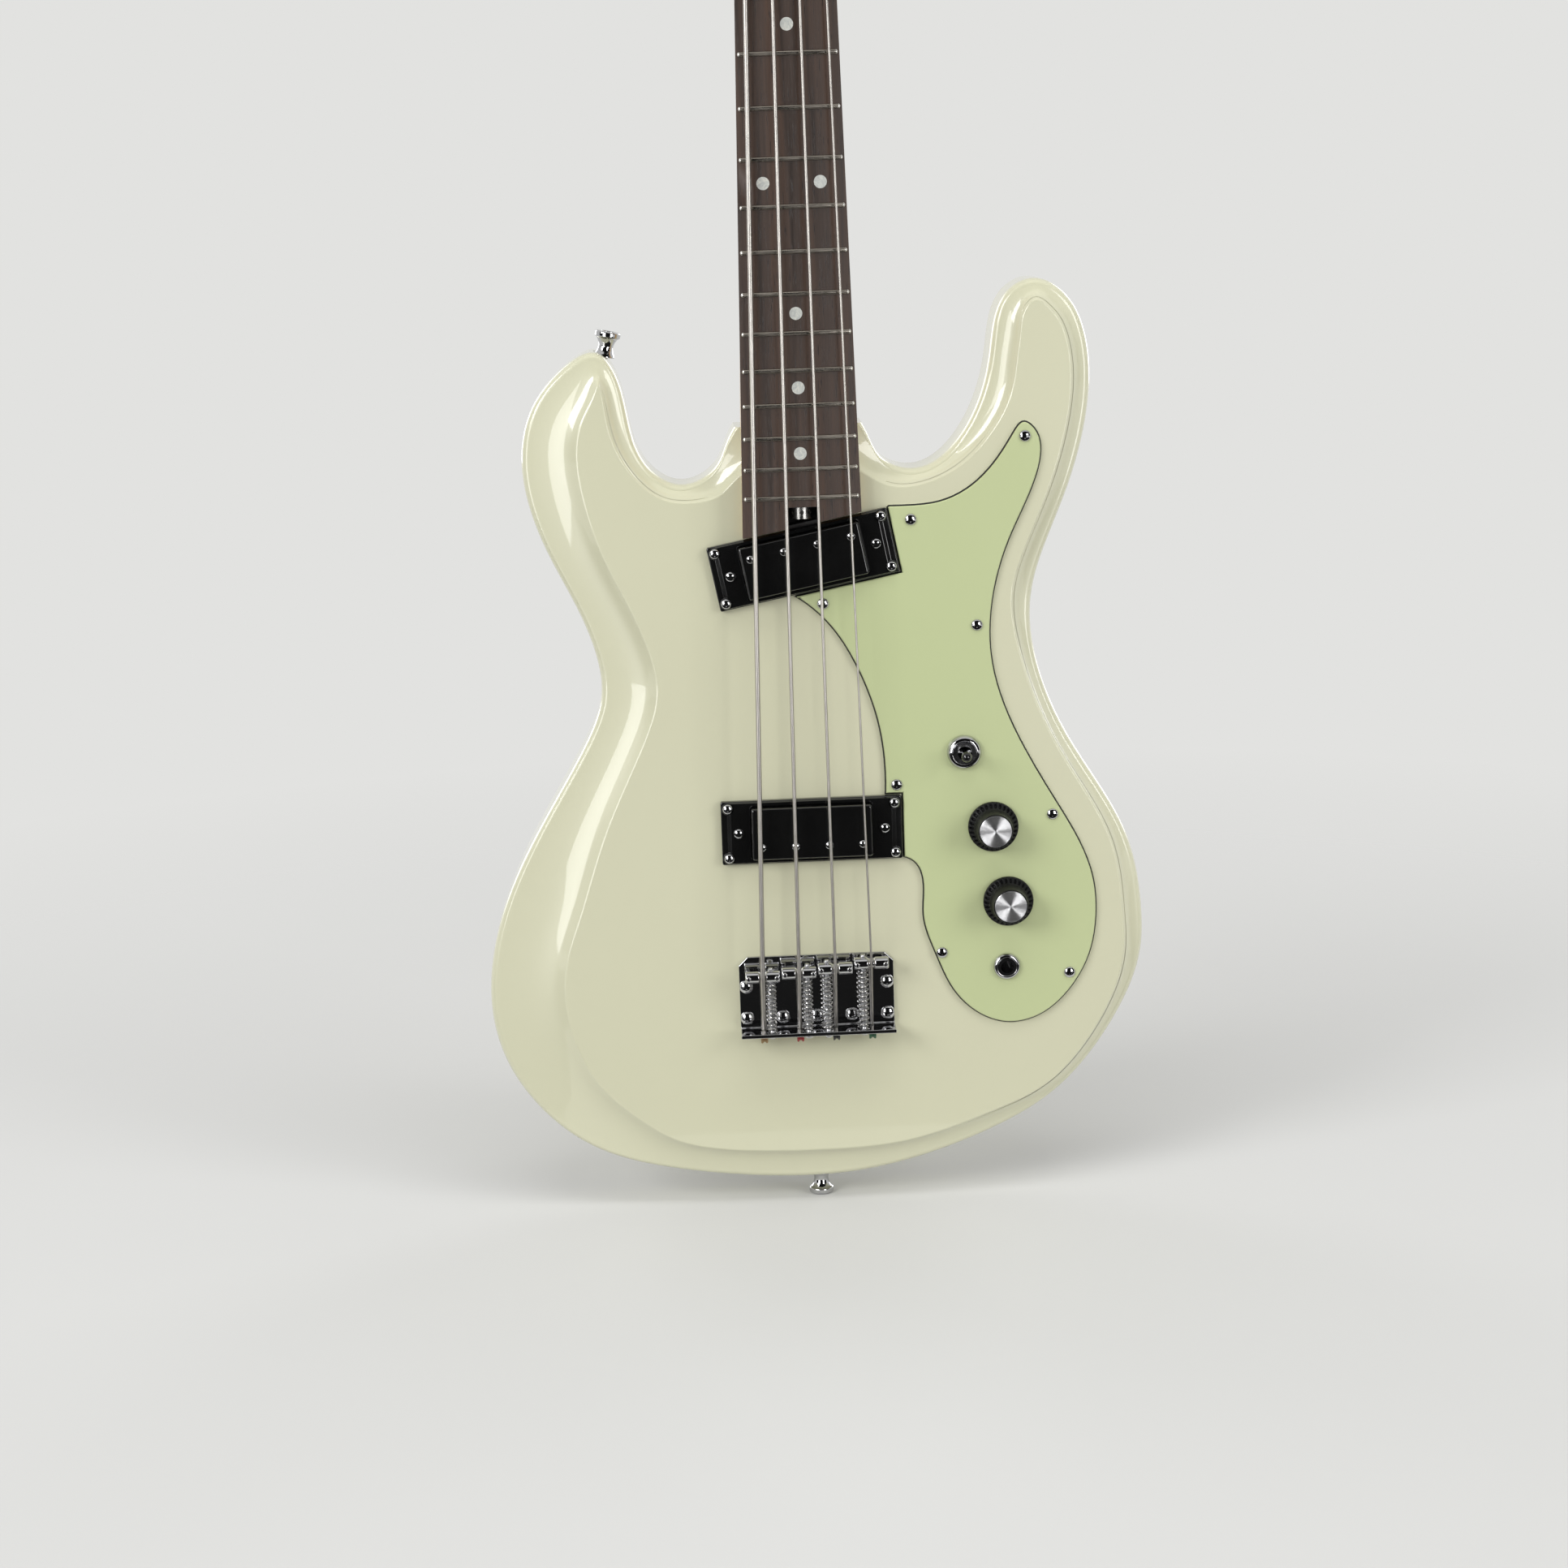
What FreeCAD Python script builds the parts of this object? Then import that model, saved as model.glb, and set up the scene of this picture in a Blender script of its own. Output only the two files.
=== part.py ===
import FreeCAD, Part
import math
import os

V = FreeCAD.Vector
os.makedirs("parts", exist_ok=True)

# Frame: +Z up the neck, front towards -Y, +X to the treble side.
# The origin is the middle of the rim of the tail strap button's head.
# Lengths are millimetres. "From the saddles" is height above the line through the bridge saddles.

# Body
BODY_THICKNESS = 40.0
TAIL_BELOW_SADDLES = 119.0
CARVE_DEPTH = 6.2
RIM_DEPTH = 11.0
RIM_ROUND = 3.2
BACK_ROUND = 4.0
BODY_HEEL_Z = 279.0
POCKET_DEPTH = 16.0
FIT = 0.02

# Neck and fingerboard
SCALE_LENGTH = 775.0
FRET_COUNT = 20
NUT_WIDTH = 38.0
BOARD_WIDTH_AT_LAST_FRET = 59.5
NECK_RISE = 4.5
BOARD_THICKNESS = 5.5
BOARD_RADIUS = 241.0
NECK_DEPTH_AT_NUT = 14.5
NECK_DEPTH_AT_HEEL = 17.5
NECK_ROUNDNESS = 2.4
NECK_SQUARENESS = 12.0
NECK_CARVE_SPARE = 2.0
HEEL_SHOULDER_LENGTH = 40.0
FRET_WIDTH = 2.4
FRET_HEIGHT = 1.1
FRET_TANG_WIDTH = 0.6
FRET_TANG_DEPTH = 1.6
FRET_END_INSET = 0.8
DOT_RADIUS = 3.2
DOT_DEPTH = 1.6
DOUBLE_DOT_SPREAD = 28.2
DOT_FRETS = (3, 5, 7, 9, 12, 15, 17, 19)
NUT_LENGTH = 5.0
NUT_COVER = 0.6

# Headstock
HEAD_LENGTH = 198.0
HEAD_DROP = 6.5
HEAD_THICKNESS = 13.0

# Truss rod
ROD_RADIUS = 2.5
ROD_DEPTH = 7.0
ROD_LENGTH = 520.0
ROD_RUN = 0.05
WHEEL_RADIUS = 5.6
WHEEL_LENGTH = 6.5
WHEEL_HOLE_RADIUS = 1.1
WHEEL_HOLES = 8
NOTCH_HALF_WIDTH = 8.0
NOTCH_LENGTH = 9.4
WHEEL_END_GAP = 0.4

# Strings, bass to treble
STRING_RADII = (1.3, 1.05, 0.85, 0.6)
STRING_SPACING_AT_BRIDGE = 18.8
STRING_SPACING_AT_NUT = 9.75
ACTION_AT_NUT = 0.5
ACTION_AT_BRIDGE = 3.9
STRING_GAP = 0.06
STRING_TURNS = 2
TURN_GAP = 0.5
WRAP_GAP = 0.3
BALL_RADIUS = 2.7
BALL_LENGTH = 3.6
STRING_BEND = 4.0
STRING_LEAD = 8.0

# Tuners
POST_X = 25.0
POST_ROWS = (62.0, 128.0)
POST_RADIUS = 4.0
POST_WAIST_RADIUS = 5.2
POST_WAIST_LENGTH = 11.6
POST_FLANGE_RADIUS = 7.0
POST_FLANGE = 1.5
POST_TOP = 3.0
POST_SLOT = 2.9
POST_RUN = 0.05
POST_ROOM = 1.0
POST_STEP = 1.0
BUSHING_RADIUS = 6.5
BUSHING_DEPTH = 7.0
BUSHING_FLANGE_RADIUS = 9.0
BUSHING_FLANGE = 1.5
TUNER_PLATE = 1.5
TUNER_PLATE_WIDTH = 26.0
TUNER_PLATE_BELOW = 24.0
TUNER_PLATE_ABOVE = 16.0
TUNER_SCREW_INSET = 3.4
GEAR_TEETH = 20
GEAR_MODULE = 0.8
GEAR_THICKNESS = 4.0
GEAR_HUB = 2.5
TOOTH_HEIGHT = 0.7
TOOTH_ROOT = 1.0
TOOTH_WIDTH = 0.85
WORM_PITCH_RADIUS = 3.0
WORM_TURNS = 4
KEY_RADIUS = 2.0
KEY_RUN = 0.05
THREAD_SINK = 0.3
EAR_THICKNESS = 2.0
EAR_GAP = 0.4
EAR_MARGIN = 2.2
KEY_REACH = 53.0
KEY_BUTTON_LENGTH = 22.0
KEY_BUTTON_WIDTH = 27.0
KEY_BUTTON_THICKNESS = 6.0

# String retainer bar
RETAINER_Z = 26.0
RETAINER_RADIUS = 2.6
RETAINER_HALF_SPAN = 22.0
RETAINER_RISE = 9.0
RETAINER_BEND = 3.6
RETAINER_FOOT = 2.5
RETAINER_FOOT_HALF_WIDTH = 3.4
RETAINER_FOOT_REACH = 10.5

# Bridge
BRIDGE_WIDTH = 80.5
BRIDGE_FRONT_Z = 5.2
BRIDGE_LENGTH = 40.0
BRIDGE_PLATE = 2.0
BRIDGE_LIP = 16.0
BRIDGE_CORNER = 4.5
BALL_HOLE_RISE = 6.0
SADDLE_RADIUS = 3.2
SADDLE_WIDTH = 18.0
SADDLE_GROOVE = 0.8
SADDLE_STAGGER = (-3.2, -1.4, 0.2, 1.9)
HEIGHT_SCREW_RADIUS = 1.25
HEIGHT_SCREW_OFFSET = 7.3
HEIGHT_SCREW_PROUD = 1.0
LENGTH_SCREW_RADIUS = 1.5
LENGTH_SCREW_OFFSET = 4.3
LENGTH_SCREW_HEAD_RADIUS = 2.5
LENGTH_SCREW_HEAD = 2.0
LENGTH_SCREW_PROUD = 2.0
SPRING_WIRE_RADIUS = 0.4
SPRING_GAP = 0.3
SPRING_CURLS = 12
BRIDGE_SCREW_XS = (-36.7, -18.0, 0.0, 18.0, 36.7)
BRIDGE_SCREW_ROW = 27.4
BRIDGE_FRONT_SCREW_ROW = 10.5
BRIDGE_FRONT_SCREW_X = 36.7
BRIDGE_SCREW_RADIUS = 1.9
BRIDGE_SCREW_LENGTH = 24.0
BRIDGE_SCREW_HEAD_RADIUS = 3.6
BRIDGE_SCREW_HEAD = 2.2

# Pickups
PICKUP_LENGTH = 93.0
PICKUP_WIDTH = 33.3
NECK_PICKUP_Z = 211.9
BRIDGE_PICKUP_Z = 71.7
NECK_PICKUP_SLANT = 10.8
PICKUP_RING_HEIGHT = 4.0
PICKUP_BEVEL = 1.0
COVER_LENGTH = 62.0
COVER_WIDTH = 27.0
COVER_HEIGHT = 9.0
COVER_WALL = 1.2
COVER_GAP = 0.3
COVER_ROUND = 1.2
COVER_DROP = 1.8
POLE_OFFSET = 6.9
POLE_RADIUS = 2.1
POLE_PROUD = 0.9
POLE_DEPTH = 9.0
POLE_SPACING = 17.3
COIL_MARGIN = 1.5
BASE_PLATE = 1.5
BASE_PLATE_LENGTH = 85.0
BASE_PLATE_WIDTH = 24.0
BASE_EAR_WIDTH = 12.0
MAGNET_THICKNESS = 3.0
MAGNET_WIDTH = 10.0
PICKUP_SCREW_INSET = 3.6
HEIGHT_ADJUST_INSET = 8.8
HEIGHT_ADJUST_RADIUS = 1.5
HEIGHT_ADJUST_LENGTH = 18.0
HEIGHT_ADJUST_HEAD_RADIUS = 2.6
HEIGHT_ADJUST_HEAD = 1.6
HEIGHT_ADJUST_RUN = 0.05
ROUT_MARGIN = 2.5
ROUT_DEPTH = 18.0
ROUT_SCREW_WALL = 1.2
BOARD_TO_PICKUP = 1.2

# Pickguard
GUARD_THICKNESS = 2.3
GUARD_GAP = 0.3
GUARD_SCREWS = (
    (113.5, 270.3), (54.9, 230.3), (9.3, 189.1), (87.4, 175.2),
    (44.4, 93.8), (124.5, 75.1), (65.8, 3.6), (132.2, -9.8),
)

# Controls, as x and height from the saddles
VOLUME_AT = (93.6, 70.0)
TONE_AT = (100.7, 30.1)
SWITCH_AT = (79.5, 109.6)
JACK_AT = (99.4, -5.1)
CAVITY_DEPTH = 33.0
KNOB_RADIUS = 13.0
KNOB_SKIRT = 3.4
KNOB_BARREL_RADIUS = 9.6
KNOB_TOP_RADIUS = 9.0
KNOB_HEIGHT = 13.5
KNOB_GAP = 0.6
KNOB_RECESS_RADIUS = 7.5
KNOB_RECESS = 5.0
CAP_RADIUS = 8.3
CAP_THICKNESS = 0.9
POT_CAN_RADIUS = 8.2
POT_CAN = 9.0
POT_BUSHING_RADIUS = 3.6
POT_BUSHING_PROUD = 3.6
POT_SHAFT_RADIUS = 3.0
POT_SHAFT_RUN = 0.05
POT_NUT_RADIUS = 5.6
POT_NUT = 2.0
SWITCH_BUSHING_RADIUS = 5.8
SWITCH_BUSHING_PROUD = 4.6
SWITCH_BORE_RADIUS = 3.6
SWITCH_NUT_RADIUS = 8.9
SWITCH_NUT = 3.6
SWITCH_PIVOT_DEPTH = 6.0
SWITCH_BODY_WIDTH = 14.0
SWITCH_BODY_DEPTH = 15.0
LEVER_RADIUS = 1.5
LEVER_REACH = 9.0
LEVER_TIP_RADIUS = 2.7
LEVER_PIN_RADIUS = 1.0
LEVER_PIN_RUN = 0.05
JACK_BORE_RADIUS = 3.25
JACK_THREAD_RADIUS = 4.7
JACK_BODY_RADIUS = 7.5
JACK_BODY_DEPTH = 18.0
JACK_PROUD = 2.6
JACK_NUT_RADIUS = 7.0
JACK_NUT = 2.2
WIRE_RADIUS = 0.8
WIRE_CHANNEL_RADIUS = 3.5
WIRE_DEPTH = 14.0
WIRE_BEND = 4.0
CHANNEL_X = 24.0
CHANNEL_OFFSET = 5.5

# Neck plate and larger screws
NECK_PLATE_WIDTH = 52.0
NECK_PLATE_HEIGHT = 40.0
NECK_PLATE = 1.6
NECK_PLATE_Z = 255.0
NECK_SCREW_X = 19.0
NECK_SCREW_Z = 13.0
NECK_SCREW_RADIUS = 2.2
NECK_SCREW_LENGTH = 38.0
NECK_SCREW_HEAD_RADIUS = 4.2
NECK_SCREW_HEAD = 2.0
NECK_PLATE_CORNER = 4.0

# Strap buttons
BUTTON_LENGTH = 13.0
BUTTON_RIM = 2.4
BUTTON_EDGE = 0.5
BUTTON_HEAD_RADIUS = 6.5
BUTTON_WAIST_RADIUS = 3.7
BUTTON_BASE_RADIUS = 5.5
BUTTON_SCREW_RADIUS = 2.0
BUTTON_SCREW_GRIP = 20.0
BUTTON_SCREW_HEAD = 2.4
BUTTON_SCREW_HEAD_RADIUS = 3.6
TAIL_SEAT_DEPTH = 0.3
HORN_SEAT_DEPTH = 1.4
BUTTON_SEAT_GAP = 0.4
HORN_BUTTON_AT = (-96.0, 317.0)
HORN_BUTTON_TILT = 12.0

# Small wood screws: pickguard, pickup rings, tuner plates and retainer
SMALL_SCREW_RADIUS = 1.4
SMALL_SCREW_LENGTH = 11.0
SMALL_SCREW_HEAD_RADIUS = 2.6
SMALL_SCREW_HEAD = 1.5

# Body outline: rim x and z, then the matching point of the plateau's edge, from the saddles
BODY_OUTLINE = (
    ("tail", 0, -119, 0, -102),
    ("tail treble", 56, -110, 50, -98),
    ("lower bout corner", 100, -93, 93, -84),
    ("lower bout turn", 136, -67, 128, -64),
    ("lower bout side", 168, -15, 159, -13),
    ("lower bout widest", 172, 20, 161, 22),
    ("lower bout top", 163, 64, 154, 63),
    ("waist below", 133, 117, 126, 115),
    ("waist", 116.5, 168, 107.5, 170),
    ("waist above", 120, 202, 108.5, 201),
    ("upper bout", 137, 245, 126, 244),
    ("horn outside", 148, 296, 138, 296),
    ("horn shoulder", 143.5, 328, 134, 324),
    ("horn crest", 134, 342, 128, 333),
    ("horn tip", 120.5, 348, 120.5, 338),
    ("horn turn", 107, 342, 114, 331),
    ("horn inside", 100, 328, 112, 320),
    ("horn throat", 97, 309, 110, 307),
    ("cutaway side", 90, 285, 104, 284),
    ("cutaway curve", 75, 263, 81, 257),
    ("cutaway floor", 58, 255, 57, 247.5),
    ("cutaway rise", 41, 262, 42, 249),
    ("neck corner treble", 31, 281, 30, 256),
    ("under neck", 0, 298, 0, 268),
    ("neck corner bass", -33, 278, -32, 254),
    ("bass cutaway rise", -42, 260, -43, 245),
    ("bass cutaway floor", -58, 251, -60, 243),
    ("bass cutaway curve", -73, 257, -76, 249),
    ("bass cutaway side", -83, 274, -91, 269),
    ("bass horn throat", -89, 303, -97, 294),
    ("bass horn tip", -100, 318.5, -99.5, 303),
    ("bass horn crest", -115, 313, -102.5, 297),
    ("bass horn outside", -133, 293, -109, 284),
    ("bass upper bout", -140, 262, -112, 262),
    ("bass upper bout low", -131, 223, -103.5, 223),
    ("bass waist above", -114, 186, -88, 188),
    ("bass waist", -105, 152, -77, 153),
    ("bass waist below", -111, 126, -82, 126),
    ("bass lower bout top", -140, 76, -105, 76),
    ("bass lower bout", -162, 30, -121, 30),
    ("bass widest", -170, -13, -131, -8),
    ("bass lower bout side", -161, -54, -121, -52),
    ("bass lower bout turn", -129, -92, -95, -81),
    ("bass tail", -81, -111, -65, -97),
)

# Pickguard outline from the saddles: the long outer run, then the curve between the pickups
GUARD_OUTER = (
    (44, 238), (57, 238), (70, 239.5), (86, 247), (99, 260), (107, 272), (113, 278), (119, 274),
    (122, 263), (119, 249), (105, 218), (96, 187), (95, 160), (101, 134), (112, 109), (127, 82),
    (139, 60), (146, 39), (147, 20), (143, -1), (132, -20), (116, -33), (99, -36), (85, -31),
    (71, -17), (62, 3), (56, 24), (56.5, 40), (54, 50), (47, 55),
)
GUARD_BEHIND_BRIDGE_PICKUP = (36, 70)
GUARD_INNER = ((38, 88), (38, 107), (35, 128), (27, 152), (15, 174), (-5, 193))
GUARD_BEHIND_NECK_PICKUP = (15, 215)

# Control cavity outline from the saddles
CAVITY_OUTLINE = (
    (62, 121), (96, 121), (116, 76), (123, 30), (119, -10), (104, -22), (86, -18), (76, 0),
    (74, 40), (66, 76),
)

# Headstock outline, right half, as half width and height above the nut
HEAD_OUTLINE = (
    (0.0, 0.0), (4.0, 14.0), (17.0, 34.0), (24.0, 58.0), (26.0, 110.0), (23.0, 160.0), (10.7, 189.1),
)

# Worked out from the sizes above
FRONT_Y = -BODY_THICKNESS / 2
BACK_Y = BODY_THICKNESS / 2
BUTTON_SEAT = BUTTON_LENGTH - BUTTON_EDGE - BUTTON_RIM / 2
SADDLE_Z = BUTTON_SEAT - TAIL_SEAT_DEPTH + TAIL_BELOW_SADDLES
NUT_Z = SADDLE_Z + SCALE_LENGTH
NECK_TOP_Y = FRONT_Y - NECK_RISE
CROWN_Y = NECK_TOP_Y - BOARD_THICKNESS
HEEL_Y = FRONT_Y + POCKET_DEPTH
HEAD_FACE_Y = NECK_TOP_Y + HEAD_DROP
HEAD_BACK_Y = HEAD_FACE_Y + HEAD_THICKNESS
GUARD_Y = FRONT_Y - GUARD_THICKNESS
PLATE_Y = FRONT_Y - BRIDGE_PLATE
RING_Y = FRONT_Y - PICKUP_RING_HEIGHT
LIP_Z = SADDLE_Z + BRIDGE_FRONT_Z - BRIDGE_LENGTH
ROD_Y = NECK_TOP_Y + ROD_DEPTH
FAR = 400.0
STRING_SIDES = (-1.5, -0.5, 0.5, 1.5)


def export(name, shape):
    """Write one node and say how many solids it has."""
    shape.exportStep("parts/%s.step" % name)
    print("%-24s solids %d volume %.1f valid %s" % (name, len(shape.Solids), shape.Volume, shape.isValid()))


def group(shapes):
    return Part.makeCompound(shapes)


def box(x0, x1, y0, y1, z0, z1):
    return Part.makeBox(x1 - x0, y1 - y0, z1 - z0, V(x0, y0, z0))


def rod(start, direction, radius, length):
    return Part.makeCylinder(radius, length, start, direction)


def place(shape, at, direction):
    """Move a piece made along +Z from the origin to start at a point and run along a direction."""
    moved = shape.copy()
    moved.Placement = FreeCAD.Placement(at, FreeCAD.Rotation(V(0, 0, 1), direction))
    return moved


def turned(profile, at, direction):
    """A turned piece from its half section, as radius and height."""
    points = [V(r, 0, h) for r, h in profile]
    face = Part.Face(Part.makePolygon(points + points[:1]))
    solid = face.revolve(V(0, 0, 0), V(0, 0, 1), 360)
    return place(solid, at, direction)


def front_face(points, y):
    """A flat face at one depth through straight-sided corners, as x and z."""
    corners = [V(x, y, z) for x, z in points]
    return Part.Face(Part.makePolygon(corners + corners[:1]))


def slab(points, y0, y1):
    return front_face(points, y0).extrude(V(0, y1 - y0, 0))


def from_saddles(points):
    return [(x, z + SADDLE_Z) for x, z in points]


def spline(points):
    curve = Part.BSplineCurve()
    curve.interpolate(points)
    return curve.toShape()


def screw(head_radius, head, radius, length, at, direction):
    """A cross-slotted screw whose shank runs from the seat along a direction."""
    profile = [
        (0, -head), (head_radius * 0.55, -head * 0.85), (head_radius * 0.9, -head * 0.45),
        (head_radius, 0), (radius, 0), (radius, length - radius), (0, length),
    ]
    body = turned(profile, V(0, 0, 0), V(0, 0, 1))
    arm = head_radius * 0.62
    width = head_radius * 0.14
    floor = -head * 0.45
    cross = [box(-arm, arm, -width, width, -head, floor), box(-width, width, -arm, arm, -head, floor)]
    return place(body.cut(cross), at, direction)


def board_half_width(height):
    """Half the fingerboard's width at a height above the saddles."""
    last = SCALE_LENGTH / 2 ** (FRET_COUNT / 12)
    slope = (BOARD_WIDTH_AT_LAST_FRET - NUT_WIDTH) / (SCALE_LENGTH - last)
    return (NUT_WIDTH + slope * (SCALE_LENGTH - height)) / 2


def fret_height(number):
    return SCALE_LENGTH / 2 ** (number / 12)


def crown_drop(x):
    """How far the crowned fingerboard falls away beside its middle line."""
    return BOARD_RADIUS - math.sqrt(BOARD_RADIUS ** 2 - x ** 2)


def pickup_point(u, v, y, middle, slant):
    """A point u along and v across a pickup."""
    a = math.radians(slant)
    return V(u * math.cos(a) - v * math.sin(a), y, SADDLE_Z + middle + u * math.sin(a) + v * math.cos(a))


def pickup_block(length, width, y0, y1, middle, slant):
    corners = [(-1, -1), (1, -1), (1, 1), (-1, 1)]
    points = [pickup_point(i * length / 2, j * width / 2, y0, middle, slant) for i, j in corners]
    face = Part.Face(Part.makePolygon(points + points[:1]))
    return face.extrude(V(0, y1 - y0, 0))


PICKUPS = (("neck", NECK_PICKUP_Z, NECK_PICKUP_SLANT, 1), ("bridge", BRIDGE_PICKUP_Z, 0.0, -1))


def pickup_screw_points(middle, slant, y):
    u = PICKUP_LENGTH / 2 - PICKUP_SCREW_INSET
    v = PICKUP_WIDTH / 2 - PICKUP_SCREW_INSET
    return [pickup_point(i * u, j * v, y, middle, slant) for i in (-1, 1) for j in (-1, 1)]


def height_adjust_points(middle, slant, y):
    u = PICKUP_LENGTH / 2 - HEIGHT_ADJUST_INSET
    return [pickup_point(i * u, 0, y, middle, slant) for i in (-1, 1)]


# Fastener places
def guard_screw_points():
    return [V(x, GUARD_Y, z) for x, z in from_saddles(GUARD_SCREWS)]


def bridge_screw_points():
    rear = [V(x, PLATE_Y, SADDLE_Z - BRIDGE_SCREW_ROW) for x in BRIDGE_SCREW_XS]
    front_z = SADDLE_Z - BRIDGE_FRONT_SCREW_ROW
    return rear + [V(i * BRIDGE_FRONT_SCREW_X, PLATE_Y, front_z) for i in (-1, 1)]


def neck_screw_points():
    z = SADDLE_Z + NECK_PLATE_Z
    return [V(i * NECK_SCREW_X, BACK_Y + NECK_PLATE, z + j * NECK_SCREW_Z) for i in (-1, 1) for j in (-1, 1)]


def small_screw(at, direction):
    return screw(
        SMALL_SCREW_HEAD_RADIUS, SMALL_SCREW_HEAD, SMALL_SCREW_RADIUS, SMALL_SCREW_LENGTH, at, direction)


def small_hole(at, direction):
    return rod(at, direction, SMALL_SCREW_RADIUS + FIT, SMALL_SCREW_LENGTH + FIT)


INTO_FRONT = V(0, 1, 0)
INTO_BACK = V(0, -1, 0)
UP = V(0, 0, 1)
DOWN = V(0, 0, -1)


# Strap buttons
def horn_direction():
    a = math.radians(HORN_BUTTON_TILT)
    return V(math.sin(a), 0, math.cos(a))


def horn_seat():
    x, z = HORN_BUTTON_AT
    return V(x, 0, z + SADDLE_Z) - horn_direction() * HORN_SEAT_DEPTH


BUTTON_SEATS = ((V(0, 0, BUTTON_SEAT), DOWN), (horn_seat(), horn_direction()))


def strap_button(at, direction):
    rim_start = BUTTON_LENGTH - BUTTON_EDGE - BUTTON_RIM
    bore = BUTTON_SCREW_RADIUS + FIT
    sink = BUTTON_SCREW_HEAD_RADIUS + FIT
    profile = [
        (bore, 0), (BUTTON_BASE_RADIUS, 0), (BUTTON_BASE_RADIUS * 0.94, 1.2),
        (BUTTON_WAIST_RADIUS * 1.12, 3.2), (BUTTON_WAIST_RADIUS, 5.4),
        (BUTTON_WAIST_RADIUS * 1.15, 7.6), (BUTTON_HEAD_RADIUS * 0.82, rim_start - 0.6),
        (BUTTON_HEAD_RADIUS, rim_start), (BUTTON_HEAD_RADIUS, rim_start + BUTTON_RIM),
        (BUTTON_HEAD_RADIUS - BUTTON_EDGE, BUTTON_LENGTH), (sink, BUTTON_LENGTH),
        (sink, BUTTON_LENGTH - BUTTON_SCREW_HEAD), (bore, BUTTON_LENGTH - BUTTON_SCREW_HEAD),
    ]
    return turned(profile, at, direction)


def strap_button_screw(at, direction):
    seat = at + direction * (BUTTON_LENGTH - BUTTON_SCREW_HEAD)
    length = BUTTON_LENGTH - BUTTON_SCREW_HEAD + BUTTON_SCREW_GRIP
    head = BUTTON_SCREW_HEAD * 0.8
    return screw(BUTTON_SCREW_HEAD_RADIUS, head, BUTTON_SCREW_RADIUS, length, seat, direction * -1)


export("strap_buttons", group([strap_button(at, way) for at, way in BUTTON_SEATS]))
export("strap_button_screws", group([strap_button_screw(at, way) for at, way in BUTTON_SEATS]))


# Body: a flat plateau, a hollowed carve down to a rounded rim, straight sides and a flat back
def outline_parameters():
    """Spacing along the rim, shared by every ring so that the rings line up."""
    total = [0.0]
    count = len(BODY_OUTLINE)
    for i in range(count):
        x0, z0 = BODY_OUTLINE[i][1:3]
        x1, z1 = BODY_OUTLINE[(i + 1) % count][1:3]
        total.append(total[-1] + math.sqrt(math.hypot(x1 - x0, z1 - z0)))
    return [t / total[-1] for t in total]


def body_ring(share, inset, depth):
    """A closed ring part of the way from plateau to rim, less an inset, at a depth below the plateau."""
    points = []
    for _, rim_x, rim_z, flat_x, flat_z in BODY_OUTLINE:
        width = math.hypot(rim_x - flat_x, rim_z - flat_z)
        t = share - inset / width
        x = flat_x + (rim_x - flat_x) * t
        z = flat_z + (rim_z - flat_z) * t
        points.append(V(x, FRONT_Y + depth, z + SADDLE_Z))
    curve = Part.BSplineCurve()
    curve.interpolate(Points=points, PeriodicFlag=True, Parameters=outline_parameters())
    return Part.Wire([curve.toShape()])


def body_block():
    carve = [
        body_ring(0.0, 0.0, 0.0), body_ring(0.11, 0.0, CARVE_DEPTH * 0.36),
        body_ring(0.28, 0.0, CARVE_DEPTH * 0.66), body_ring(0.55, 0.0, CARVE_DEPTH * 0.86),
        body_ring(1.0, RIM_ROUND, CARVE_DEPTH),
        body_ring(1.0, RIM_ROUND * 0.28, CARVE_DEPTH * 0.55 + RIM_DEPTH * 0.4),
        body_ring(1.0, 0.0, RIM_DEPTH),
    ]
    edge = [
        body_ring(1.0, 0.0, BODY_THICKNESS - BACK_ROUND),
        body_ring(1.0, BACK_ROUND * 0.3, BODY_THICKNESS - BACK_ROUND * 0.3),
        body_ring(1.0, BACK_ROUND, BODY_THICKNESS),
    ]
    faces = [Part.Face(carve[0]), Part.Face(edge[-1])]
    faces += Part.makeLoft(carve, False, False).Faces
    faces += Part.makeLoft([carve[-1], edge[0]], False, True).Faces
    faces += Part.makeLoft(edge, False, False).Faces
    shell = Part.makeShell(faces)
    shell.sewShape()
    solid = Part.Solid(shell.Shells[0] if shell.ShapeType == "Compound" else shell)
    if solid.Volume < 0:
        solid.reverse()
    return solid


def slant_cut(gap):
    """Everything below the slanted end of the fingerboard, beside the neck pickup."""
    near = PICKUP_WIDTH / 2 + gap
    corners = [(-FAR, -FAR), (FAR, -FAR), (FAR, near), (-FAR, near)]
    points = [pickup_point(u, v, -FAR, NECK_PICKUP_Z, NECK_PICKUP_SLANT) for u, v in corners]
    return Part.Face(Part.makePolygon(points + points[:1])).extrude(V(0, 2 * FAR, 0))


def neck_front(low, high, margin):
    """The tapering front view of the neck between two heights above the saddles."""
    a = board_half_width(low) + margin
    b = board_half_width(high) + margin
    return from_saddles([(-a, low), (a, low), (b, high), (-b, high)])


HEEL_LOW = NECK_PICKUP_Z - PICKUP_WIDTH


def pocket():
    high = BODY_HEEL_Z + HEEL_SHOULDER_LENGTH
    block = slab(neck_front(HEEL_LOW, high, FIT), FRONT_Y - NECK_RISE - BOARD_THICKNESS, HEEL_Y)
    return block.cut(slant_cut(BOARD_TO_PICKUP - FIT))


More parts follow.
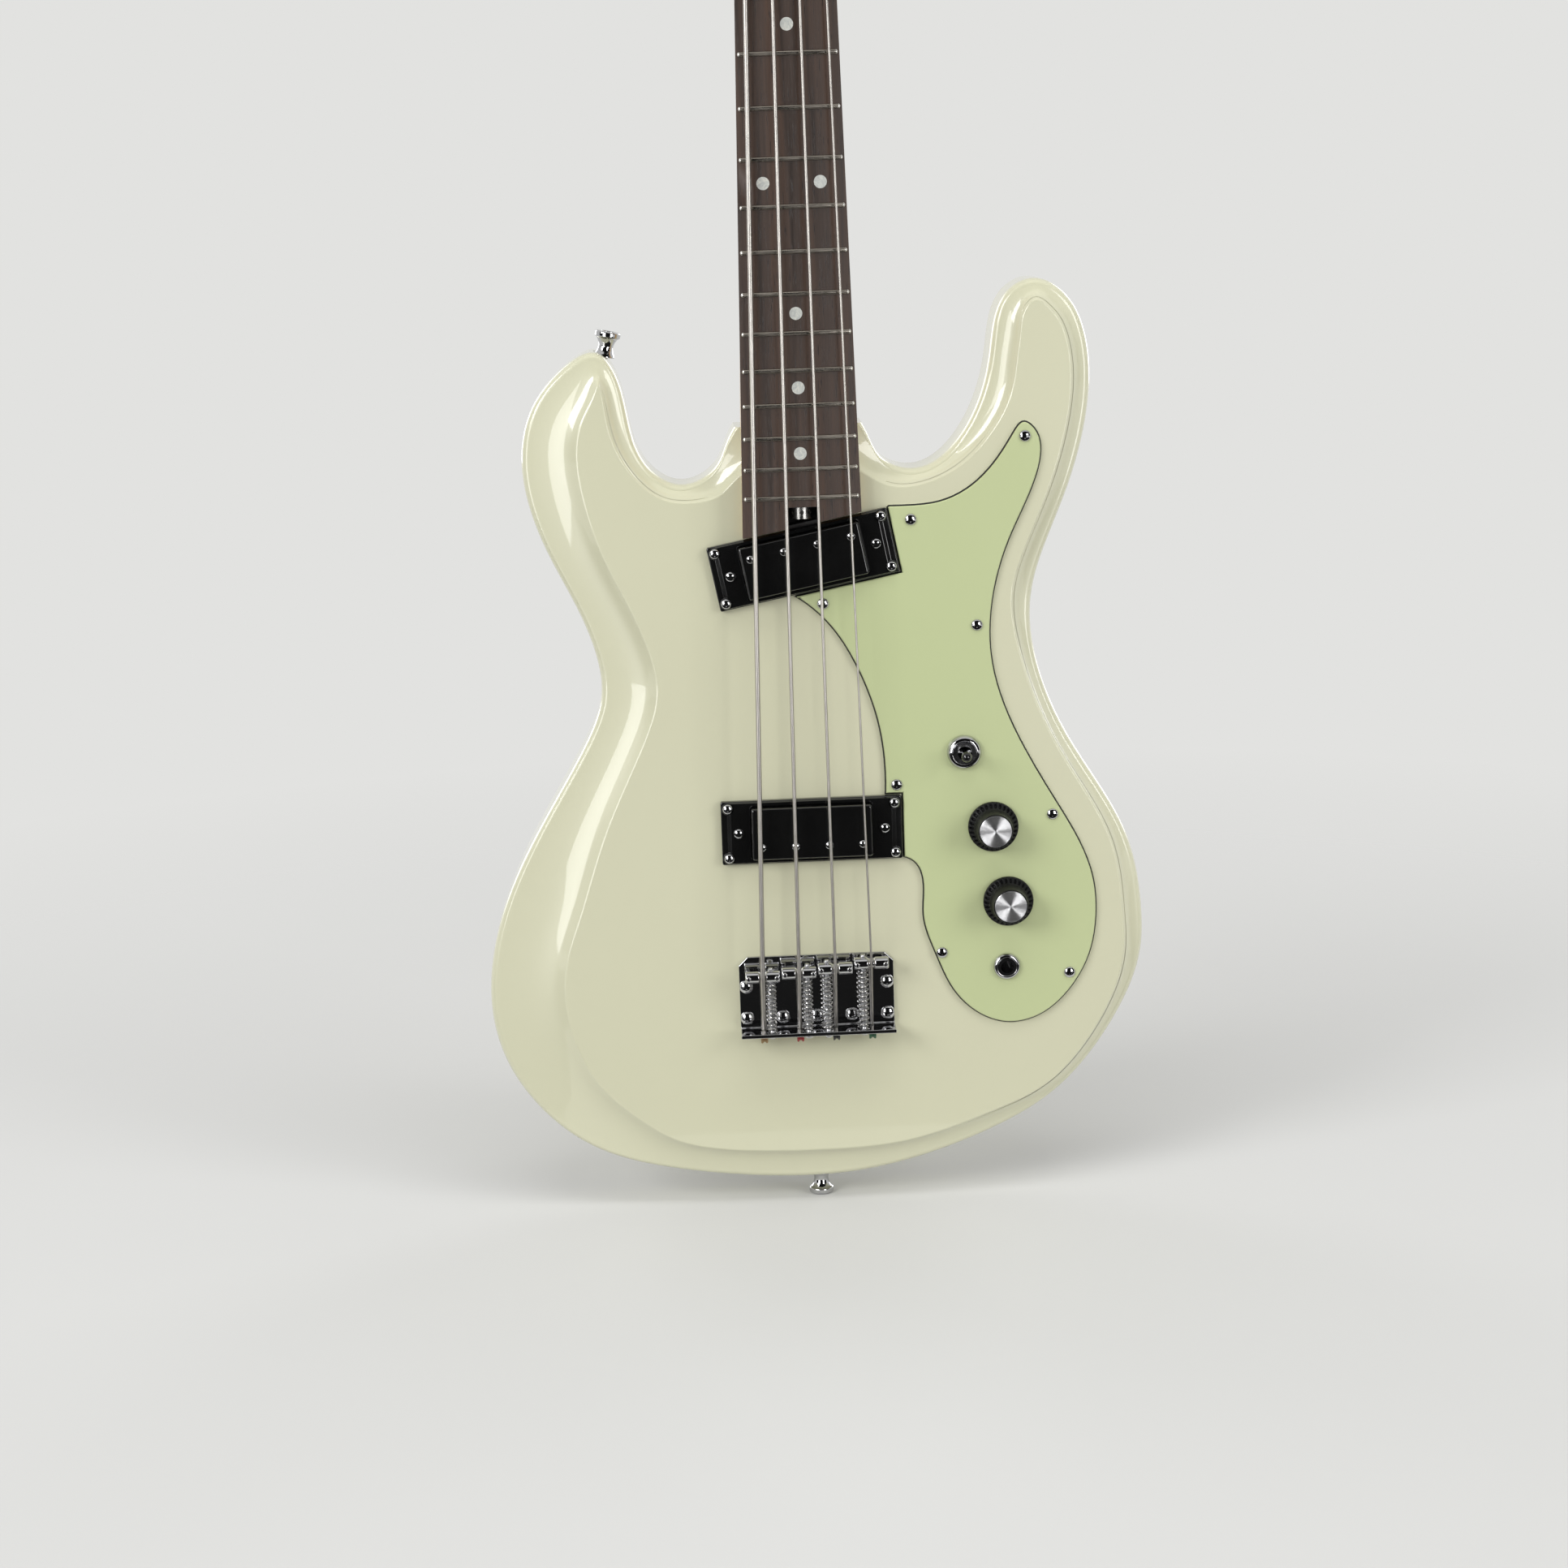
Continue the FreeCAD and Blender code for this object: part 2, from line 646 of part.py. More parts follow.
def pickup_rout(middle, slant):
    length = PICKUP_LENGTH - 2 * ROUT_MARGIN
    screw_zone = PICKUP_SCREW_INSET + SMALL_SCREW_RADIUS + ROUT_SCREW_WALL
    wide = PICKUP_WIDTH - 2 * ROUT_MARGIN
    floor = FRONT_Y + ROUT_DEPTH
    middle_block = pickup_block(length - 2 * screw_zone, wide, FRONT_Y - 1, floor, middle, slant)
    end_width = PICKUP_WIDTH - 4 * PICKUP_SCREW_INSET
    end_block = pickup_block(length, end_width, FRONT_Y - 1, floor, middle, slant)
    return middle_block.fuse(end_block)


def wire_channels():
    y = FRONT_Y + WIRE_DEPTH
    neck_end = V(CHANNEL_X, y, SADDLE_Z + BRIDGE_PICKUP_Z + CHANNEL_OFFSET)
    up = NECK_PICKUP_Z - BRIDGE_PICKUP_Z - CHANNEL_OFFSET
    cavity_reach = VOLUME_AT[0] - CHANNEL_X
    return [
        rod(neck_end, UP, WIRE_CHANNEL_RADIUS, up),
        rod(neck_end, V(1, 0, 0), WIRE_CHANNEL_RADIUS, cavity_reach),
    ]


def build_body():
    cuts = [pocket(), slab(from_saddles(CAVITY_OUTLINE), FRONT_Y - 1, FRONT_Y + CAVITY_DEPTH)]
    heel_z = SADDLE_Z + BODY_HEEL_Z
    cuts.append(box(-NUT_WIDTH, NUT_WIDTH, -FAR, FAR, heel_z, heel_z + FAR))
    cuts += wire_channels()
    for _, middle, slant, _ in PICKUPS:
        cuts.append(pickup_rout(middle, slant))
        cuts += [small_hole(p, INTO_FRONT) for p in pickup_screw_points(middle, slant, RING_Y)]
    cuts += [small_hole(p, INTO_FRONT) for p in guard_screw_points()]
    bridge_radius = BRIDGE_SCREW_RADIUS + FIT
    cuts += [rod(p, INTO_FRONT, bridge_radius, BRIDGE_SCREW_LENGTH + FIT) for p in bridge_screw_points()]
    cuts += [rod(p, INTO_BACK, NECK_SCREW_RADIUS + FIT, NECK_SCREW_LENGTH) for p in neck_screw_points()]
    for at, way in BUTTON_SEATS:
        cuts.append(rod(at, way, BUTTON_BASE_RADIUS + BUTTON_SEAT_GAP, BUTTON_LENGTH))
        cuts.append(rod(at, way * -1, BUTTON_SCREW_RADIUS + FIT, BUTTON_SCREW_GRIP + FIT))
    return body_block().cut(cuts)


export("body", build_body())


# Neck: one piece from heel to headstock, rounded behind
def neck_side():
    """The neck's side view, as an extruded slab across its whole width."""
    nut_end = NUT_Z + NUT_LENGTH
    low = SADDLE_Z + HEEL_LOW
    top = NUT_Z + HEAD_LENGTH
    heel_top = SADDLE_Z + BODY_HEEL_Z + HEEL_SHOULDER_LENGTH * 0.3
    shaft_low = SADDLE_Z + BODY_HEEL_Z + HEEL_SHOULDER_LENGTH * 1.6
    ramp_mid = V(0, HEAD_FACE_Y - HEAD_DROP * 0.3, nut_end + HEAD_DROP * 0.8)
    ramp_end = V(0, HEAD_FACE_Y, nut_end + HEAD_DROP * 2.2)
    shaft_top = V(0, NECK_TOP_Y + NECK_DEPTH_AT_NUT, NUT_Z - 2 * HEAD_THICKNESS)
    head_low = V(0, HEAD_BACK_Y, NUT_Z + 2.2 * HEAD_THICKNESS)
    shaft_bottom = V(0, NECK_TOP_Y + NECK_DEPTH_AT_HEEL, shaft_low)
    heel = V(0, HEEL_Y, heel_top)
    volute = Part.BSplineCurve()
    volute.interpolate(Points=[head_low, shaft_top], InitialTangent=DOWN, FinalTangent=DOWN)
    shoulder = Part.BSplineCurve()
    shoulder.interpolate(Points=[shaft_bottom, heel], InitialTangent=DOWN, FinalTangent=DOWN)
    front_low = V(0, NECK_TOP_Y, low)
    front_high = V(0, NECK_TOP_Y, nut_end)
    edges = [
        Part.makeLine(front_low, front_high), Part.Arc(front_high, ramp_mid, ramp_end).toShape(),
        Part.makeLine(ramp_end, V(0, HEAD_FACE_Y, top)),
        Part.makeLine(V(0, HEAD_FACE_Y, top), V(0, HEAD_BACK_Y, top)),
        Part.makeLine(V(0, HEAD_BACK_Y, top), head_low), volute.toShape(),
        Part.makeLine(shaft_top, shaft_bottom), shoulder.toShape(),
        Part.makeLine(heel, V(0, HEEL_Y, low)), Part.makeLine(V(0, HEEL_Y, low), front_low),
    ]
    face = Part.Face(Part.Wire(edges))
    face.translate(V(-FAR / 2, 0, 0))
    return face.extrude(V(FAR, 0, 0))


def head_front():
    """The headstock's front view, widening from the nut to a rounded end."""
    points = [V(NUT_WIDTH / 2 + wide, -FAR / 2, NUT_Z + high) for wide, high in HEAD_OUTLINE]
    points.append(V(0, -FAR / 2, NUT_Z + HEAD_LENGTH))
    curve = Part.BSplineCurve()
    curve.interpolate(Points=points, InitialTangent=UP, FinalTangent=V(-1, 0, 0))
    right = curve.toShape()
    left = right.mirror(V(0, 0, 0), V(1, 0, 0))
    base = Part.makeLine(V(-points[0].x, points[0].y, points[0].z), points[0])
    return Part.Face(Part.Wire(Part.__sortEdges__([right, left, base]))).extrude(V(0, FAR, 0))


def neck_section(z, half_width, top_y, depth, roundness):
    """A closed section of the neck: flat in front, rounded behind by a superellipse."""
    steps = 16
    points = []
    for i in range(steps + 1):
        a = math.pi * i / steps
        c = math.cos(a)
        x = half_width * math.copysign(abs(c) ** (2 / roundness), c)
        points.append(V(x, top_y + depth * abs(math.sin(a)) ** (2 / roundness), z))
    return Part.Wire([spline(points), Part.makeLine(points[-1], points[0])])


def neck_waste(sections):
    """What is carved away behind the neck between its first and last section."""
    wires = [neck_section(z, half, NECK_TOP_Y, depth, roundness) for z, half, depth, roundness in sections]
    zone = box(-FAR / 2, FAR / 2, NECK_TOP_Y, FAR, sections[0][0], sections[-1][0])
    return zone.cut(Part.makeLoft(wires, True, True))


def build_neck():
    shaft = slab(neck_front(HEEL_LOW, SCALE_LENGTH, 0.0), -FAR / 2, FAR / 2)
    blank = shaft.fuse(head_front()).common(neck_side())
    heel = BODY_HEEL_Z + HEEL_SHOULDER_LENGTH * 0.3
    shaft_low = BODY_HEEL_Z + HEEL_SHOULDER_LENGTH * 1.6
    shaft_top = SCALE_LENGTH - 2 * HEAD_THICKNESS
    heel_half = board_half_width(heel)
    low_half = board_half_width(shaft_low)
    top_half = board_half_width(shaft_top)
    top = (SADDLE_Z + shaft_top, top_half, NECK_DEPTH_AT_NUT, NECK_ROUNDNESS)
    back = neck_waste([
        (SADDLE_Z + heel, heel_half, POCKET_DEPTH + NECK_RISE + NECK_CARVE_SPARE, NECK_SQUARENESS),
        (SADDLE_Z + shaft_low, low_half, NECK_DEPTH_AT_HEEL, NECK_ROUNDNESS), top,
    ])
    head_half = NUT_WIDTH / 2 + HEAD_THICKNESS
    head_depth = HEAD_DROP + HEAD_THICKNESS + NECK_CARVE_SPARE
    head_low = NUT_Z + 2 * HEAD_THICKNESS
    behind_nut = neck_waste([top, (head_low, head_half, head_depth, NECK_SQUARENESS)])
    neck = blank.cut([back, behind_nut, slant_cut(BOARD_TO_PICKUP), truss_notch(), truss_channel()])
    holes = [rod(p, INTO_BACK, NECK_SCREW_RADIUS + FIT, NECK_SCREW_LENGTH) for p in neck_screw_points()]
    for x, z, _ in tuner_places():
        start = V(x, HEAD_FACE_Y - 1, z)
        holes.append(rod(start, INTO_FRONT, BUSHING_RADIUS + FIT, BUSHING_DEPTH + 1))
        holes.append(rod(start, INTO_FRONT, POST_RADIUS + POST_ROOM, HEAD_THICKNESS + 2))
    holes += [small_hole(p, INTO_BACK) for p in tuner_screw_points()]
    holes += [small_hole(p, INTO_FRONT) for p in retainer_screw_points()]
    return neck.cut(holes)


# Truss rod
BOARD_END_Z = pickup_point(0.0, PICKUP_WIDTH / 2 + BOARD_TO_PICKUP, 0.0, NECK_PICKUP_Z, 0.0).z
SLANT_RISE = (PICKUP_WIDTH / 2 + BOARD_TO_PICKUP) * (1 / math.cos(math.radians(NECK_PICKUP_SLANT)) - 1)
NOTCH_Z = BOARD_END_Z + SLANT_RISE + NOTCH_LENGTH
WHEEL_LOW_Z = NOTCH_Z - WHEEL_END_GAP - WHEEL_LENGTH


def truss_notch():
    floor = ROD_Y + WHEEL_RADIUS + WHEEL_END_GAP * 2
    return box(-NOTCH_HALF_WIDTH, NOTCH_HALF_WIDTH, CROWN_Y - 1, floor, SADDLE_Z + HEEL_LOW, NOTCH_Z)


def truss_channel():
    return rod(V(0, ROD_Y, WHEEL_LOW_Z), UP, ROD_RADIUS + FIT, ROD_LENGTH + FIT)


def truss_wheel():
    wheel = rod(V(0, ROD_Y, WHEEL_LOW_Z), UP, WHEEL_RADIUS, WHEEL_LENGTH)
    cuts = [rod(V(0, ROD_Y, WHEEL_LOW_Z - 1), UP, ROD_RADIUS + ROD_RUN, WHEEL_LENGTH + 2)]
    for i in range(WHEEL_HOLES):
        a = 2 * math.pi * i / WHEEL_HOLES
        out = V(math.cos(a), math.sin(a), 0)
        at = V(0, ROD_Y, WHEEL_LOW_Z + WHEEL_LENGTH / 2) + out * ((ROD_RADIUS + WHEEL_RADIUS) / 2)
        cuts.append(rod(at, out, WHEEL_HOLE_RADIUS, WHEEL_RADIUS))
    return wheel.cut(cuts)


# Tuners: string k from bass to treble has its own post, gear and key
def tuner_places():
    low, high = [NUT_Z + row for row in POST_ROWS]
    return [(-POST_X, low, -1), (-POST_X, high, -1), (POST_X, high, 1), (POST_X, low, 1)]


TUNER_PLATE_Y = HEAD_BACK_Y + TUNER_PLATE
GEAR_Y = TUNER_PLATE_Y + GEAR_HUB
GEAR_RADIUS = GEAR_TEETH * GEAR_MODULE / 2
WORM_PITCH = math.pi * GEAR_MODULE
WORM_Y = GEAR_Y + GEAR_THICKNESS / 2
WORM_DROP = GEAR_RADIUS + WORM_PITCH_RADIUS
WORM_HALF = WORM_TURNS * WORM_PITCH / 2 + TOOTH_WIDTH
GEAR_BORE_RADIUS = POST_RADIUS - POST_STEP
BUSHING_FACE_Y = HEAD_FACE_Y - BUSHING_FLANGE
WAIST_LOW_Y = BUSHING_FACE_Y - 4 * POST_RUN - POST_FLANGE


def tuner_screw_points():
    points = []
    for x, z, _ in tuner_places():
        for i in (-1, 1):
            px = x + i * (TUNER_PLATE_WIDTH / 2 - TUNER_SCREW_INSET)
            points.append(V(px, TUNER_PLATE_Y, z - TUNER_PLATE_BELOW + TUNER_SCREW_INSET))
            points.append(V(px, TUNER_PLATE_Y, z + TUNER_PLATE_ABOVE - TUNER_SCREW_INSET))
    return points


def tuner_plate(x, z):
    half = TUNER_PLATE_WIDTH / 2
    low = z - TUNER_PLATE_BELOW
    plate = box(x - half, x + half, HEAD_BACK_Y, TUNER_PLATE_Y, low, z + TUNER_PLATE_ABOVE)
    ear_radius = KEY_RADIUS + EAR_MARGIN
    worm_z = z - WORM_DROP
    for i in (-1, 1):
        near = x + i * (WORM_HALF + EAR_GAP)
        left = min(near, near + i * EAR_THICKNESS)
        right = left + EAR_THICKNESS
        foot_y = HEAD_BACK_Y + TUNER_PLATE / 2
        ear = box(left, right, foot_y, WORM_Y, worm_z - ear_radius, worm_z + ear_radius)
        plate = plate.fuse([ear, rod(V(left, WORM_Y, worm_z), V(1, 0, 0), ear_radius, EAR_THICKNESS)])
    key_start = V(x - TUNER_PLATE_WIDTH, WORM_Y, worm_z)
    cuts = [
        rod(V(x, HEAD_BACK_Y - 1, z), INTO_FRONT, POST_RADIUS + POST_RUN, TUNER_PLATE + 2),
        rod(key_start, V(1, 0, 0), KEY_RADIUS + KEY_RUN, 2 * TUNER_PLATE_WIDTH),
    ]
    cuts += [small_hole(p, INTO_BACK) for p in tuner_screw_points()]
    return plate.cut(cuts).removeSplitter()


def tuner_bushing(x, z):
    bore = POST_RADIUS + POST_RUN
    wide = BUSHING_FLANGE_RADIUS
    top = BUSHING_DEPTH + BUSHING_FLANGE
    profile = [
        (bore, 0), (BUSHING_RADIUS, 0), (BUSHING_RADIUS, BUSHING_DEPTH), (wide, BUSHING_DEPTH),
        (wide, top - BUSHING_FLANGE * 0.4), (wide - BUSHING_FLANGE * 0.6, top), (bore, top),
    ]
    return turned(profile, V(x, HEAD_FACE_Y + BUSHING_DEPTH, z), INTO_BACK)


def tuner_post(x, z):
    rivet = GEAR_THICKNESS / 4
    gear_top = rivet + GEAR_THICKNESS
    hub_top = gear_top + GEAR_HUB - 4 * POST_RUN
    back_y = GEAR_Y + gear_top
    flange = back_y - BUSHING_FACE_Y + 4 * POST_RUN
    waist = flange + POST_FLANGE
    top = waist + POST_WAIST_LENGTH
    stub = GEAR_BORE_RADIUS
    rivet_radius = stub * 1.25
    hub = POST_RADIUS * 1.2
    wide = POST_FLANGE_RADIUS
    profile = [
        (0, 0), (rivet_radius, 0), (rivet_radius, rivet), (stub, rivet), (stub, gear_top),
        (hub, gear_top), (hub, hub_top), (POST_RADIUS, hub_top), (POST_RADIUS, flange),
        (wide, flange), (wide, waist - POST_FLANGE * 0.2), (POST_WAIST_RADIUS, waist),
        (POST_WAIST_RADIUS, top), (wide, top + POST_TOP * 0.4), (wide, top + POST_TOP * 0.8),
        (wide * 0.88, top + POST_TOP), (0, top + POST_TOP),
    ]
    post = turned(profile, V(x, back_y, z), INTO_BACK)
    tip_y = back_y - top - POST_TOP
    half = POST_SLOT / 2
    reach = POST_FLANGE_RADIUS + 1
    slot = box(x - half, x + half, tip_y - 1, tip_y + POST_TOP * 1.6, z - reach, z + reach)
    hole = rod(V(x, tip_y - 1, z), INTO_FRONT, half, POST_WAIST_LENGTH)
    return post.cut([slot, hole])


def gear_wire(x, z, y, twist):
    """The gear's outline at one depth, with a gap facing the worm."""
    root = GEAR_RADIUS - TOOTH_ROOT
    tip = GEAR_RADIUS + TOOTH_HEIGHT
    points = []
    for i in range(GEAR_TEETH):
        middle = -math.pi / 2 + twist + 2 * math.pi * (i + 0.5) / GEAR_TEETH
        for radius, width in ((root, -0.9), (tip, -0.35), (tip, 0.35), (root, 0.9)):
            a = middle + width * TOOTH_WIDTH / radius
            points.append(V(x + radius * math.cos(a), y, z + radius * math.sin(a)))
    return Part.makePolygon(points + points[:1])


def tuner_gear(x, z):
    lead = WORM_PITCH / (2 * math.pi * WORM_PITCH_RADIUS)
    twist = GEAR_THICKNESS / 2 * lead / GEAR_RADIUS
    wires = [gear_wire(x, z, GEAR_Y, twist), gear_wire(x, z, GEAR_Y + GEAR_THICKNESS, -twist)]
    gear = Part.makeLoft(wires, True, True)
    return gear.cut(rod(V(x, GEAR_Y - 1, z), INTO_FRONT, GEAR_BORE_RADIUS + FIT, GEAR_THICKNESS + 2))


def worm_thread():
    """A thread about +X, centred, whose middle turn faces +Z."""
    length = WORM_TURNS * WORM_PITCH
    inner = KEY_RADIUS - THREAD_SINK
    outer = WORM_PITCH_RADIUS + TOOTH_HEIGHT
    wide = TOOTH_WIDTH * 0.75
    thin = TOOTH_WIDTH * 0.3
    helix = Part.makeHelix(WORM_PITCH, length, WORM_PITCH_RADIUS)
    corners = [V(inner, 0, -wide), V(outer, 0, -thin), V(outer, 0, thin), V(inner, 0, wide)]
    section = Part.makePolygon(corners + corners[:1])
    thread = Part.Wire(helix.Edges).makePipeShell([section], True, True)
    thread.translate(V(0, 0, -length / 2))
    thread.rotate(V(0, 0, 0), V(1, 0, 1), 180)
    return thread


def tuner_key(x, z, side):
    worm_z = z - WORM_DROP
    out = V(side, 0, 0)
    stop = KEY_RADIUS * 0.6
    inner = x - side * (WORM_HALF + EAR_GAP * 2 + EAR_THICKNESS)
    start = V(inner - side * stop, WORM_Y, worm_z)
    reach = side * KEY_REACH - start.x
    shaft = rod(start, out, KEY_RADIUS, abs(reach) + KEY_BUTTON_LENGTH / 2)
    head = rod(start, out, KEY_RADIUS * 1.4, stop)
    long = KEY_RADIUS * 3
    ferrule = turned(
        [(0, 0), (KEY_RADIUS * 1.4, 0), (KEY_RADIUS * 2, long), (0, long)],
        V(side * (KEY_REACH - long * 0.8), WORM_Y, worm_z), out)
    half_length = KEY_BUTTON_LENGTH / 2
    centre = V(side * (KEY_REACH + half_length), WORM_Y - KEY_BUTTON_THICKNESS / 2, worm_z)
    oval = Part.Ellipse(centre + V(0, 0, KEY_BUTTON_WIDTH / 2), centre + V(half_length, 0, 0), centre)
    button = Part.Face(Part.Wire([oval.toShape()])).extrude(V(0, KEY_BUTTON_THICKNESS, 0))
    rims = [e for e in button.Edges if e.Length > KEY_BUTTON_WIDTH]
    button = button.makeFillet(KEY_BUTTON_THICKNESS * 0.35, rims)
    thread = worm_thread()
    thread.translate(V(x, WORM_Y, worm_z))
    return shaft.fuse([head, thread, ferrule, button])


# Where the string retainer bar stands on the headstock
RETAINER_BAR_Y = HEAD_FACE_Y - RETAINER_RISE - RETAINER_RADIUS
RETAINER_ROW_Z = NUT_Z + RETAINER_Z


def retainer_screw_points():
    z = RETAINER_ROW_Z + RETAINER_FOOT_REACH - RETAINER_FOOT_HALF_WIDTH
    return [V(i * RETAINER_HALF_SPAN, HEAD_FACE_Y - RETAINER_FOOT, z) for i in (-1, 1)]


export("neck", build_neck())
export("truss_rod", rod(V(0, ROD_Y, WHEEL_LOW_Z), UP, ROD_RADIUS, ROD_LENGTH))
export("truss_rod_wheel", truss_wheel())
export("tuner_plates", group([tuner_plate(x, z) for x, z, _ in tuner_places()]))
export("tuner_bushings", group([tuner_bushing(x, z) for x, z, _ in tuner_places()]))
for k, (x, z, side) in enumerate(tuner_places(), 1):
    export("tuner_post_%d" % k, tuner_post(x, z))
    export("tuner_gear_%d" % k, tuner_gear(x, z))
    export("tuner_key_%d" % k, tuner_key(x, z, side))


# Fingerboard, frets, dots and nut
BOARD_AXIS = V(0, CROWN_Y + BOARD_RADIUS, SADDLE_Z)


def board_round(rise):
    """The crowned front of the fingerboard, or a surface a little above it."""
    return rod(BOARD_AXIS, UP, BOARD_RADIUS + rise, SCALE_LENGTH + FAR)


def along_fret(section, number):
    """Sweep a section, standing on the middle line, over the crowned board as far as a fret reaches."""
    half = board_half_width(fret_height(number)) - FRET_END_INSET
    reach = math.degrees(math.asin(half / BOARD_RADIUS))
    section.rotate(BOARD_AXIS, UP, -reach)
    return section.revolve(BOARD_AXIS, UP, 2 * reach)


def side_face(points):
    corners = [V(0, y, z) for y, z in points]
    return Part.Face(Part.makePolygon(corners + corners[:1]))


def fret(number):
    """One fret: a domed crown and a tang."""
    z = SADDLE_Z + fret_height(number)
    half = FRET_WIDTH / 2
    tang = FRET_TANG_WIDTH / 2
    crest = V(0, CROWN_Y - FRET_HEIGHT, z)
    top = Part.Arc(V(0, CROWN_Y, z - half), crest, V(0, CROWN_Y, z + half)).toShape()
    rest = [
        (CROWN_Y, z + half), (CROWN_Y, z + tang), (CROWN_Y + FRET_TANG_DEPTH, z + tang),
        (CROWN_Y + FRET_TANG_DEPTH, z - tang), (CROWN_Y, z - tang), (CROWN_Y, z - half),
    ]
    corners = [V(0, y, h) for y, h in rest]
    lines = [Part.makeLine(corners[i], corners[i + 1]) for i in range(len(corners) - 1)]
    return along_fret(Part.Face(Part.Wire([top] + lines)), number)


def fret_slot(number):
    z = SADDLE_Z + fret_height(number)
    half = FRET_TANG_WIDTH / 2 + FIT
    floor = CROWN_Y + FRET_TANG_DEPTH + FIT
    above = CROWN_Y - FRET_HEIGHT
    corners = [(floor, z - half), (floor, z + half), (above, z + half), (above, z - half)]
    return along_fret(side_face(corners), number)


def dot_points():
    points = []
    for number in DOT_FRETS:
        z = SADDLE_Z + (fret_height(number) + fret_height(number - 1)) / 2
        double = number == DOT_FRETS[len(DOT_FRETS) // 2]
        xs = (-DOUBLE_DOT_SPREAD / 2, DOUBLE_DOT_SPREAD / 2) if double else (0.0,)
        points += [V(x, CROWN_Y + DOT_DEPTH, z) for x in xs]
    return points


def position_dot(at):
    return rod(at, INTO_BACK, DOT_RADIUS, 2 * DOT_DEPTH).common(board_round(0.0))


def build_fingerboard():
    board = slab(neck_front(HEEL_LOW, SCALE_LENGTH, 0.0), CROWN_Y, NECK_TOP_Y).common(board_round(0.0))
    cuts = [slant_cut(BOARD_TO_PICKUP), truss_notch()]
    cuts += [fret_slot(number) for number in range(1, FRET_COUNT + 1)]
    cuts += [rod(p, INTO_BACK, DOT_RADIUS + FIT, 2 * DOT_DEPTH) for p in dot_points()]
    return board.cut(cuts)


export("frets", group([fret(number) for number in range(1, FRET_COUNT + 1)]))
export("position_dots", group([position_dot(p) for p in dot_points()]))
export("fingerboard", build_fingerboard())


# Strings: from the ball behind the bridge lip over saddle and nut, under the retainer and round the post
def string_x(k, spacing):
    return STRING_SIDES[k] * spacing


def ball_point(k):
    return V(string_x(k, STRING_SPACING_AT_BRIDGE), FRONT_Y - BALL_HOLE_RISE, LIP_Z - BALL_RADIUS)


def saddle_point(k):
    x = string_x(k, STRING_SPACING_AT_BRIDGE)
    y = CROWN_Y - FRET_HEIGHT - ACTION_AT_BRIDGE + crown_drop(x) - STRING_RADII[k]
    return V(x, y, SADDLE_Z + SADDLE_STAGGER[k])


def nut_point(k):
    x = string_x(k, STRING_SPACING_AT_NUT)
    return V(x, CROWN_Y - FRET_HEIGHT - ACTION_AT_NUT + crown_drop(x) - STRING_RADII[k], NUT_Z)


def wrap_radius(k):
    return POST_WAIST_RADIUS + WRAP_GAP + STRING_RADII[k]


def wrap_pitch(k):
    return 2 * STRING_RADII[k] + TURN_GAP


def wrap_start_angle(k):
    """Where the string first touches its post, seen from the front."""
    x, z, side = tuner_places()[k]
    nut = nut_point(k)
    away = math.atan2(nut.z - z, nut.x - x)
    return away - side * math.acos(wrap_radius(k) / math.hypot(nut.x - x, nut.z - z))


def wrap_point(k, turned_by):
    """A point of the turns and the way the string runs there, after an angle round the post."""
    x, z, side = tuner_places()[k]
    radius = wrap_radius(k)
    climb = wrap_pitch(k) / (2 * math.pi)
    a = wrap_start_angle(k) - side * turned_by
    y = WAIST_LOW_Y - STRING_RADII[k] - TURN_GAP - STRING_GAP * 5 - climb * turned_by
    way = V(side * radius * math.sin(a), -climb, -side * radius * math.cos(a))
    return V(x + radius * math.cos(a), y, z + radius * math.sin(a)), way.normalize()


def lead_point(k):
    start, way = wrap_point(k, 0.0)
    return start - way * STRING_LEAD


def retainer_point(k):
    """Where the string bends under the retainer, so that the bend lies round the bar."""
    nut = nut_point(k)
    lead = lead_point(k)
    reach = RETAINER_RADIUS + STRING_GAP + STRING_RADII[k]
    before = math.atan2(RETAINER_BAR_Y + reach - nut.y, RETAINER_ROW_Z - nut.z)
    after = math.atan2(lead.y - RETAINER_BAR_Y - reach, lead.z - RETAINER_ROW_Z)
    slope = (before + after) / 2
    far = reach / math.cos((before - after) / 2)
    z = RETAINER_ROW_Z - far * math.sin(slope)
    share = (z - nut.z) / (lead.z - nut.z)
    return V(nut.x + (lead.x - nut.x) * share, RETAINER_BAR_Y + far * math.cos(slope), z)


def tangent_arc(start, way, end):
    """The arc that leaves a point along a direction and reaches another point."""
    chord = end - start
    along = V(chord).normalize()
    side = way - along * way.dot(along)
    bend = math.acos(max(-1.0, min(1.0, way.dot(along))))
    middle = (start + end) * 0.5 + side.normalize() * (chord.Length / 2 * math.tan(bend / 2))
    return Part.Arc(start, middle, end).toShape()


def biarc(start, start_way, end, end_way):
    """Two arcs that join two points and leave along both their directions."""
    gap = end - start
    both = start_way + end_way
    a = 2 * (1 - start_way.dot(end_way))
    b = gap.dot(both)
    d = (-b + math.sqrt(b * b + a * gap.dot(gap))) / a
    joint = (start + end + (start_way - end_way) * d) * 0.5
    middle_way = (end - end_way * d) - (start + start_way * d)
    return [tangent_arc(start, start_way, joint), tangent_arc(joint, middle_way.normalize(), end)]


def rounded_run(corners, bends):
    """Straight runs between corners, joined by arcs that touch both."""
    edges = []
    at = corners[0]
    for i, bend in enumerate(bends, 1):
        before = (corners[i] - corners[i - 1]).normalize()
        after = (corners[i + 1] - corners[i]).normalize()
        cut = bend * math.tan(before.getAngle(after) / 2)
        enter = corners[i] - before * cut
        leave = corners[i] + after * cut
        edges += [Part.makeLine(at, enter), tangent_arc(enter, before, leave)]
        at = leave
    return edges + [Part.makeLine(at, corners[-1])]


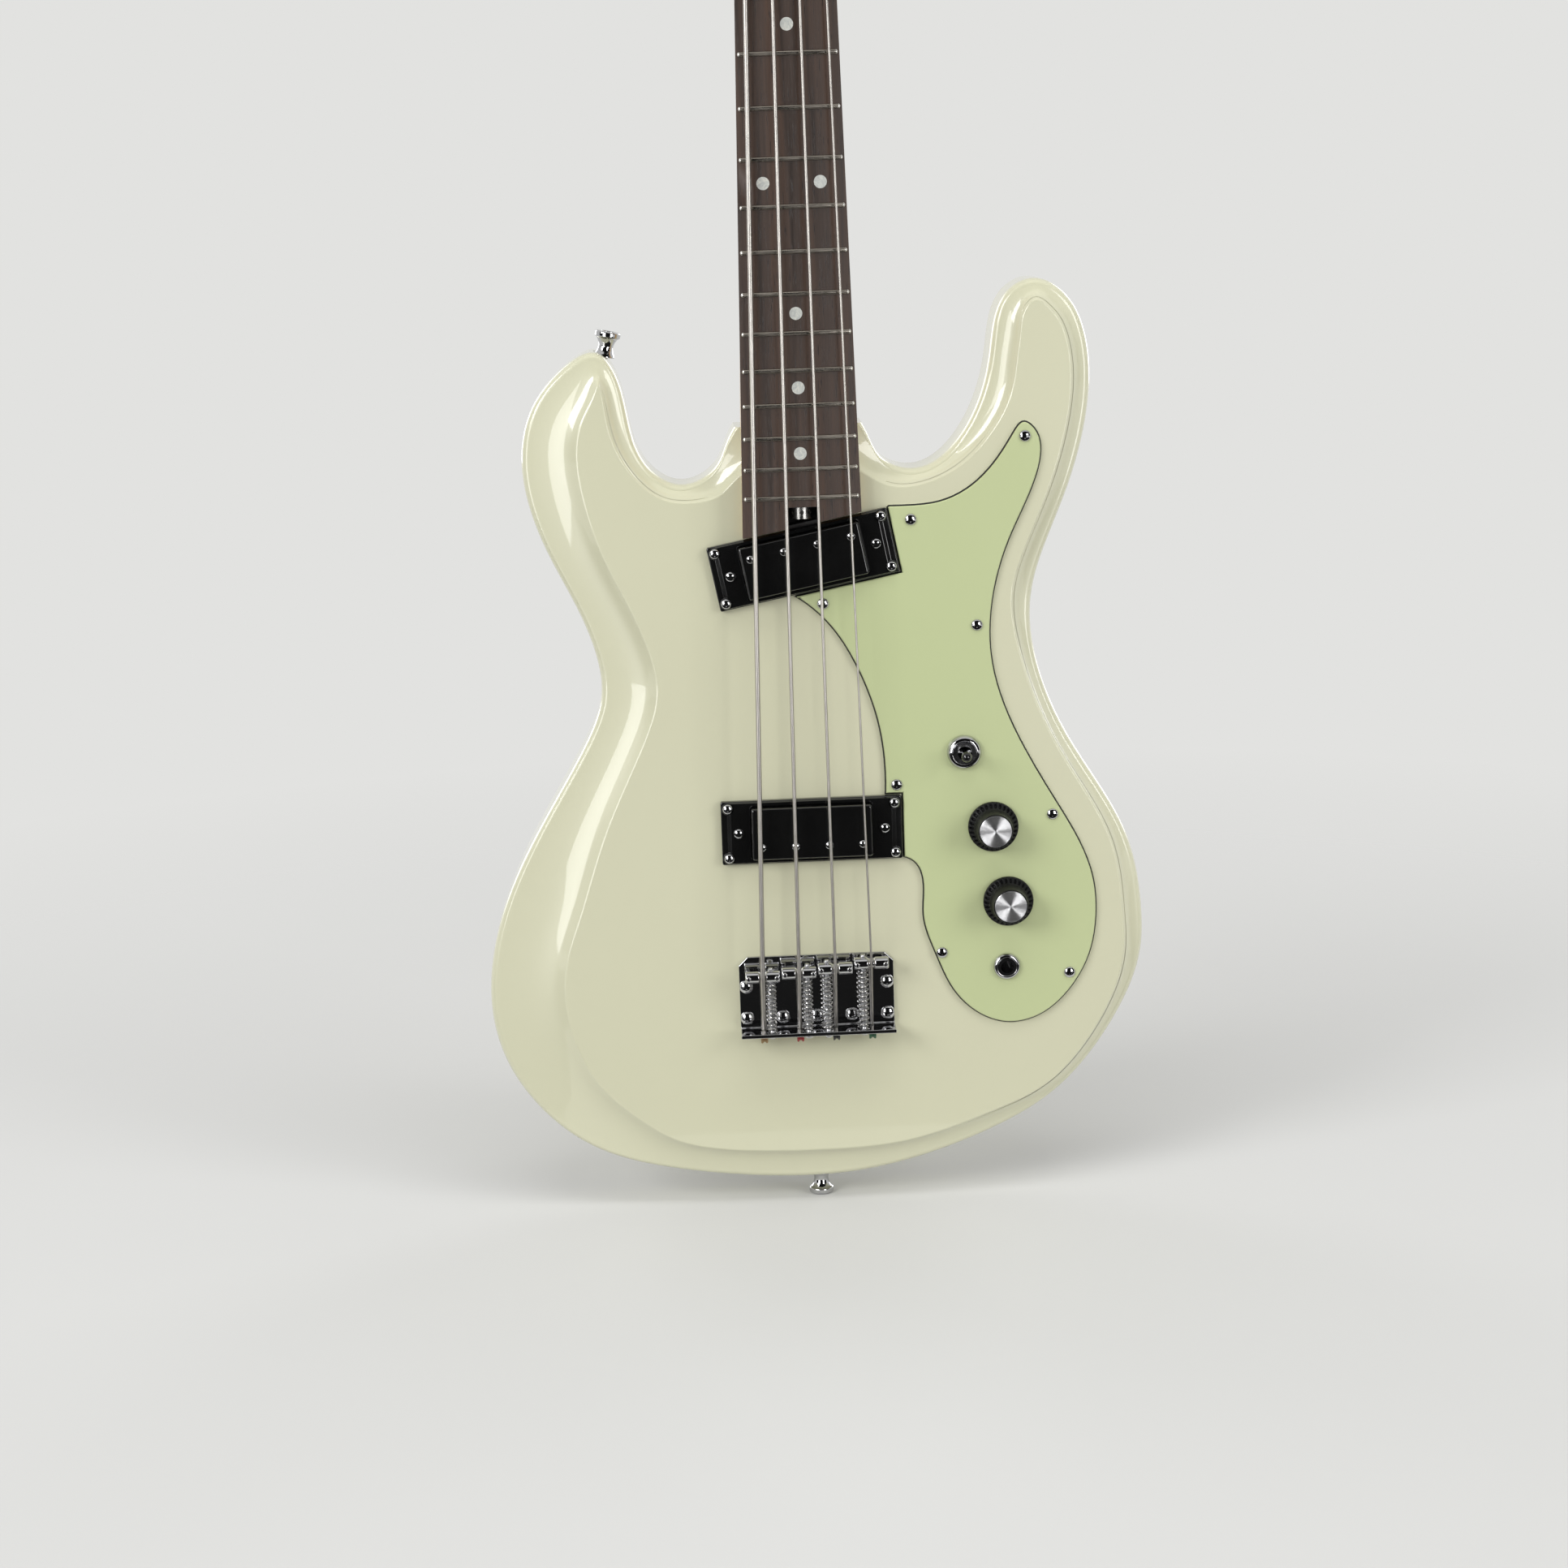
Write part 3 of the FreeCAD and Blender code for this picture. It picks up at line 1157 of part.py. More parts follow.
def tube(edges, radius):
    """A round wire along a smooth run of edges."""
    first = edges[0]
    start = first.Vertexes[0].Point
    section = Part.Wire([Part.makeCircle(radius, start, first.tangentAt(first.FirstParameter))])
    return Part.Wire(edges).makePipeShell([section], True, False)


def turns(point_at, total, step):
    """Biarcs along a winding, given as a point and a direction at each angle."""
    edges = []
    count = round(total / step)
    for i in range(count):
        start, start_way = point_at(total * i / count)
        end, end_way = point_at(total * (i + 1) / count)
        edges += biarc(start, start_way, end, end_way)
    return edges


def turn_gap(point_at, total, radius):
    """Least gap of a winding to itself, over points half a turn or more apart."""
    per_turn = 24
    count = round(total / (2 * math.pi) * per_turn)
    points = [point_at(total * i / count)[0] for i in range(count + 1)]
    pairs = [(p, q) for i, p in enumerate(points) for q in points[i + per_turn // 2:i + 2 * per_turn]]
    return min((p - q).Length for p, q in pairs) - 2 * radius


def string(k):
    radius = STRING_RADII[k]
    total = 2 * math.pi * STRING_TURNS
    start, _ = wrap_point(k, 0.0)
    corners = [ball_point(k), saddle_point(k), nut_point(k), retainer_point(k), lead_point(k), start]
    under_bar = RETAINER_RADIUS + STRING_GAP + radius
    edges = rounded_run(corners, (STRING_BEND, STRING_BEND, under_bar, STRING_LEAD))
    edges += turns(lambda a: wrap_point(k, a), total, math.pi / 2)
    end, way = wrap_point(k, total)
    edges.append(Part.makeLine(end, end + way * 2 * radius))
    print("string %d turn gap %.2f" % (k + 1, turn_gap(lambda a: wrap_point(k, a), total, radius)))
    ball = rod(ball_point(k) - V(BALL_LENGTH / 2, 0, 0), V(1, 0, 0), BALL_RADIUS, BALL_LENGTH)
    return tube(edges, radius).fuse(ball)


def string_rest(k, point, before, after):
    """The room a string needs where it bears on a saddle or the nut."""
    radius = STRING_RADII[k] + STRING_GAP
    reach = SADDLE_RADIUS * 3
    back = rod(point, before - point, radius, reach)
    return back.fuse([rod(point, after - point, radius, reach), Part.makeSphere(radius, point)])


def build_nut():
    half = NUT_WIDTH / 2
    rise = FRET_HEIGHT + ACTION_AT_NUT + NUT_COVER
    block = box(-half, half, CROWN_Y - rise, NECK_TOP_Y, NUT_Z, NUT_Z + NUT_LENGTH).common(board_round(rise))
    return block.cut([string_rest(k, nut_point(k), saddle_point(k), retainer_point(k)) for k in range(4)])


export("nut", build_nut())
for k in range(4):
    export("string_%d" % (k + 1), string(k))


# String retainer: one bent bar on two feet
def string_retainer():
    half = RETAINER_FOOT_HALF_WIDTH
    z = RETAINER_ROW_Z
    foot_y = HEAD_FACE_Y - RETAINER_FOOT
    low_y = HEAD_FACE_Y - RETAINER_FOOT / 2
    corners = [
        V(-RETAINER_HALF_SPAN, low_y, z), V(-RETAINER_HALF_SPAN, RETAINER_BAR_Y, z),
        V(RETAINER_HALF_SPAN, RETAINER_BAR_Y, z), V(RETAINER_HALF_SPAN, low_y, z),
    ]
    bar = tube(rounded_run(corners, (RETAINER_BEND, RETAINER_BEND)), RETAINER_RADIUS)
    feet = []
    for i in (-1, 1):
        x = i * RETAINER_HALF_SPAN
        feet.append(box(x - half, x + half, foot_y, HEAD_FACE_Y, z - half, z + RETAINER_FOOT_REACH))
    return bar.fuse(feet).cut([small_hole(p, INTO_FRONT) for p in retainer_screw_points()])


export("string_retainer", string_retainer())


# Bridge
def length_screw_x(k):
    x = string_x(k, STRING_SPACING_AT_BRIDGE)
    return x - math.copysign(LENGTH_SCREW_OFFSET, x)


def barrel_centre(k):
    top = saddle_point(k)
    return V(top.x, top.y + STRING_RADII[k] + SADDLE_RADIUS - SADDLE_GROOVE, top.z)


def length_screw_start(k):
    return V(length_screw_x(k), barrel_centre(k).y, LIP_Z)


def length_screw_length(k):
    return barrel_centre(k).z + SADDLE_RADIUS + LENGTH_SCREW_PROUD - LIP_Z


def height_screw_points(k):
    centre = barrel_centre(k)
    return [V(centre.x + i * HEIGHT_SCREW_OFFSET, PLATE_Y, centre.z) for i in (-1, 1)]


def height_screw_length(k):
    return PLATE_Y - barrel_centre(k).y + SADDLE_RADIUS + HEIGHT_SCREW_PROUD


def bridge_plate():
    half = BRIDGE_WIDTH / 2
    front = LIP_Z + BRIDGE_LENGTH
    corners = [
        (-half, LIP_Z), (half, LIP_Z), (half, front - BRIDGE_CORNER), (half - BRIDGE_CORNER, front),
        (BRIDGE_CORNER - half, front), (-half, front - BRIDGE_CORNER),
    ]
    lip = box(-half, half, FRONT_Y - BRIDGE_LIP, FRONT_Y, LIP_Z, LIP_Z + BRIDGE_PLATE)
    hole = BRIDGE_SCREW_RADIUS + FIT
    cuts = [rod(p, INTO_FRONT, hole, BRIDGE_SCREW_LENGTH) for p in bridge_screw_points()]
    for k in range(4):
        start = ball_point(k)
        cuts.append(rod(start, saddle_point(k) - start, STRING_RADII[k] + STRING_GAP, BRIDGE_LIP))
        screw_start = length_screw_start(k) - UP
        cuts.append(rod(screw_start, UP, LENGTH_SCREW_RADIUS + STRING_GAP, BRIDGE_PLATE + 2))
    return slab(corners, PLATE_Y, FRONT_Y).fuse(lip).removeSplitter().cut(cuts)


def bridge_saddle(k):
    centre = barrel_centre(k)
    barrel = rod(centre - V(SADDLE_WIDTH / 2, 0, 0), V(1, 0, 0), SADDLE_RADIUS, SADDLE_WIDTH)
    cuts = [string_rest(k, saddle_point(k), ball_point(k), nut_point(k))]
    cuts += [rod(p, INTO_BACK, HEIGHT_SCREW_RADIUS + FIT, BRIDGE_LIP * 2) for p in height_screw_points(k)]
    cuts.append(rod(length_screw_start(k), UP, LENGTH_SCREW_RADIUS + FIT, length_screw_length(k)))
    return barrel.cut(cuts)


def bridge_screw(at):
    return screw(
        BRIDGE_SCREW_HEAD_RADIUS, BRIDGE_SCREW_HEAD, BRIDGE_SCREW_RADIUS, BRIDGE_SCREW_LENGTH,
        at, INTO_FRONT)


def length_screw(k):
    return screw(
        LENGTH_SCREW_HEAD_RADIUS, LENGTH_SCREW_HEAD, LENGTH_SCREW_RADIUS, length_screw_length(k),
        length_screw_start(k), UP)


def length_spring(k):
    """A coil spring between the bridge lip and the barrel saddle, round the length screw."""
    low = LIP_Z + BRIDGE_PLATE + SPRING_WIRE_RADIUS + STRING_GAP
    high = barrel_centre(k).z - SADDLE_RADIUS - SPRING_WIRE_RADIUS - STRING_GAP
    axis = length_screw_start(k)
    radius = LENGTH_SCREW_RADIUS + SPRING_GAP + SPRING_WIRE_RADIUS
    total = 2 * math.pi * SPRING_CURLS
    tail = 2 * SPRING_WIRE_RADIUS
    lift = (high - low) / (total + 2 * tail / radius)

    def point_at(a):
        way = V(-radius * math.sin(a), radius * math.cos(a), lift)
        rise = low + lift * (a + tail / radius)
        at = V(axis.x + radius * math.cos(a), axis.y + radius * math.sin(a), rise)
        return at, way.normalize()

    start, start_way = point_at(0.0)
    end, end_way = point_at(total)
    edges = [Part.makeLine(start - start_way * tail, start)] + turns(point_at, total, math.pi)
    edges.append(Part.makeLine(end, end + end_way * tail))
    print("spring %d turn gap %.2f" % (k + 1, turn_gap(point_at, total, SPRING_WIRE_RADIUS)))
    return tube(edges, SPRING_WIRE_RADIUS)


height_screws = []
for k in range(4):
    length = height_screw_length(k)
    height_screws += [rod(p, INTO_BACK, HEIGHT_SCREW_RADIUS, length) for p in height_screw_points(k)]
export("bridge_plate", bridge_plate())
export("bridge_screws", group([bridge_screw(p) for p in bridge_screw_points()]))
export("bridge_saddles", group([bridge_saddle(k) for k in range(4)]))
export("saddle_height_screws", group(height_screws))
export("intonation_screws", group([length_screw(k) for k in range(4)]))
export("intonation_springs", group([length_spring(k) for k in range(4)]))


# Pickups
COVER_TOP_Y = FRONT_Y - COVER_HEIGHT
COVER_LOW_Y = FRONT_Y + COVER_DROP
BASE_LOW_Y = COVER_LOW_Y + BASE_PLATE


def top_edges(shape, y):
    """The edges of a piece that lie in its front face."""
    return [e for e in shape.Edges if all(abs(v.Point.y - y) < FIT for v in e.Vertexes)]


def pole_points(middle, slant, side):
    xs = [n * POLE_SPACING for n in STRING_SIDES]
    return [pickup_point(u, side * POLE_OFFSET, COVER_TOP_Y, middle, slant) for u in xs]


def pickup_ring(middle, slant):
    block = pickup_block(PICKUP_LENGTH, PICKUP_WIDTH, RING_Y, FRONT_Y, middle, slant)
    block = block.makeChamfer(PICKUP_BEVEL, top_edges(block, RING_Y))
    length = COVER_LENGTH + 2 * COVER_GAP
    width = COVER_WIDTH + 2 * COVER_GAP
    cuts = [pickup_block(length, width, RING_Y - 1, FRONT_Y + 1, middle, slant)]
    cuts += [small_hole(p, INTO_FRONT) for p in pickup_screw_points(middle, slant, RING_Y)]
    radius = HEIGHT_ADJUST_RADIUS + FIT
    points = height_adjust_points(middle, slant, RING_Y)
    cuts += [rod(p, INTO_FRONT, radius, HEIGHT_ADJUST_LENGTH) for p in points]
    return block.cut(cuts)


def pickup_cover(middle, slant, side):
    block = pickup_block(COVER_LENGTH, COVER_WIDTH, COVER_TOP_Y, COVER_LOW_Y, middle, slant)
    block = block.makeFillet(COVER_ROUND, top_edges(block, COVER_TOP_Y))
    length = COVER_LENGTH - 2 * COVER_WALL
    width = COVER_WIDTH - 2 * COVER_WALL
    cuts = [pickup_block(length, width, COVER_TOP_Y + COVER_WALL, COVER_LOW_Y + 1, middle, slant)]
    cuts += [rod(p, INTO_FRONT, POLE_RADIUS + FIT, POLE_DEPTH) for p in pole_points(middle, slant, side)]
    return block.cut(cuts)


def pickup_coil(middle, slant, side):
    """Base plate with two ears, coil and bar magnet, as three pieces."""
    base = pickup_block(COVER_LENGTH, BASE_PLATE_WIDTH, COVER_LOW_Y, BASE_LOW_Y, middle, slant)
    base = base.fuse(pickup_block(BASE_PLATE_LENGTH, BASE_EAR_WIDTH, COVER_LOW_Y, BASE_LOW_Y, middle, slant))
    run = HEIGHT_ADJUST_RADIUS + HEIGHT_ADJUST_RUN
    points = height_adjust_points(middle, slant, RING_Y)
    base = base.removeSplitter().cut([rod(p, INTO_FRONT, run, HEIGHT_ADJUST_LENGTH) for p in points])
    length = COVER_LENGTH - 2 * COVER_WALL - 2 * COIL_MARGIN
    width = COVER_WIDTH - 2 * COVER_WALL - 2 * COIL_MARGIN
    coil = pickup_block(length, width, COVER_TOP_Y + COVER_WALL, COVER_LOW_Y, middle, slant)
    poles = pole_points(middle, slant, side)
    coil = coil.cut([rod(p, INTO_FRONT, POLE_RADIUS + FIT, POLE_DEPTH) for p in poles])
    magnet = pickup_block(length, MAGNET_WIDTH, BASE_LOW_Y, BASE_LOW_Y + MAGNET_THICKNESS, middle, slant)
    return group([base, coil, magnet])


def pole_screw(at):
    profile = [
        (0, -POLE_DEPTH), (POLE_RADIUS, -POLE_DEPTH), (POLE_RADIUS, POLE_PROUD * 0.35),
        (POLE_RADIUS * 0.8, POLE_PROUD * 0.75), (POLE_RADIUS * 0.45, POLE_PROUD), (0, POLE_PROUD),
    ]
    return turned(profile, at, INTO_BACK)


def height_adjust_screw(at, slant):
    """A slotted screw through the ring into the base plate."""
    radius = HEIGHT_ADJUST_HEAD_RADIUS
    head = HEIGHT_ADJUST_HEAD
    profile = [
        (0, -head), (radius * 0.8, -head), (radius, -head * 0.5), (radius, 0), (HEIGHT_ADJUST_RADIUS, 0),
        (HEIGHT_ADJUST_RADIUS, HEIGHT_ADJUST_LENGTH), (0, HEIGHT_ADJUST_LENGTH),
    ]
    piece = turned(profile, at, INTO_FRONT)
    width = radius * 0.18
    slot = box(at.x - radius, at.x + radius, at.y - head, at.y - head / 2, at.z - width, at.z + width)
    slot.rotate(at, INTO_BACK, slant)
    return piece.cut(slot)


adjusters = []
for name, middle, slant, side in PICKUPS:
    export(name + "_pickup_ring", pickup_ring(middle, slant))
    export(name + "_pickup_cover", pickup_cover(middle, slant, side))
    export(name + "_pickup_coil", pickup_coil(middle, slant, side))
    export(name + "_pole_screws", group([pole_screw(p) for p in pole_points(middle, slant, side)]))
    adjusters += [height_adjust_screw(p, slant) for p in height_adjust_points(middle, slant, RING_Y)]
export("pickup_height_screws", group(adjusters))


# Pickguard, cut round both pickups
def spline_runs(points):
    """A smooth curve through points, as one edge from each point to the next."""
    curve = Part.BSplineCurve()
    curve.interpolate(points)
    knots = curve.getKnots()
    return [curve.toShape(knots[i], knots[i + 1]) for i in range(len(knots) - 1)]


def control_point(place_at, y):
    return V(place_at[0], y, SADDLE_Z + place_at[1])


def pickguard():
    outer = [V(x, GUARD_Y, z) for x, z in from_saddles(GUARD_OUTER)]
    inner = [V(x, GUARD_Y, z) for x, z in from_saddles(GUARD_INNER)]
    behind = from_saddles([GUARD_BEHIND_BRIDGE_PICKUP, GUARD_BEHIND_NECK_PICKUP])
    low, high = [V(x, GUARD_Y, z) for x, z in behind]
    edges = spline_runs(outer) + [Part.makeLine(outer[-1], low), Part.makeLine(low, inner[0])]
    edges += spline_runs(inner) + [Part.makeLine(inner[-1], high), Part.makeLine(high, outer[0])]
    guard = Part.Face(Part.Wire(edges)).extrude(V(0, GUARD_THICKNESS, 0))
    cuts = [small_hole(p, INTO_FRONT) for p in guard_screw_points()]
    for _, middle, slant, _ in PICKUPS:
        length = PICKUP_LENGTH + 2 * GUARD_GAP
        width = PICKUP_WIDTH + 2 * GUARD_GAP
        cuts.append(pickup_block(length, width, GUARD_Y - 1, FRONT_Y + 1, middle, slant))
    bushings = (
        (VOLUME_AT, POT_BUSHING_RADIUS), (TONE_AT, POT_BUSHING_RADIUS),
        (SWITCH_AT, SWITCH_BUSHING_RADIUS), (JACK_AT, JACK_THREAD_RADIUS),
    )
    for at, radius in bushings:
        cuts.append(rod(control_point(at, GUARD_Y - 1), INTO_FRONT, radius + FIT, GUARD_THICKNESS + 2))
    return guard.cut(cuts)


export("pickguard", pickguard())


# Volume and tone controls
KNOB_LOW_Y = GUARD_Y - KNOB_GAP
SHAFT_GRIP = KNOB_HEIGHT - CAP_THICKNESS - KNOB_GAP


def potentiometer(at):
    can = rod(control_point(at, FRONT_Y), INTO_FRONT, POT_CAN_RADIUS, POT_CAN)
    length = GUARD_THICKNESS + POT_BUSHING_PROUD
    bushing = rod(control_point(at, FRONT_Y), INTO_BACK, POT_BUSHING_RADIUS, length)
    bore_start = control_point(at, FRONT_Y + POT_CAN / 2)
    bore = rod(bore_start, INTO_BACK, POT_SHAFT_RADIUS + POT_SHAFT_RUN, POT_CAN + length)
    return can.fuse(bushing).cut(bore)


def control_shaft(at):
    low = FRONT_Y + POT_CAN / 2 - KNOB_GAP
    return rod(control_point(at, low), INTO_BACK, POT_SHAFT_RADIUS, low - KNOB_LOW_Y + SHAFT_GRIP)


def control_knob(at):
    bore = POT_SHAFT_RADIUS + FIT
    seat = KNOB_HEIGHT - CAP_THICKNESS
    rim = CAP_RADIUS + FIT
    profile = [
        (KNOB_RECESS_RADIUS, 0), (KNOB_RADIUS, 0), (KNOB_RADIUS, KNOB_SKIRT * 0.35),
        (KNOB_RADIUS - KNOB_SKIRT * 0.25, KNOB_SKIRT),
        (KNOB_BARREL_RADIUS + KNOB_SKIRT * 0.2, KNOB_SKIRT * 1.3),
        (KNOB_BARREL_RADIUS, KNOB_SKIRT * 1.55), (KNOB_TOP_RADIUS, KNOB_HEIGHT - CAP_THICKNESS / 2),
        (KNOB_TOP_RADIUS - CAP_THICKNESS / 3, KNOB_HEIGHT), (rim, KNOB_HEIGHT), (rim, seat), (0, seat),
        (0, SHAFT_GRIP), (bore, SHAFT_GRIP), (bore, KNOB_RECESS), (KNOB_RECESS_RADIUS, KNOB_RECESS),
    ]
    return turned(profile, control_point(at, KNOB_LOW_Y), INTO_BACK)


def knob_cap(at):
    profile = [
        (0, 0), (CAP_RADIUS, 0), (CAP_RADIUS, CAP_THICKNESS * 0.8),
        (CAP_RADIUS - CAP_THICKNESS / 2, CAP_THICKNESS), (0, CAP_THICKNESS),
    ]
    return turned(profile, control_point(at, KNOB_LOW_Y - KNOB_HEIGHT + CAP_THICKNESS), INTO_BACK)


export("potentiometers", group([potentiometer(at) for at in (VOLUME_AT, TONE_AT)]))
for name, at in (("volume", VOLUME_AT), ("tone", TONE_AT)):
    export(name + "_shaft", control_shaft(at))
    export(name + "_knob", control_knob(at))
    export(name + "_cap", knob_cap(at))


# Selector switch
SWITCH_TOP_Y = GUARD_Y - SWITCH_BUSHING_PROUD
PIVOT_Y = SWITCH_TOP_Y + SWITCH_PIVOT_DEPTH
LEVER_TAIL = SWITCH_PIVOT_DEPTH / 2
PIN_HALF = (SWITCH_BORE_RADIUS + SWITCH_BUSHING_RADIUS * 2) / 3


def switch_body():
    half = SWITCH_BODY_WIDTH / 2
    x = SWITCH_AT[0]
    z = SADDLE_Z + SWITCH_AT[1]
    block = box(x - half, x + half, FRONT_Y, FRONT_Y + SWITCH_BODY_DEPTH, z - half, z + half)
    bushing = rod(V(x, FRONT_Y, z), INTO_BACK, SWITCH_BUSHING_RADIUS, FRONT_Y - SWITCH_TOP_Y)
    depth = SWITCH_PIVOT_DEPTH + LEVER_TAIL * 1.5
    bore = rod(V(x, SWITCH_TOP_Y, z), INTO_FRONT, SWITCH_BORE_RADIUS, depth)
    reach = PIN_HALF + LEVER_PIN_RUN
    pin = rod(V(x - reach, PIVOT_Y, z), V(1, 0, 0), LEVER_PIN_RADIUS + LEVER_PIN_RUN, 2 * reach)
    return block.fuse(bushing).cut([bore, pin])


def switch_lever():
    pivot = control_point(SWITCH_AT, PIVOT_Y)
    length = SWITCH_PIVOT_DEPTH + LEVER_REACH
    stem = rod(pivot, INTO_BACK, LEVER_RADIUS, length)
    tip = Part.makeSphere(LEVER_TIP_RADIUS, pivot + INTO_BACK * length)
    tail = rod(pivot, INTO_FRONT, LEVER_RADIUS * 0.8, LEVER_TAIL)
    pin = rod(pivot - V(PIN_HALF, 0, 0), V(1, 0, 0), LEVER_PIN_RADIUS, 2 * PIN_HALF)
    return stem.fuse([tip, tail, pin])


export("switch_body", switch_body())
export("switch_lever", switch_lever())


# Output jack
JACK_LENGTH = JACK_PROUD + GUARD_THICKNESS + JACK_BODY_DEPTH
JACK_BASE = 1.0


def output_jack():
    at = control_point(JACK_AT, FRONT_Y)
    body = rod(at, INTO_FRONT, JACK_BODY_RADIUS, JACK_BODY_DEPTH)
    thread = rod(at, INTO_BACK, JACK_THREAD_RADIUS, GUARD_THICKNESS + JACK_PROUD)
    bore = rod(at + INTO_FRONT * (JACK_BODY_DEPTH - JACK_BASE), INTO_BACK, JACK_BORE_RADIUS, JACK_LENGTH)
    return body.fuse(thread).cut(bore)


def ring_nut(at, bore, outer, height):
    """A domed round nut."""
    profile = [
        (bore + FIT, 0), (outer, 0), (outer, height * 0.45), (outer - height * 0.25, height * 0.85),
        (outer - height * 0.5, height), (bore + FIT, height),
    ]
    return turned(profile, control_point(at, GUARD_Y), INTO_BACK)


def hex_nut(at, bore, outer, height):
    corners = [V(outer * math.cos(math.pi * i / 3), outer * math.sin(math.pi * i / 3), 0) for i in range(6)]
    block = Part.Face(Part.makePolygon(corners + corners[:1])).extrude(V(0, 0, height))
    block = block.cut(Part.makeCylinder(bore + FIT, height))
    return place(block, control_point(at, GUARD_Y), INTO_BACK)


export("output_jack", output_jack())
export("panel_nuts", group([
    ring_nut(SWITCH_AT, SWITCH_BUSHING_RADIUS, SWITCH_NUT_RADIUS, SWITCH_NUT),
    ring_nut(JACK_AT, JACK_THREAD_RADIUS, JACK_NUT_RADIUS, JACK_NUT),
    hex_nut(VOLUME_AT, POT_BUSHING_RADIUS, POT_NUT_RADIUS, POT_NUT),
    hex_nut(TONE_AT, POT_BUSHING_RADIUS, POT_NUT_RADIUS, POT_NUT),
]))


# Wiring inside the body
def wire(points):
    return tube(rounded_run(points, [WIRE_BEND] * (len(points) - 2)), WIRE_RADIUS)


def looped_wire(start_at, start_depth, end_at, end_depth, shift):
    """A wire that drops from one control, crosses the cavity and rises to the next."""
    floor = FRONT_Y + CAVITY_DEPTH - WIRE_BEND * 2
    aside = V(shift, 0, 0)
    a = control_point(start_at, FRONT_Y + start_depth) + aside
    b = control_point(end_at, FRONT_Y + end_depth) + aside
    return wire([a, V(a.x, floor, a.z), V(b.x, floor, b.z), b])


def pickup_lead():
    """The pickups' lead, along the channels to the side of the switch."""
    y = FRONT_Y + WIRE_DEPTH
    x = SWITCH_AT[0]
    z = SADDLE_Z + BRIDGE_PICKUP_Z + CHANNEL_OFFSET
    switch_side = SADDLE_Z + SWITCH_AT[1] - SWITCH_BODY_WIDTH / 2
    start = V(CHANNEL_X, y, SADDLE_Z + NECK_PICKUP_Z)
    return wire([start, V(CHANNEL_X, y, z), V(x, y, z), V(x, y, switch_side)])


export("wiring", group([
    looped_wire(SWITCH_AT, SWITCH_BODY_DEPTH, VOLUME_AT, POT_CAN, WIRE_BEND),
    looped_wire(VOLUME_AT, POT_CAN, TONE_AT, POT_CAN, 0.0),
    looped_wire(TONE_AT, POT_CAN, JACK_AT, JACK_BODY_DEPTH, -WIRE_BEND),
    pickup_lead(),
]))


# Neck plate and the screws that hold things to the wood
def neck_plate():
    half = NECK_PLATE_WIDTH / 2
    low = SADDLE_Z + NECK_PLATE_Z - NECK_PLATE_HEIGHT / 2
    plate = box(-half, half, BACK_Y, BACK_Y + NECK_PLATE, low, low + NECK_PLATE_HEIGHT)
    corners = [e for e in plate.Edges if abs(e.Length - NECK_PLATE) < FIT]
    plate = plate.makeFillet(NECK_PLATE_CORNER, corners)
    radius = NECK_SCREW_RADIUS + FIT
    return plate.cut([rod(p, INTO_BACK, radius, NECK_SCREW_LENGTH) for p in neck_screw_points()])


def neck_screw(at):
    return screw(
        NECK_SCREW_HEAD_RADIUS, NECK_SCREW_HEAD, NECK_SCREW_RADIUS, NECK_SCREW_LENGTH, at, INTO_BACK)


front_points = guard_screw_points() + retainer_screw_points()
for _, middle, slant, _ in PICKUPS:
    front_points += pickup_screw_points(middle, slant, RING_Y)
small_screws = [small_screw(p, INTO_FRONT) for p in front_points]
small_screws += [small_screw(p, INTO_BACK) for p in tuner_screw_points()]
export("neck_plate", neck_plate())
export("neck_plate_screws", group([neck_screw(p) for p in neck_screw_points()]))
export("small_wood_screws", group(small_screws))
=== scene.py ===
import math

import bmesh
import bpy
import numpy as np
from bpy.props import FloatProperty, FloatVectorProperty, IntProperty, PointerProperty
from mathutils import Matrix, Vector
from mathutils.geometry import tessellate_polygon


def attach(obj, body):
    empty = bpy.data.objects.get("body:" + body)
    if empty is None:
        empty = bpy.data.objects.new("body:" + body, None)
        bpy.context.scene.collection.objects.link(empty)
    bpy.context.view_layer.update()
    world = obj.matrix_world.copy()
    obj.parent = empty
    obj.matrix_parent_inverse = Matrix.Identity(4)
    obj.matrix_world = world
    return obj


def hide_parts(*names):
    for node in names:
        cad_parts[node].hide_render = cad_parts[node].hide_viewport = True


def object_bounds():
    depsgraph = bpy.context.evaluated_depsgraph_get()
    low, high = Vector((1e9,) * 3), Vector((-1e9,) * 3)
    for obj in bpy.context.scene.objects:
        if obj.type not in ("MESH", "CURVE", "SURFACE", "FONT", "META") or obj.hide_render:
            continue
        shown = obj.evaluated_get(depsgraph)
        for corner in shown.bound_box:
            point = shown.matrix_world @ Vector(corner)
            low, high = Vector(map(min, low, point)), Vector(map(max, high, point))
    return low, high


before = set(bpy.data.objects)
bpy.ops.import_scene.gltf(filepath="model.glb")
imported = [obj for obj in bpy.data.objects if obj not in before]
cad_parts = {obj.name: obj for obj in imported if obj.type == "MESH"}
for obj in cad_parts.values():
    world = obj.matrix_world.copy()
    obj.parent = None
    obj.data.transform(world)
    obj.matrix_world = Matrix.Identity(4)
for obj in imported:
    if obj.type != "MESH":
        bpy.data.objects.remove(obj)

bl_info = {
    "name": "Electric Bass Finisher",
    "version": (1, 0, 0),
    "blender": (4, 5, 0),
    "location": "3D View > Sidebar > Bass",
    "description": "Builds the finished pieces of an electric bass guitar over its packed solids",
    "category": "Object",
}

SOLID_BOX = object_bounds()
MM = 0.001

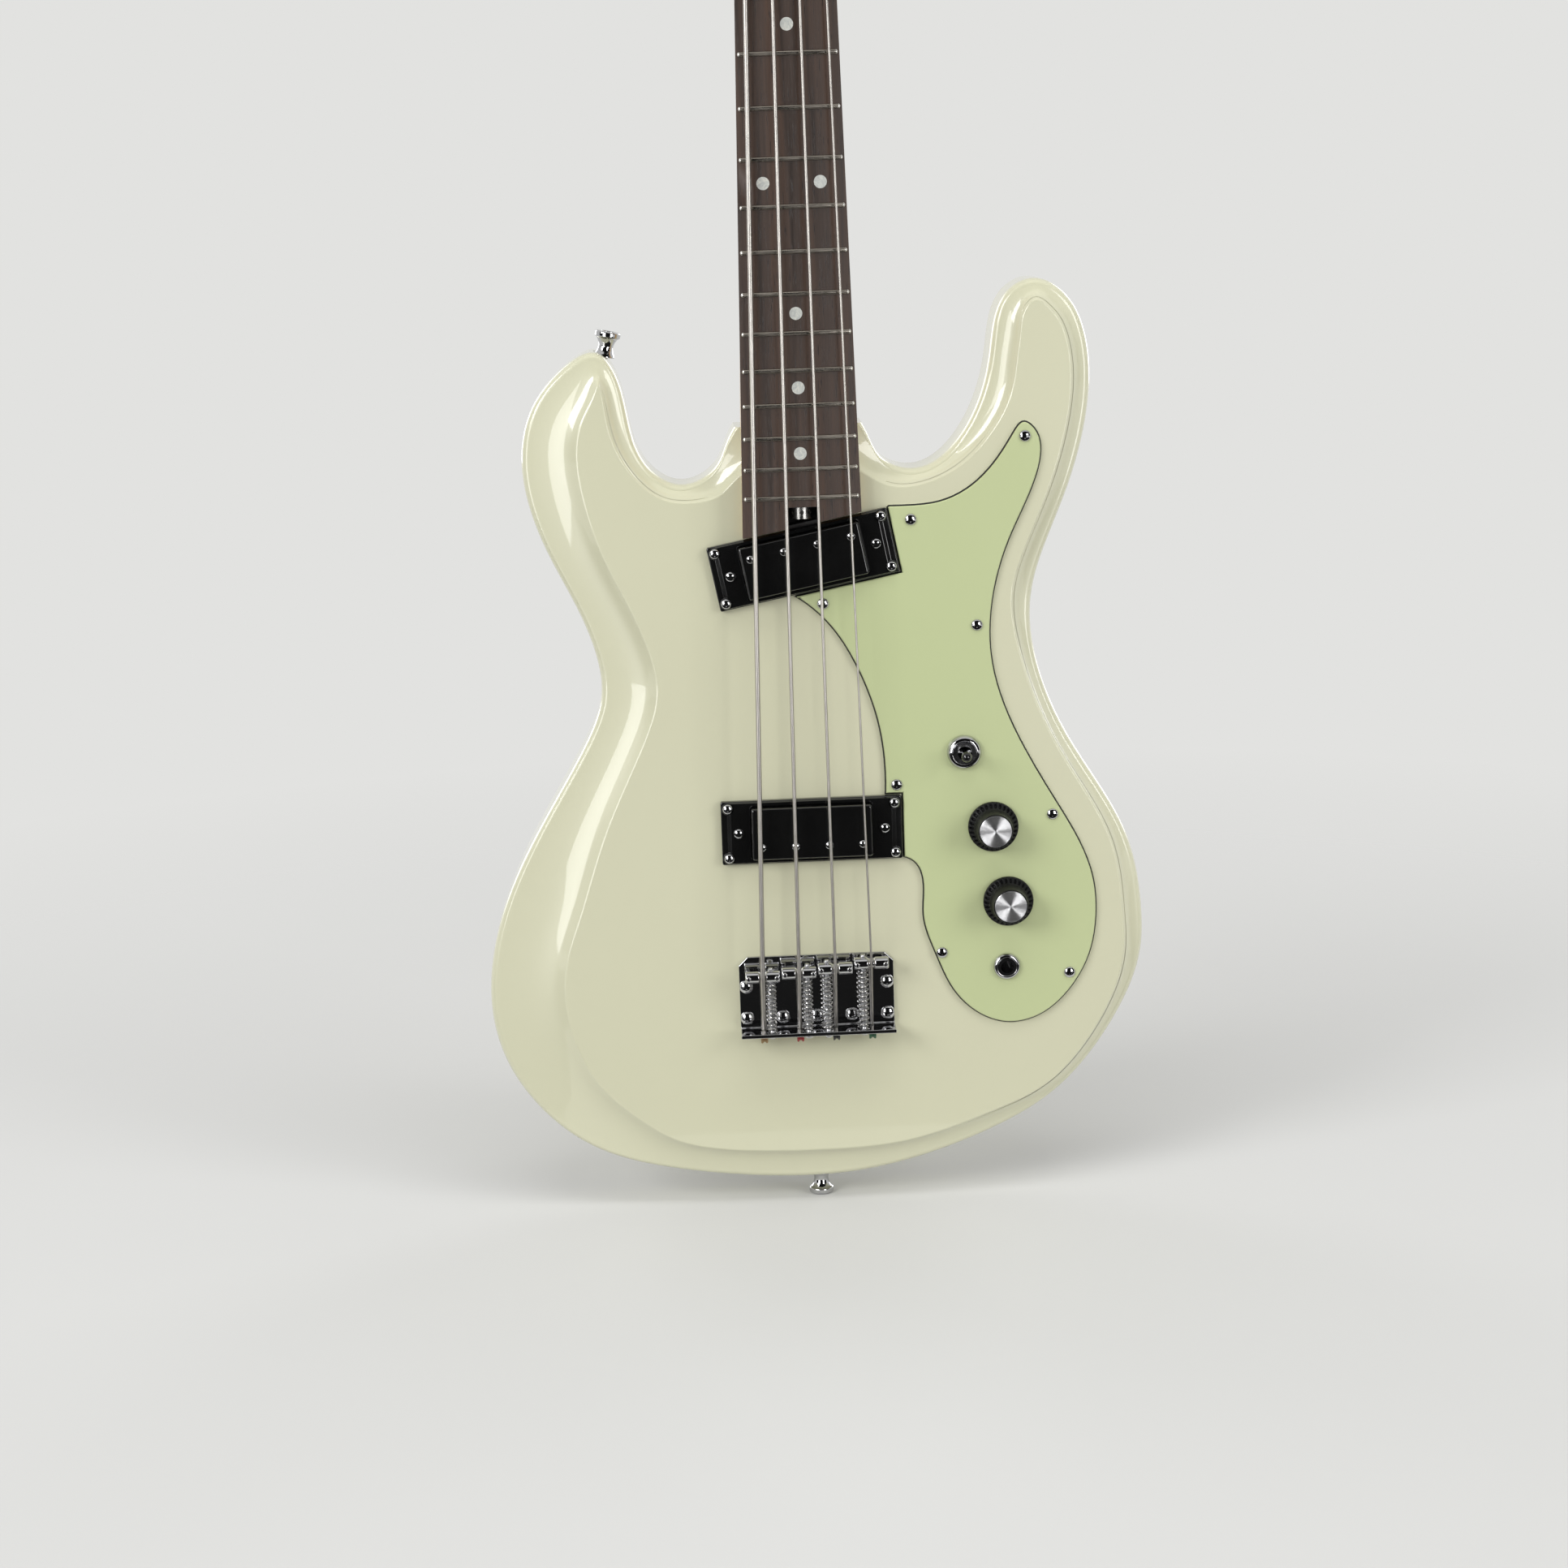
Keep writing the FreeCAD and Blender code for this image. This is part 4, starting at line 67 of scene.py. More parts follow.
# Shared places, in millimetres: front is -Y, +Z runs up the neck
FRONT_Y = -20.0
BACK_Y = 20.0
SADDLE_Z = 130.0
SCALE_LENGTH = 775.0
NUT_Z = SADDLE_Z + SCALE_LENGTH
GUARD_Y = -22.3
LIP_Z = 95.2
PLATE_Y = -22.0
RING_Y = -24.0
COVER_Y = -29.0
CROWN_Y = -30.0
HEEL_Y = -4.0
HEEL_Z = 409.0
NECK_LOW_Z = 308.6
NECK_TOP_Y = -24.5
HEAD_FACE_Y = -18.0
HEAD_BACK_Y = -5.0
NOTCH_Z = 369.47
FORWARD = (0.0, -1.0, 0.0)
BACKWARD = (0.0, 1.0, 0.0)
SIDEWAYS = (1.0, 0.0, 0.0)
UPWARD = (0.0, 0.0, 1.0)

# Body: the hollow carve has a steep share at the plateau and a slow share towards the rim
CARVE_DEPTH = 6.2
STEEP_SHARE = 0.55
STEEP_POWER = 6
SLOW_SHARE = 0.45
SLOW_POWER = 1.6
RIM_ROUNDING = 3.2
RIM_DEPTH = 11.0
BACK_ROUNDING = 4.0

# Fingerboard
FRET_COUNT = 20
BOARD_RADIUS = 241.0
BOARD_WIDTH_AT_NUT = 38.0
BOARD_WIDTH_AT_LAST_FRET = 59.5
BOARD_GAP = 1.18

# Pickups: height of the middle and slant in degrees
PICKUPS = {"neck": (SADDLE_Z + 211.9, 10.8), "bridge": (SADDLE_Z + 71.7, 0.0)}
SURROUND_HALF_LENGTH = 46.5
SURROUND_HALF_WIDTH = 16.65
COVER_HALF_LENGTH = 31.0
COVER_HALF_WIDTH = 13.5
COVER_ROUNDING = 1.2

# Controls: x and z
VOLUME_AT = (93.6, SADDLE_Z + 70.0)
TONE_AT = (100.7, SADDLE_Z + 30.1)
SWITCH_AT = (79.5, SADDLE_Z + 109.6)
JACK_AT = (99.4, SADDLE_Z - 5.1)
KNOB_Y = GUARD_Y - 0.6
CAP_HEIGHT = 12.6

# Strings, bass to treble
STRING_RADII = (1.3, 1.05, 0.85, 0.6)
STRING_SIDES = (-1.5, -0.5, 0.5, 1.5)
SADDLE_STAGGER = (-3.2, -1.4, 0.2, 1.9)
SPACING_AT_BRIDGE = 18.8
SPACING_AT_NUT = 9.75
SHOULDER_BEND = 4.0
RETAINER_Y = -29.6
RETAINER_Z = NUT_Z + 26.0
RETAINER_RADIUS = 2.66
POST_LEAD = 8.0
WRAP_RADIUS = 5.5
WRAP_START_Y = -22.0
WRAP_ANGLE = 4 * math.pi

# Tuner posts in the order of the strings: x, z and side
POSTS = (
    (-25.0, NUT_Z + 62.0, -1), (-25.0, NUT_Z + 128.0, -1),
    (25.0, NUT_Z + 128.0, 1), (25.0, NUT_Z + 62.0, 1),
)

# Body rim x and z, then the matching point of the plateau's edge, z from the saddles
BODY_OUTLINE = (
    (0, -119, 0, -102), (56, -110, 50, -98), (100, -93, 93, -84), (136, -67, 128, -64),
    (168, -15, 159, -13), (172, 20, 161, 22), (163, 64, 154, 63), (133, 117, 126, 115),
    (116.5, 168, 107.5, 170), (120, 202, 108.5, 201), (137, 245, 126, 244), (148, 296, 138, 296),
    (143.5, 328, 134, 324), (134, 342, 128, 333), (120.5, 348, 120.5, 338), (107, 342, 114, 331),
    (100, 328, 112, 320), (97, 309, 110, 307), (90, 285, 104, 284), (75, 263, 81, 257),
    (58, 255, 57, 247.5), (41, 262, 42, 249), (31, 281, 30, 256), (0, 298, 0, 268),
    (-33, 278, -32, 254), (-42, 260, -43, 245), (-58, 251, -60, 243), (-73, 257, -76, 249),
    (-83, 274, -91, 269), (-89, 303, -97, 294), (-100, 318.5, -99.5, 303), (-115, 313, -102.5, 297),
    (-133, 293, -109, 284), (-140, 262, -112, 262), (-131, 223, -103.5, 223), (-114, 186, -88, 188),
    (-105, 152, -77, 153), (-111, 126, -82, 126), (-140, 76, -105, 76), (-162, 30, -121, 30),
    (-170, -13, -131, -8), (-161, -54, -121, -52), (-129, -92, -95, -81), (-81, -111, -65, -97),
)
CAVITY_OUTLINE = (
    (62, 121), (96, 121), (116, 76), (123, 30), (119, -10),
    (104, -22), (86, -18), (76, 0), (74, 40), (66, 76),
)


def srgb(red, green, blue):
    """A colour as a screen shows it, in Blender's linear numbers."""
    parts = [value / 255 for value in (red, green, blue)]
    return tuple(v / 12.92 if v <= 0.04045 else ((v + 0.055) / 1.055) ** 2.4 for v in parts)


def colour_property(name, description, value):
    return FloatVectorProperty(
        name=name, description=description, subtype="COLOR", size=3, min=0.0, max=1.0, default=srgb(*value))


def length_property(name, description, value, low, high):
    return FloatProperty(
        name=name, description=description, default=value, min=low, max=high, unit="LENGTH")


def count_property(name, description, value, low, high):
    return IntProperty(name=name, description=description, default=value, min=low, max=high)


def power_property(name, description, value):
    return FloatProperty(name=name, description=description, default=value, min=0.0, unit="POWER")


class BassFinishSettings(bpy.types.PropertyGroup):
    """Colours of the visible finishes."""

    cream: colour_property("Body lacquer", "Gloss lacquer of the carved body", (206, 205, 177))
    mint: colour_property("Pickguard", "Top layer of the pickguard", (188, 197, 150))
    rosewood: colour_property("Fingerboard", "Middle tone of the fingerboard wood", (60, 42, 31))
    maple: colour_property("Neck", "Middle tone of the neck wood", (200, 164, 116))
    black: colour_property("Black parts", "Pickups and knobs", (14, 14, 14))


class BassShapeSettings(bpy.types.PropertyGroup):
    """Sizes of details that the solids leave plain."""

    ridge_softness: length_property(
        "Ridge softness", "How far the plateau's edge is rounded to each side", 0.001, 0.0001, 0.002)
    outline_steps: count_property("Outline steps", "Points round the body's outline", 960, 200, 2000)
    winding_pitch: length_property(
        "Winding pitch", "Spacing of the wrap wire on the thickest string", 0.001, 0.0004, 0.003)
    knob_flutes: count_property("Knob flutes", "Grip notches round a knob's skirt", 30, 8, 60)
    cap_rings: count_property("Cap rings", "Turned rings on a knob's metal cap", 18, 4, 40)


class BassStageSettings(bpy.types.PropertyGroup):
    """Light and background."""

    key_power: power_property("Key light", "Large soft light in front", 48.0)
    fill_power: power_property("Fill light", "Softer light from the treble side", 30.0)
    top_power: power_property("Top light", "Long soft light overhead", 20.0)
    sheen_power: power_property("Sheen", "Panels that only the gloss shows", 6.0)
    back_power: power_property("Back lights", "Soft light from behind on each side", 24.0)
    floor: colour_property("Floor", "Plain pale floor and background", (226, 226, 224))


# Shapes in the making
def welded(points, spacing):
    """Points without doubles, and the new number of each old point."""
    keys = np.round(points / spacing).astype(np.int64)
    _, first, same = np.unique(keys, axis=0, return_index=True, return_inverse=True)
    return points[first], same.reshape(-1)


class Shape:
    """Points, faces and finish numbers of a piece in the making, in millimetres."""

    def __init__(self):
        self.points = []
        self.faces = []
        self.marks = []
        self.count = 0

    def add(self, points, faces, mark=0):
        points = np.asarray(points, float)
        self.points.append(points)
        self.faces += [[i + self.count for i in face] for face in faces]
        self.marks += [mark] * len(faces)
        self.count += len(points)
        return self

    def joined(self, spacing):
        """The same shape with points that lie together made one."""
        points, same = welded(np.concatenate(self.points), spacing)
        shape = Shape().add(points, [])
        for face, mark in zip(self.faces, self.marks):
            corners = list(dict.fromkeys(int(same[i]) for i in face))
            if len(corners) > 2:
                shape.faces.append(corners)
                shape.marks.append(mark)
        return shape


def clamped(value):
    """A value held between 0 and 1."""
    return min(1.0, max(0.0, value))


def unit(vector):
    vector = np.asarray(vector, float)
    return vector / np.linalg.norm(vector)


def placed(points, at, way):
    """Points made along +Z from the origin, moved to start at a place and run along a way."""
    along = unit(way)
    side = np.array((0.0, 0.0, 1.0)) if abs(along[0]) > 0.9 else np.array((1.0, 0.0, 0.0))
    side = unit(side - along * side.dot(along))
    up = np.cross(along, side)
    points = np.asarray(points, float)
    return np.asarray(at) + points[:, :1] * side + points[:, 1:2] * up + points[:, 2:] * along


def softened(corners, radius, steps=3, closed=False):
    """A run of corners with each corner rounded off by up to a radius."""
    corners = [np.asarray(c, float) for c in corners]
    count = len(corners)
    out = []
    for i, corner in enumerate(corners):
        if not closed and i in (0, count - 1):
            out.append(corner)
            continue
        before = corners[i - 1] - corner
        after = corners[(i + 1) % count] - corner
        reach = min(radius, 0.45 * np.linalg.norm(before), 0.45 * np.linalg.norm(after))
        start = corner + unit(before) * reach
        end = corner + unit(after) * reach
        for t in np.linspace(0, 1, steps + 1):
            out.append((1 - t) ** 2 * start + 2 * t * (1 - t) * corner + t * t * end)
    return out


def turned(profile, sides=48, closed=False):
    """A turned piece along +Z from its half section, as radius and height."""
    ring = np.linspace(0, 2 * math.pi, sides, endpoint=False)
    points, rows = [], []
    for radius, height in profile:
        if radius < 1e-6:
            rows.append([len(points)] * sides)
            points.append((0.0, 0.0, height))
        else:
            rows.append(list(range(len(points), len(points) + sides)))
            points += [(radius * math.cos(a), radius * math.sin(a), height) for a in ring]
    faces = []
    pairs = list(zip(rows, rows[1:])) + ([(rows[-1], rows[0])] if closed else [])
    for low, high in pairs:
        for i in range(sides):
            j = (i + 1) % sides
            face = list(dict.fromkeys((low[i], low[j], high[j], high[i])))
            if len(face) > 2:
                faces.append(face)
    return np.array(points), faces


def turned_at(profile, sides, at, way, closed=False):
    """A turned piece that starts at a place and runs along a way."""
    points, faces = turned(profile, sides, closed)
    return placed(points, at, way), faces


def pin(radius, low, high):
    """The half section of a plain round pin."""
    return [(0.0, low), (radius, low), (radius, high), (0.0, high)]


def stacked(loops, closed=False, low_cap=True, high_cap=True):
    """Faces between loops of equal length, with flat ends unless the stack closes on itself."""
    size = len(loops[0])
    points = np.concatenate([np.asarray(loop, float) for loop in loops])
    faces = []
    last = len(loops) if closed else len(loops) - 1
    for row in range(last):
        a, b = row * size, ((row + 1) % len(loops)) * size
        for i in range(size):
            j = (i + 1) % size
            faces.append([a + i, a + j, b + j, b + i])
    if not closed and low_cap:
        faces.append(list(range(size))[::-1])
    if not closed and high_cap:
        faces.append(list(range((len(loops) - 1) * size, len(loops) * size)))
    return points, faces


def prism(outline, y0, y1):
    """A block between two depths from its front view, as x and z."""
    front = [(x, y0, z) for x, z in outline]
    back = [(x, y1, z) for x, z in outline]
    return stacked([front, back])


def box_prism(x0, x1, y0, y1, z0, z1):
    return prism([(x0, z0), (x1, z0), (x1, z1), (x0, z1)], y0, y1)


def quad(half_length, half_width, level):
    """The corners of a rectangle round the Z axis."""
    return [(i * half_length, j * half_width, level) for i, j in ((-1, -1), (1, -1), (1, 1), (-1, 1))]


def hexagon(rows):
    """A six-sided block along +Z from rows of radius and height."""
    angles = np.arange(6) * math.pi / 3
    return stacked([[(r * math.cos(a), r * math.sin(a), h) for a in angles] for r, h in rows])


def rounded_rectangle(half_length, half_width, radius, steps=5):
    points = []
    for i, j, start in ((1, 1, 0), (-1, 1, 90), (-1, -1, 180), (1, -1, 270)):
        for k in range(steps + 1):
            a = math.radians(start + 90 * k / steps)
            u = i * (half_length - radius) + radius * math.cos(a)
            points.append((u, j * (half_width - radius) + radius * math.sin(a)))
    return points


def reworked(mesh, work):
    """Run one edit over a mesh."""
    made = bmesh.new()
    made.from_mesh(mesh)
    work(made)
    made.to_mesh(mesh)
    made.free()


def faced_outward(made):
    bmesh.ops.recalc_face_normals(made, faces=made.faces)


def cleaned(made):
    """Take out the slivers that cuts can leave."""
    sliver = 0.0005
    bmesh.ops.remove_doubles(made, verts=made.verts, dist=sliver)
    bmesh.ops.dissolve_degenerate(made, edges=made.edges, dist=sliver)


def loose_mesh(points, faces):
    mesh = bpy.data.meshes.new("making")
    mesh.from_pydata(np.asarray(points, float).tolist(), [], [list(map(int, f)) for f in faces])
    reworked(mesh, faced_outward)
    return mesh


def used_up(mesh):
    """The points and faces of a mesh, which is then removed."""
    points = np.array([v.co for v in mesh.vertices], float)
    faces = [list(p.vertices) for p in mesh.polygons]
    bpy.data.meshes.remove(mesh)
    return points, faces


def carved(points, faces, cutters):
    """A shape less its cutters."""
    objects = []
    for shape in [(points, faces)] + list(cutters):
        item = bpy.data.objects.new("making", loose_mesh(*shape))
        bpy.context.scene.collection.objects.link(item)
        objects.append(item)
    for tool in objects[1:]:
        cut = objects[0].modifiers.new("cut", "BOOLEAN")
        cut.operation = "DIFFERENCE"
        cut.solver = "EXACT"
        cut.object = tool
    result = objects[0].evaluated_get(bpy.context.evaluated_depsgraph_get())
    mesh = bpy.data.meshes.new_from_object(result)
    reworked(mesh, cleaned)
    left, kept = used_up(mesh)
    for item in objects:
        data = item.data
        bpy.data.objects.remove(item)
        bpy.data.meshes.remove(data)
    if not kept:
        raise RuntimeError("a cut left nothing of a piece")
    return left, kept


def bevelled(points, faces, width, segments):
    """A shape with its sharp edges rounded off."""
    limit = math.radians(35.0)

    def round_off(made):
        sharp = [e for e in made.edges if len(e.link_faces) == 2 and e.calc_face_angle() > limit]
        bmesh.ops.bevel(
            made, geom=sharp, offset=width, segments=segments, profile=0.5, affect="EDGES",
            clamp_overlap=True)

    mesh = loose_mesh(points, faces)
    reworked(mesh, round_off)
    return used_up(mesh)


def running_length(path):
    """The length from the start of a path to each of its points."""
    return np.concatenate(([0.0], np.cumsum(np.linalg.norm(np.diff(path, axis=0), axis=1))))


def swept(path, radius, sides=10, winding=0.0, depth=0.0):
    """A round wire along a path, with the ridges of a wrap wire if a winding pitch is given."""
    path = np.asarray(path, float)
    ways = np.gradient(path, axis=0)
    ways /= np.linalg.norm(ways, axis=1)[:, None]
    start = np.cross(ways[0], (0.31, 0.77, 0.55))
    normals = [unit(start)]
    for way in ways[1:]:
        normals.append(unit(normals[-1] - way * normals[-1].dot(way)))
    normals = np.array(normals)
    sides_way = np.cross(ways, normals)
    run = running_length(path)
    angles = np.linspace(0, 2 * math.pi, sides, endpoint=False)
    reach = np.full((len(path), sides), radius)
    if winding:
        reach -= depth * (0.5 - 0.5 * np.cos(2 * math.pi * run[:, None] / winding - angles[None, :]))
    points = path[:, None, :] + reach[..., None] * (
        np.cos(angles)[None, :, None] * normals[:, None, :]
        + np.sin(angles)[None, :, None] * sides_way[:, None, :])
    return stacked(list(points))


def resampled(path, step):
    """A path with its points a step apart."""
    path = np.asarray(path, float)
    run = running_length(path)
    at = np.linspace(0, run[-1], max(2, int(round(run[-1] / step)) + 1))
    return np.stack([np.interp(at, run, path[:, i]) for i in range(3)], axis=1)


def make_piece(name, shape, body, finishes, stands_for=(), crease=38.0, even=False):
    """Turn points and faces into a smooth piece that rides on a body."""
    mesh = bpy.data.meshes.new(name)
    mesh.from_pydata((np.concatenate(shape.points) * MM).tolist(), [], shape.faces)
    mesh.polygons.foreach_set("material_index", shape.marks)
    for item in finishes:
        mesh.materials.append(finish(item))
    reworked(mesh, faced_outward)
    mesh.shade_smooth()
    mesh.set_sharp_from_angle(angle=math.radians(crease))
    piece = bpy.data.objects.new(name, mesh)
    bpy.context.scene.collection.objects.link(piece)
    if even:
        steady = piece.modifiers.new("even_shading", "WEIGHTED_NORMAL")
        steady.mode = "FACE_AREA"
        steady.keep_sharp = True
        steady.weight = 60
    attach(piece, body)
    if stands_for:
        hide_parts(*stands_for)
    return piece


def chrome_piece(name, shape, node, body="instrument", even=False):
    """A chromed piece in the place of one solid."""
    make_piece(name, shape, body, ["chrome"], [node], even=even)


def dress_node(node, name):
    """Give a kept solid its finish."""
    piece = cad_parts[node]
    if not piece.material_slots:
        piece.data.materials.append(finish(name))
    for place in piece.material_slots:
        place.material = finish(name)


# Reading places from the solids
def welded_node(node):
    """A solid's points without doubles, and its triangles."""
    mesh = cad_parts[node].data
    points = np.empty(len(mesh.vertices) * 3)
    mesh.vertices.foreach_get("co", points)
    points = points.reshape(-1, 3) / MM
    mesh.calc_loop_triangles()
    corners = np.empty(len(mesh.loop_triangles) * 3, int)
    mesh.loop_triangles.foreach_get("vertices", corners)
    points, same = welded(points, 0.002)
    return points, same[corners].reshape(-1, 3)


def islands(node):
    """The point clouds of a node's separate solids."""
    points, triangles = welded_node(node)
    labels = np.arange(len(points))
    while True:
        lowest = labels[triangles].min(axis=1)
        fresh = labels.copy()
        np.minimum.at(fresh, triangles.ravel(), np.repeat(lowest, 3))
        fresh = fresh[fresh]
        if (fresh == labels).all():
            break
        labels = fresh
    return [points[labels == label] for label in np.unique(labels)]


def fastener_seats(node):
    """Seat, direction of the shank and length for each screw of a node, which run along Y."""
    found = []
    for cloud in islands(node):
        low, high = cloud.min(axis=0), cloud.max(axis=0)
        seat = (low + high) / 2
        radius = np.linalg.norm(cloud[:, [0, 2]] - seat[[0, 2]], axis=1)
        level = cloud[radius > radius.max() - 0.02][:, 1].mean()
        tip = high[1] if high[1] - level > level - low[1] else low[1]
        seat[1] = level
        found.append((seat, BACKWARD if tip > level else FORWARD, abs(tip - level)))
    return found


def seated_screws(name, node, form):
    """One piece with a screw at each seat of a node."""
    shape = Shape()
    for seat, way, _ in fastener_seats(node):
        shape.add(placed(form[0], seat, way), form[1])
    chrome_piece(name, shape, node)


# Finishes: a cloudy value mostly lies between these two
CLOUD_LOW = 0.3
CLOUD_HIGH = 0.7


def finish(name):
    """One finish by name, made when it is first asked for."""
    label = name + "_finish"
    if label not in bpy.data.materials:
        FINISHES[name](label)
    return bpy.data.materials[label]


def set_inputs(node, values):
    for name, value in values.items():
        node.inputs[name].default_value = value
    return node


def new_finish(label, colour, roughness, metallic=0.0, coat=0.0, coat_roughness=0.04, anisotropy=0.0):
    material = bpy.data.materials.new(label)
    material.use_nodes = True
    tree = material.node_tree
    shader = set_inputs(tree.nodes["Principled BSDF"], {
        "Base Color": (*colour, 1.0), "Roughness": roughness, "Metallic": metallic,
        "Coat Weight": coat, "Coat Roughness": coat_roughness, "Anisotropic": anisotropy})
    return tree, shader


def grain(tree, scale, detail=3.0, roughness=0.55, distortion=0.0, stretch=(1.0, 1.0, 1.0)):
    """A cloudy value in the piece's own space, stretched along its grain."""
    place = tree.nodes.new("ShaderNodeTexCoord")
    mapping = set_inputs(tree.nodes.new("ShaderNodeMapping"), {"Scale": stretch})
    noise = set_inputs(tree.nodes.new("ShaderNodeTexNoise"), {
        "Scale": scale, "Detail": detail, "Roughness": roughness, "Distortion": distortion})
    tree.links.new(place.outputs["Object"], mapping.inputs["Vector"])
    tree.links.new(mapping.outputs["Vector"], noise.inputs["Vector"])
    return noise.outputs["Fac"]


def tones(tree, value, stops):
    """Colours along a value."""
    ramp = tree.nodes.new("ShaderNodeValToRGB")
    for i, (at, colour) in enumerate(stops):
        stop = ramp.color_ramp.elements[i] if i < 2 else ramp.color_ramp.elements.new(at)
        stop.position = at
        stop.color = (*colour, 1.0)
    tree.links.new(value, ramp.inputs["Fac"])
    return ramp.outputs["Color"]


def ranged(tree, value, low, high, start=CLOUD_LOW, end=CLOUD_HIGH):
    """A value spread between two numbers."""
    spread = set_inputs(tree.nodes.new("ShaderNodeMapRange"), {
        "From Min": start, "From Max": end, "To Min": low, "To Max": high})
    tree.links.new(value, spread.inputs["Value"])
    return spread.outputs["Result"]


def blended(tree, share, first, second, kind="MIX"):
    """Two colours mixed by a share, which is a number or a node's value."""
    mix = tree.nodes.new("ShaderNodeMix")
    mix.data_type = "RGBA"
    mix.blend_type = kind
    if isinstance(share, float):
        mix.inputs["Factor"].default_value = share
    else:
        tree.links.new(share, mix.inputs["Factor"])
    tree.links.new(first, mix.inputs["A"])
    tree.links.new(second, mix.inputs["B"])
    return mix.outputs["Result"]


def relief(tree, shader, value, strength, distance):
    bump = set_inputs(tree.nodes.new("ShaderNodeBump"), {"Strength": strength, "Distance": distance})
    tree.links.new(value, bump.inputs["Height"])
    tree.links.new(bump.outputs["Normal"], shader.inputs["Normal"])


def shaded(colour, factor):
    return tuple(clamped(c * factor) for c in colour)


def coloured(tree, shader, value, stops):
    """Colour a finish along a value."""
    tree.links.new(tones(tree, value, stops), shader.inputs["Base Color"])


def painted(tree, shader, value, colour, low, high):
    """Let a colour drift a little with a value."""
    coloured(tree, shader, value, [(CLOUD_LOW, shaded(colour, low)), (CLOUD_HIGH, shaded(colour, high))])


def roughened(tree, shader, value, low, high):
    """Let the gloss drift between two numbers with a value."""
    tree.links.new(ranged(tree, value, low, high), shader.inputs["Roughness"])


def cream_lacquer(label):
    colour = bpy.context.scene.bass_finish.cream
    tree, shader = new_finish(label, colour, 0.3, coat=1.0, coat_roughness=0.035)
    painted(tree, shader, grain(tree, 5.0, detail=2.0), colour, 0.985, 1.0)
    roughened(tree, shader, grain(tree, 9.0), 0.28, 0.34)
    relief(tree, shader, grain(tree, 70.0, detail=1.0), 0.012, 0.0008)


def mint_plastic(label):
    colour = bpy.context.scene.bass_finish.mint
    tree, shader = new_finish(label, colour, 0.3, coat=0.5, coat_roughness=0.08)
    painted(tree, shader, grain(tree, 9.0, detail=2.0), colour, 0.992, 1.0)
    roughened(tree, shader, grain(tree, 30.0), 0.28, 0.32)
    relief(tree, shader, grain(tree, 55.0, detail=1.0), 0.01, 0.0008)


def plain_plastic(colour, roughness, coat=0.3, sheen=0.5):
    """A maker for one colour of plastic, with faint smudges and a fine grain."""
    def make(label):
        tree, shader = new_finish(label, colour, roughness, coat=coat, coat_roughness=0.06)
        shader.inputs["Specular IOR Level"].default_value = sheen
        painted(tree, shader, grain(tree, 120.0, detail=4.0), colour, 0.9, 1.1)
        smudges = grain(tree, 45.0, detail=7.0, roughness=0.7)
        roughened(tree, shader, smudges, roughness * 0.7, roughness * 1.5)
        relief(tree, shader, grain(tree, 1500.0, detail=2.0), 0.04, 0.0002)
    return make


def black_plastic(label):
    plain_plastic(tuple(bpy.context.scene.bass_finish.black), 0.13, 0.6)(label)


def plain_metal(colour, roughness, brushed=(1.0, 1.0, 1.0), spread=1.7, depth=0.02):
    """A maker for one kind of metal, with fine marks that change its gloss."""
    def make(label):
        tree, shader = new_finish(label, colour, roughness, metallic=1.0)
        painted(tree, shader, grain(tree, 90.0, detail=5.0), colour, 0.93, 1.05)
        marks = grain(tree, 240.0, detail=6.0, roughness=0.7, stretch=brushed)
        roughened(tree, shader, marks, roughness / spread, roughness * spread)
        relief(tree, shader, marks, depth, 0.0001)
    return make


def spun_aluminium(label):
    """Turned metal whose gloss fans out from the middle."""
    colour = (0.92, 0.92, 0.93)
    tree, shader = new_finish(label, colour, 0.34, metallic=1.0, anisotropy=1.0)
    painted(tree, shader, grain(tree, 400.0, detail=4.0), colour, 0.9, 1.03)
    around = tree.nodes.new("ShaderNodeTangent")
    around.direction_type = "RADIAL"
    around.axis = "Y"
    shader.inputs["Anisotropic Rotation"].default_value = 0.25
    tree.links.new(around.outputs["Tangent"], shader.inputs["Tangent"])


def rosewood(label):
    colour = bpy.context.scene.bass_finish.rosewood
    tree, shader = new_finish(label, colour, 0.5, coat=0.06, coat_roughness=0.3)
    figure = grain(tree, 1.0, detail=9.0, roughness=0.62, distortion=0.9, stretch=(150.0, 150.0, 5.0))
    streaks = tones(tree, figure, [
        (0.26, shaded(colour, 0.42)), (0.74, shaded(colour, 1.75)), (0.42, shaded(colour, 0.85)),
        (0.56, shaded(colour, 1.2))])
    pores = grain(tree, 1.0, detail=3.0, stretch=(1500.0, 1500.0, 90.0))
    pore_edge = (0.58, 0.66)
    holes = ranged(tree, pores, 0.0, 1.0, *pore_edge)
    dark = tones(tree, holes, [(0.0, (1.0, 1.0, 1.0)), (1.0, (0.34, 0.3, 0.28))])
    tree.links.new(blended(tree, holes, streaks, dark, "MULTIPLY"), shader.inputs["Base Color"])
    roughened(tree, shader, figure, 0.4, 0.62)
    relief(tree, shader, ranged(tree, pores, 1.0, 0.0, *pore_edge), 0.25, 0.0002)


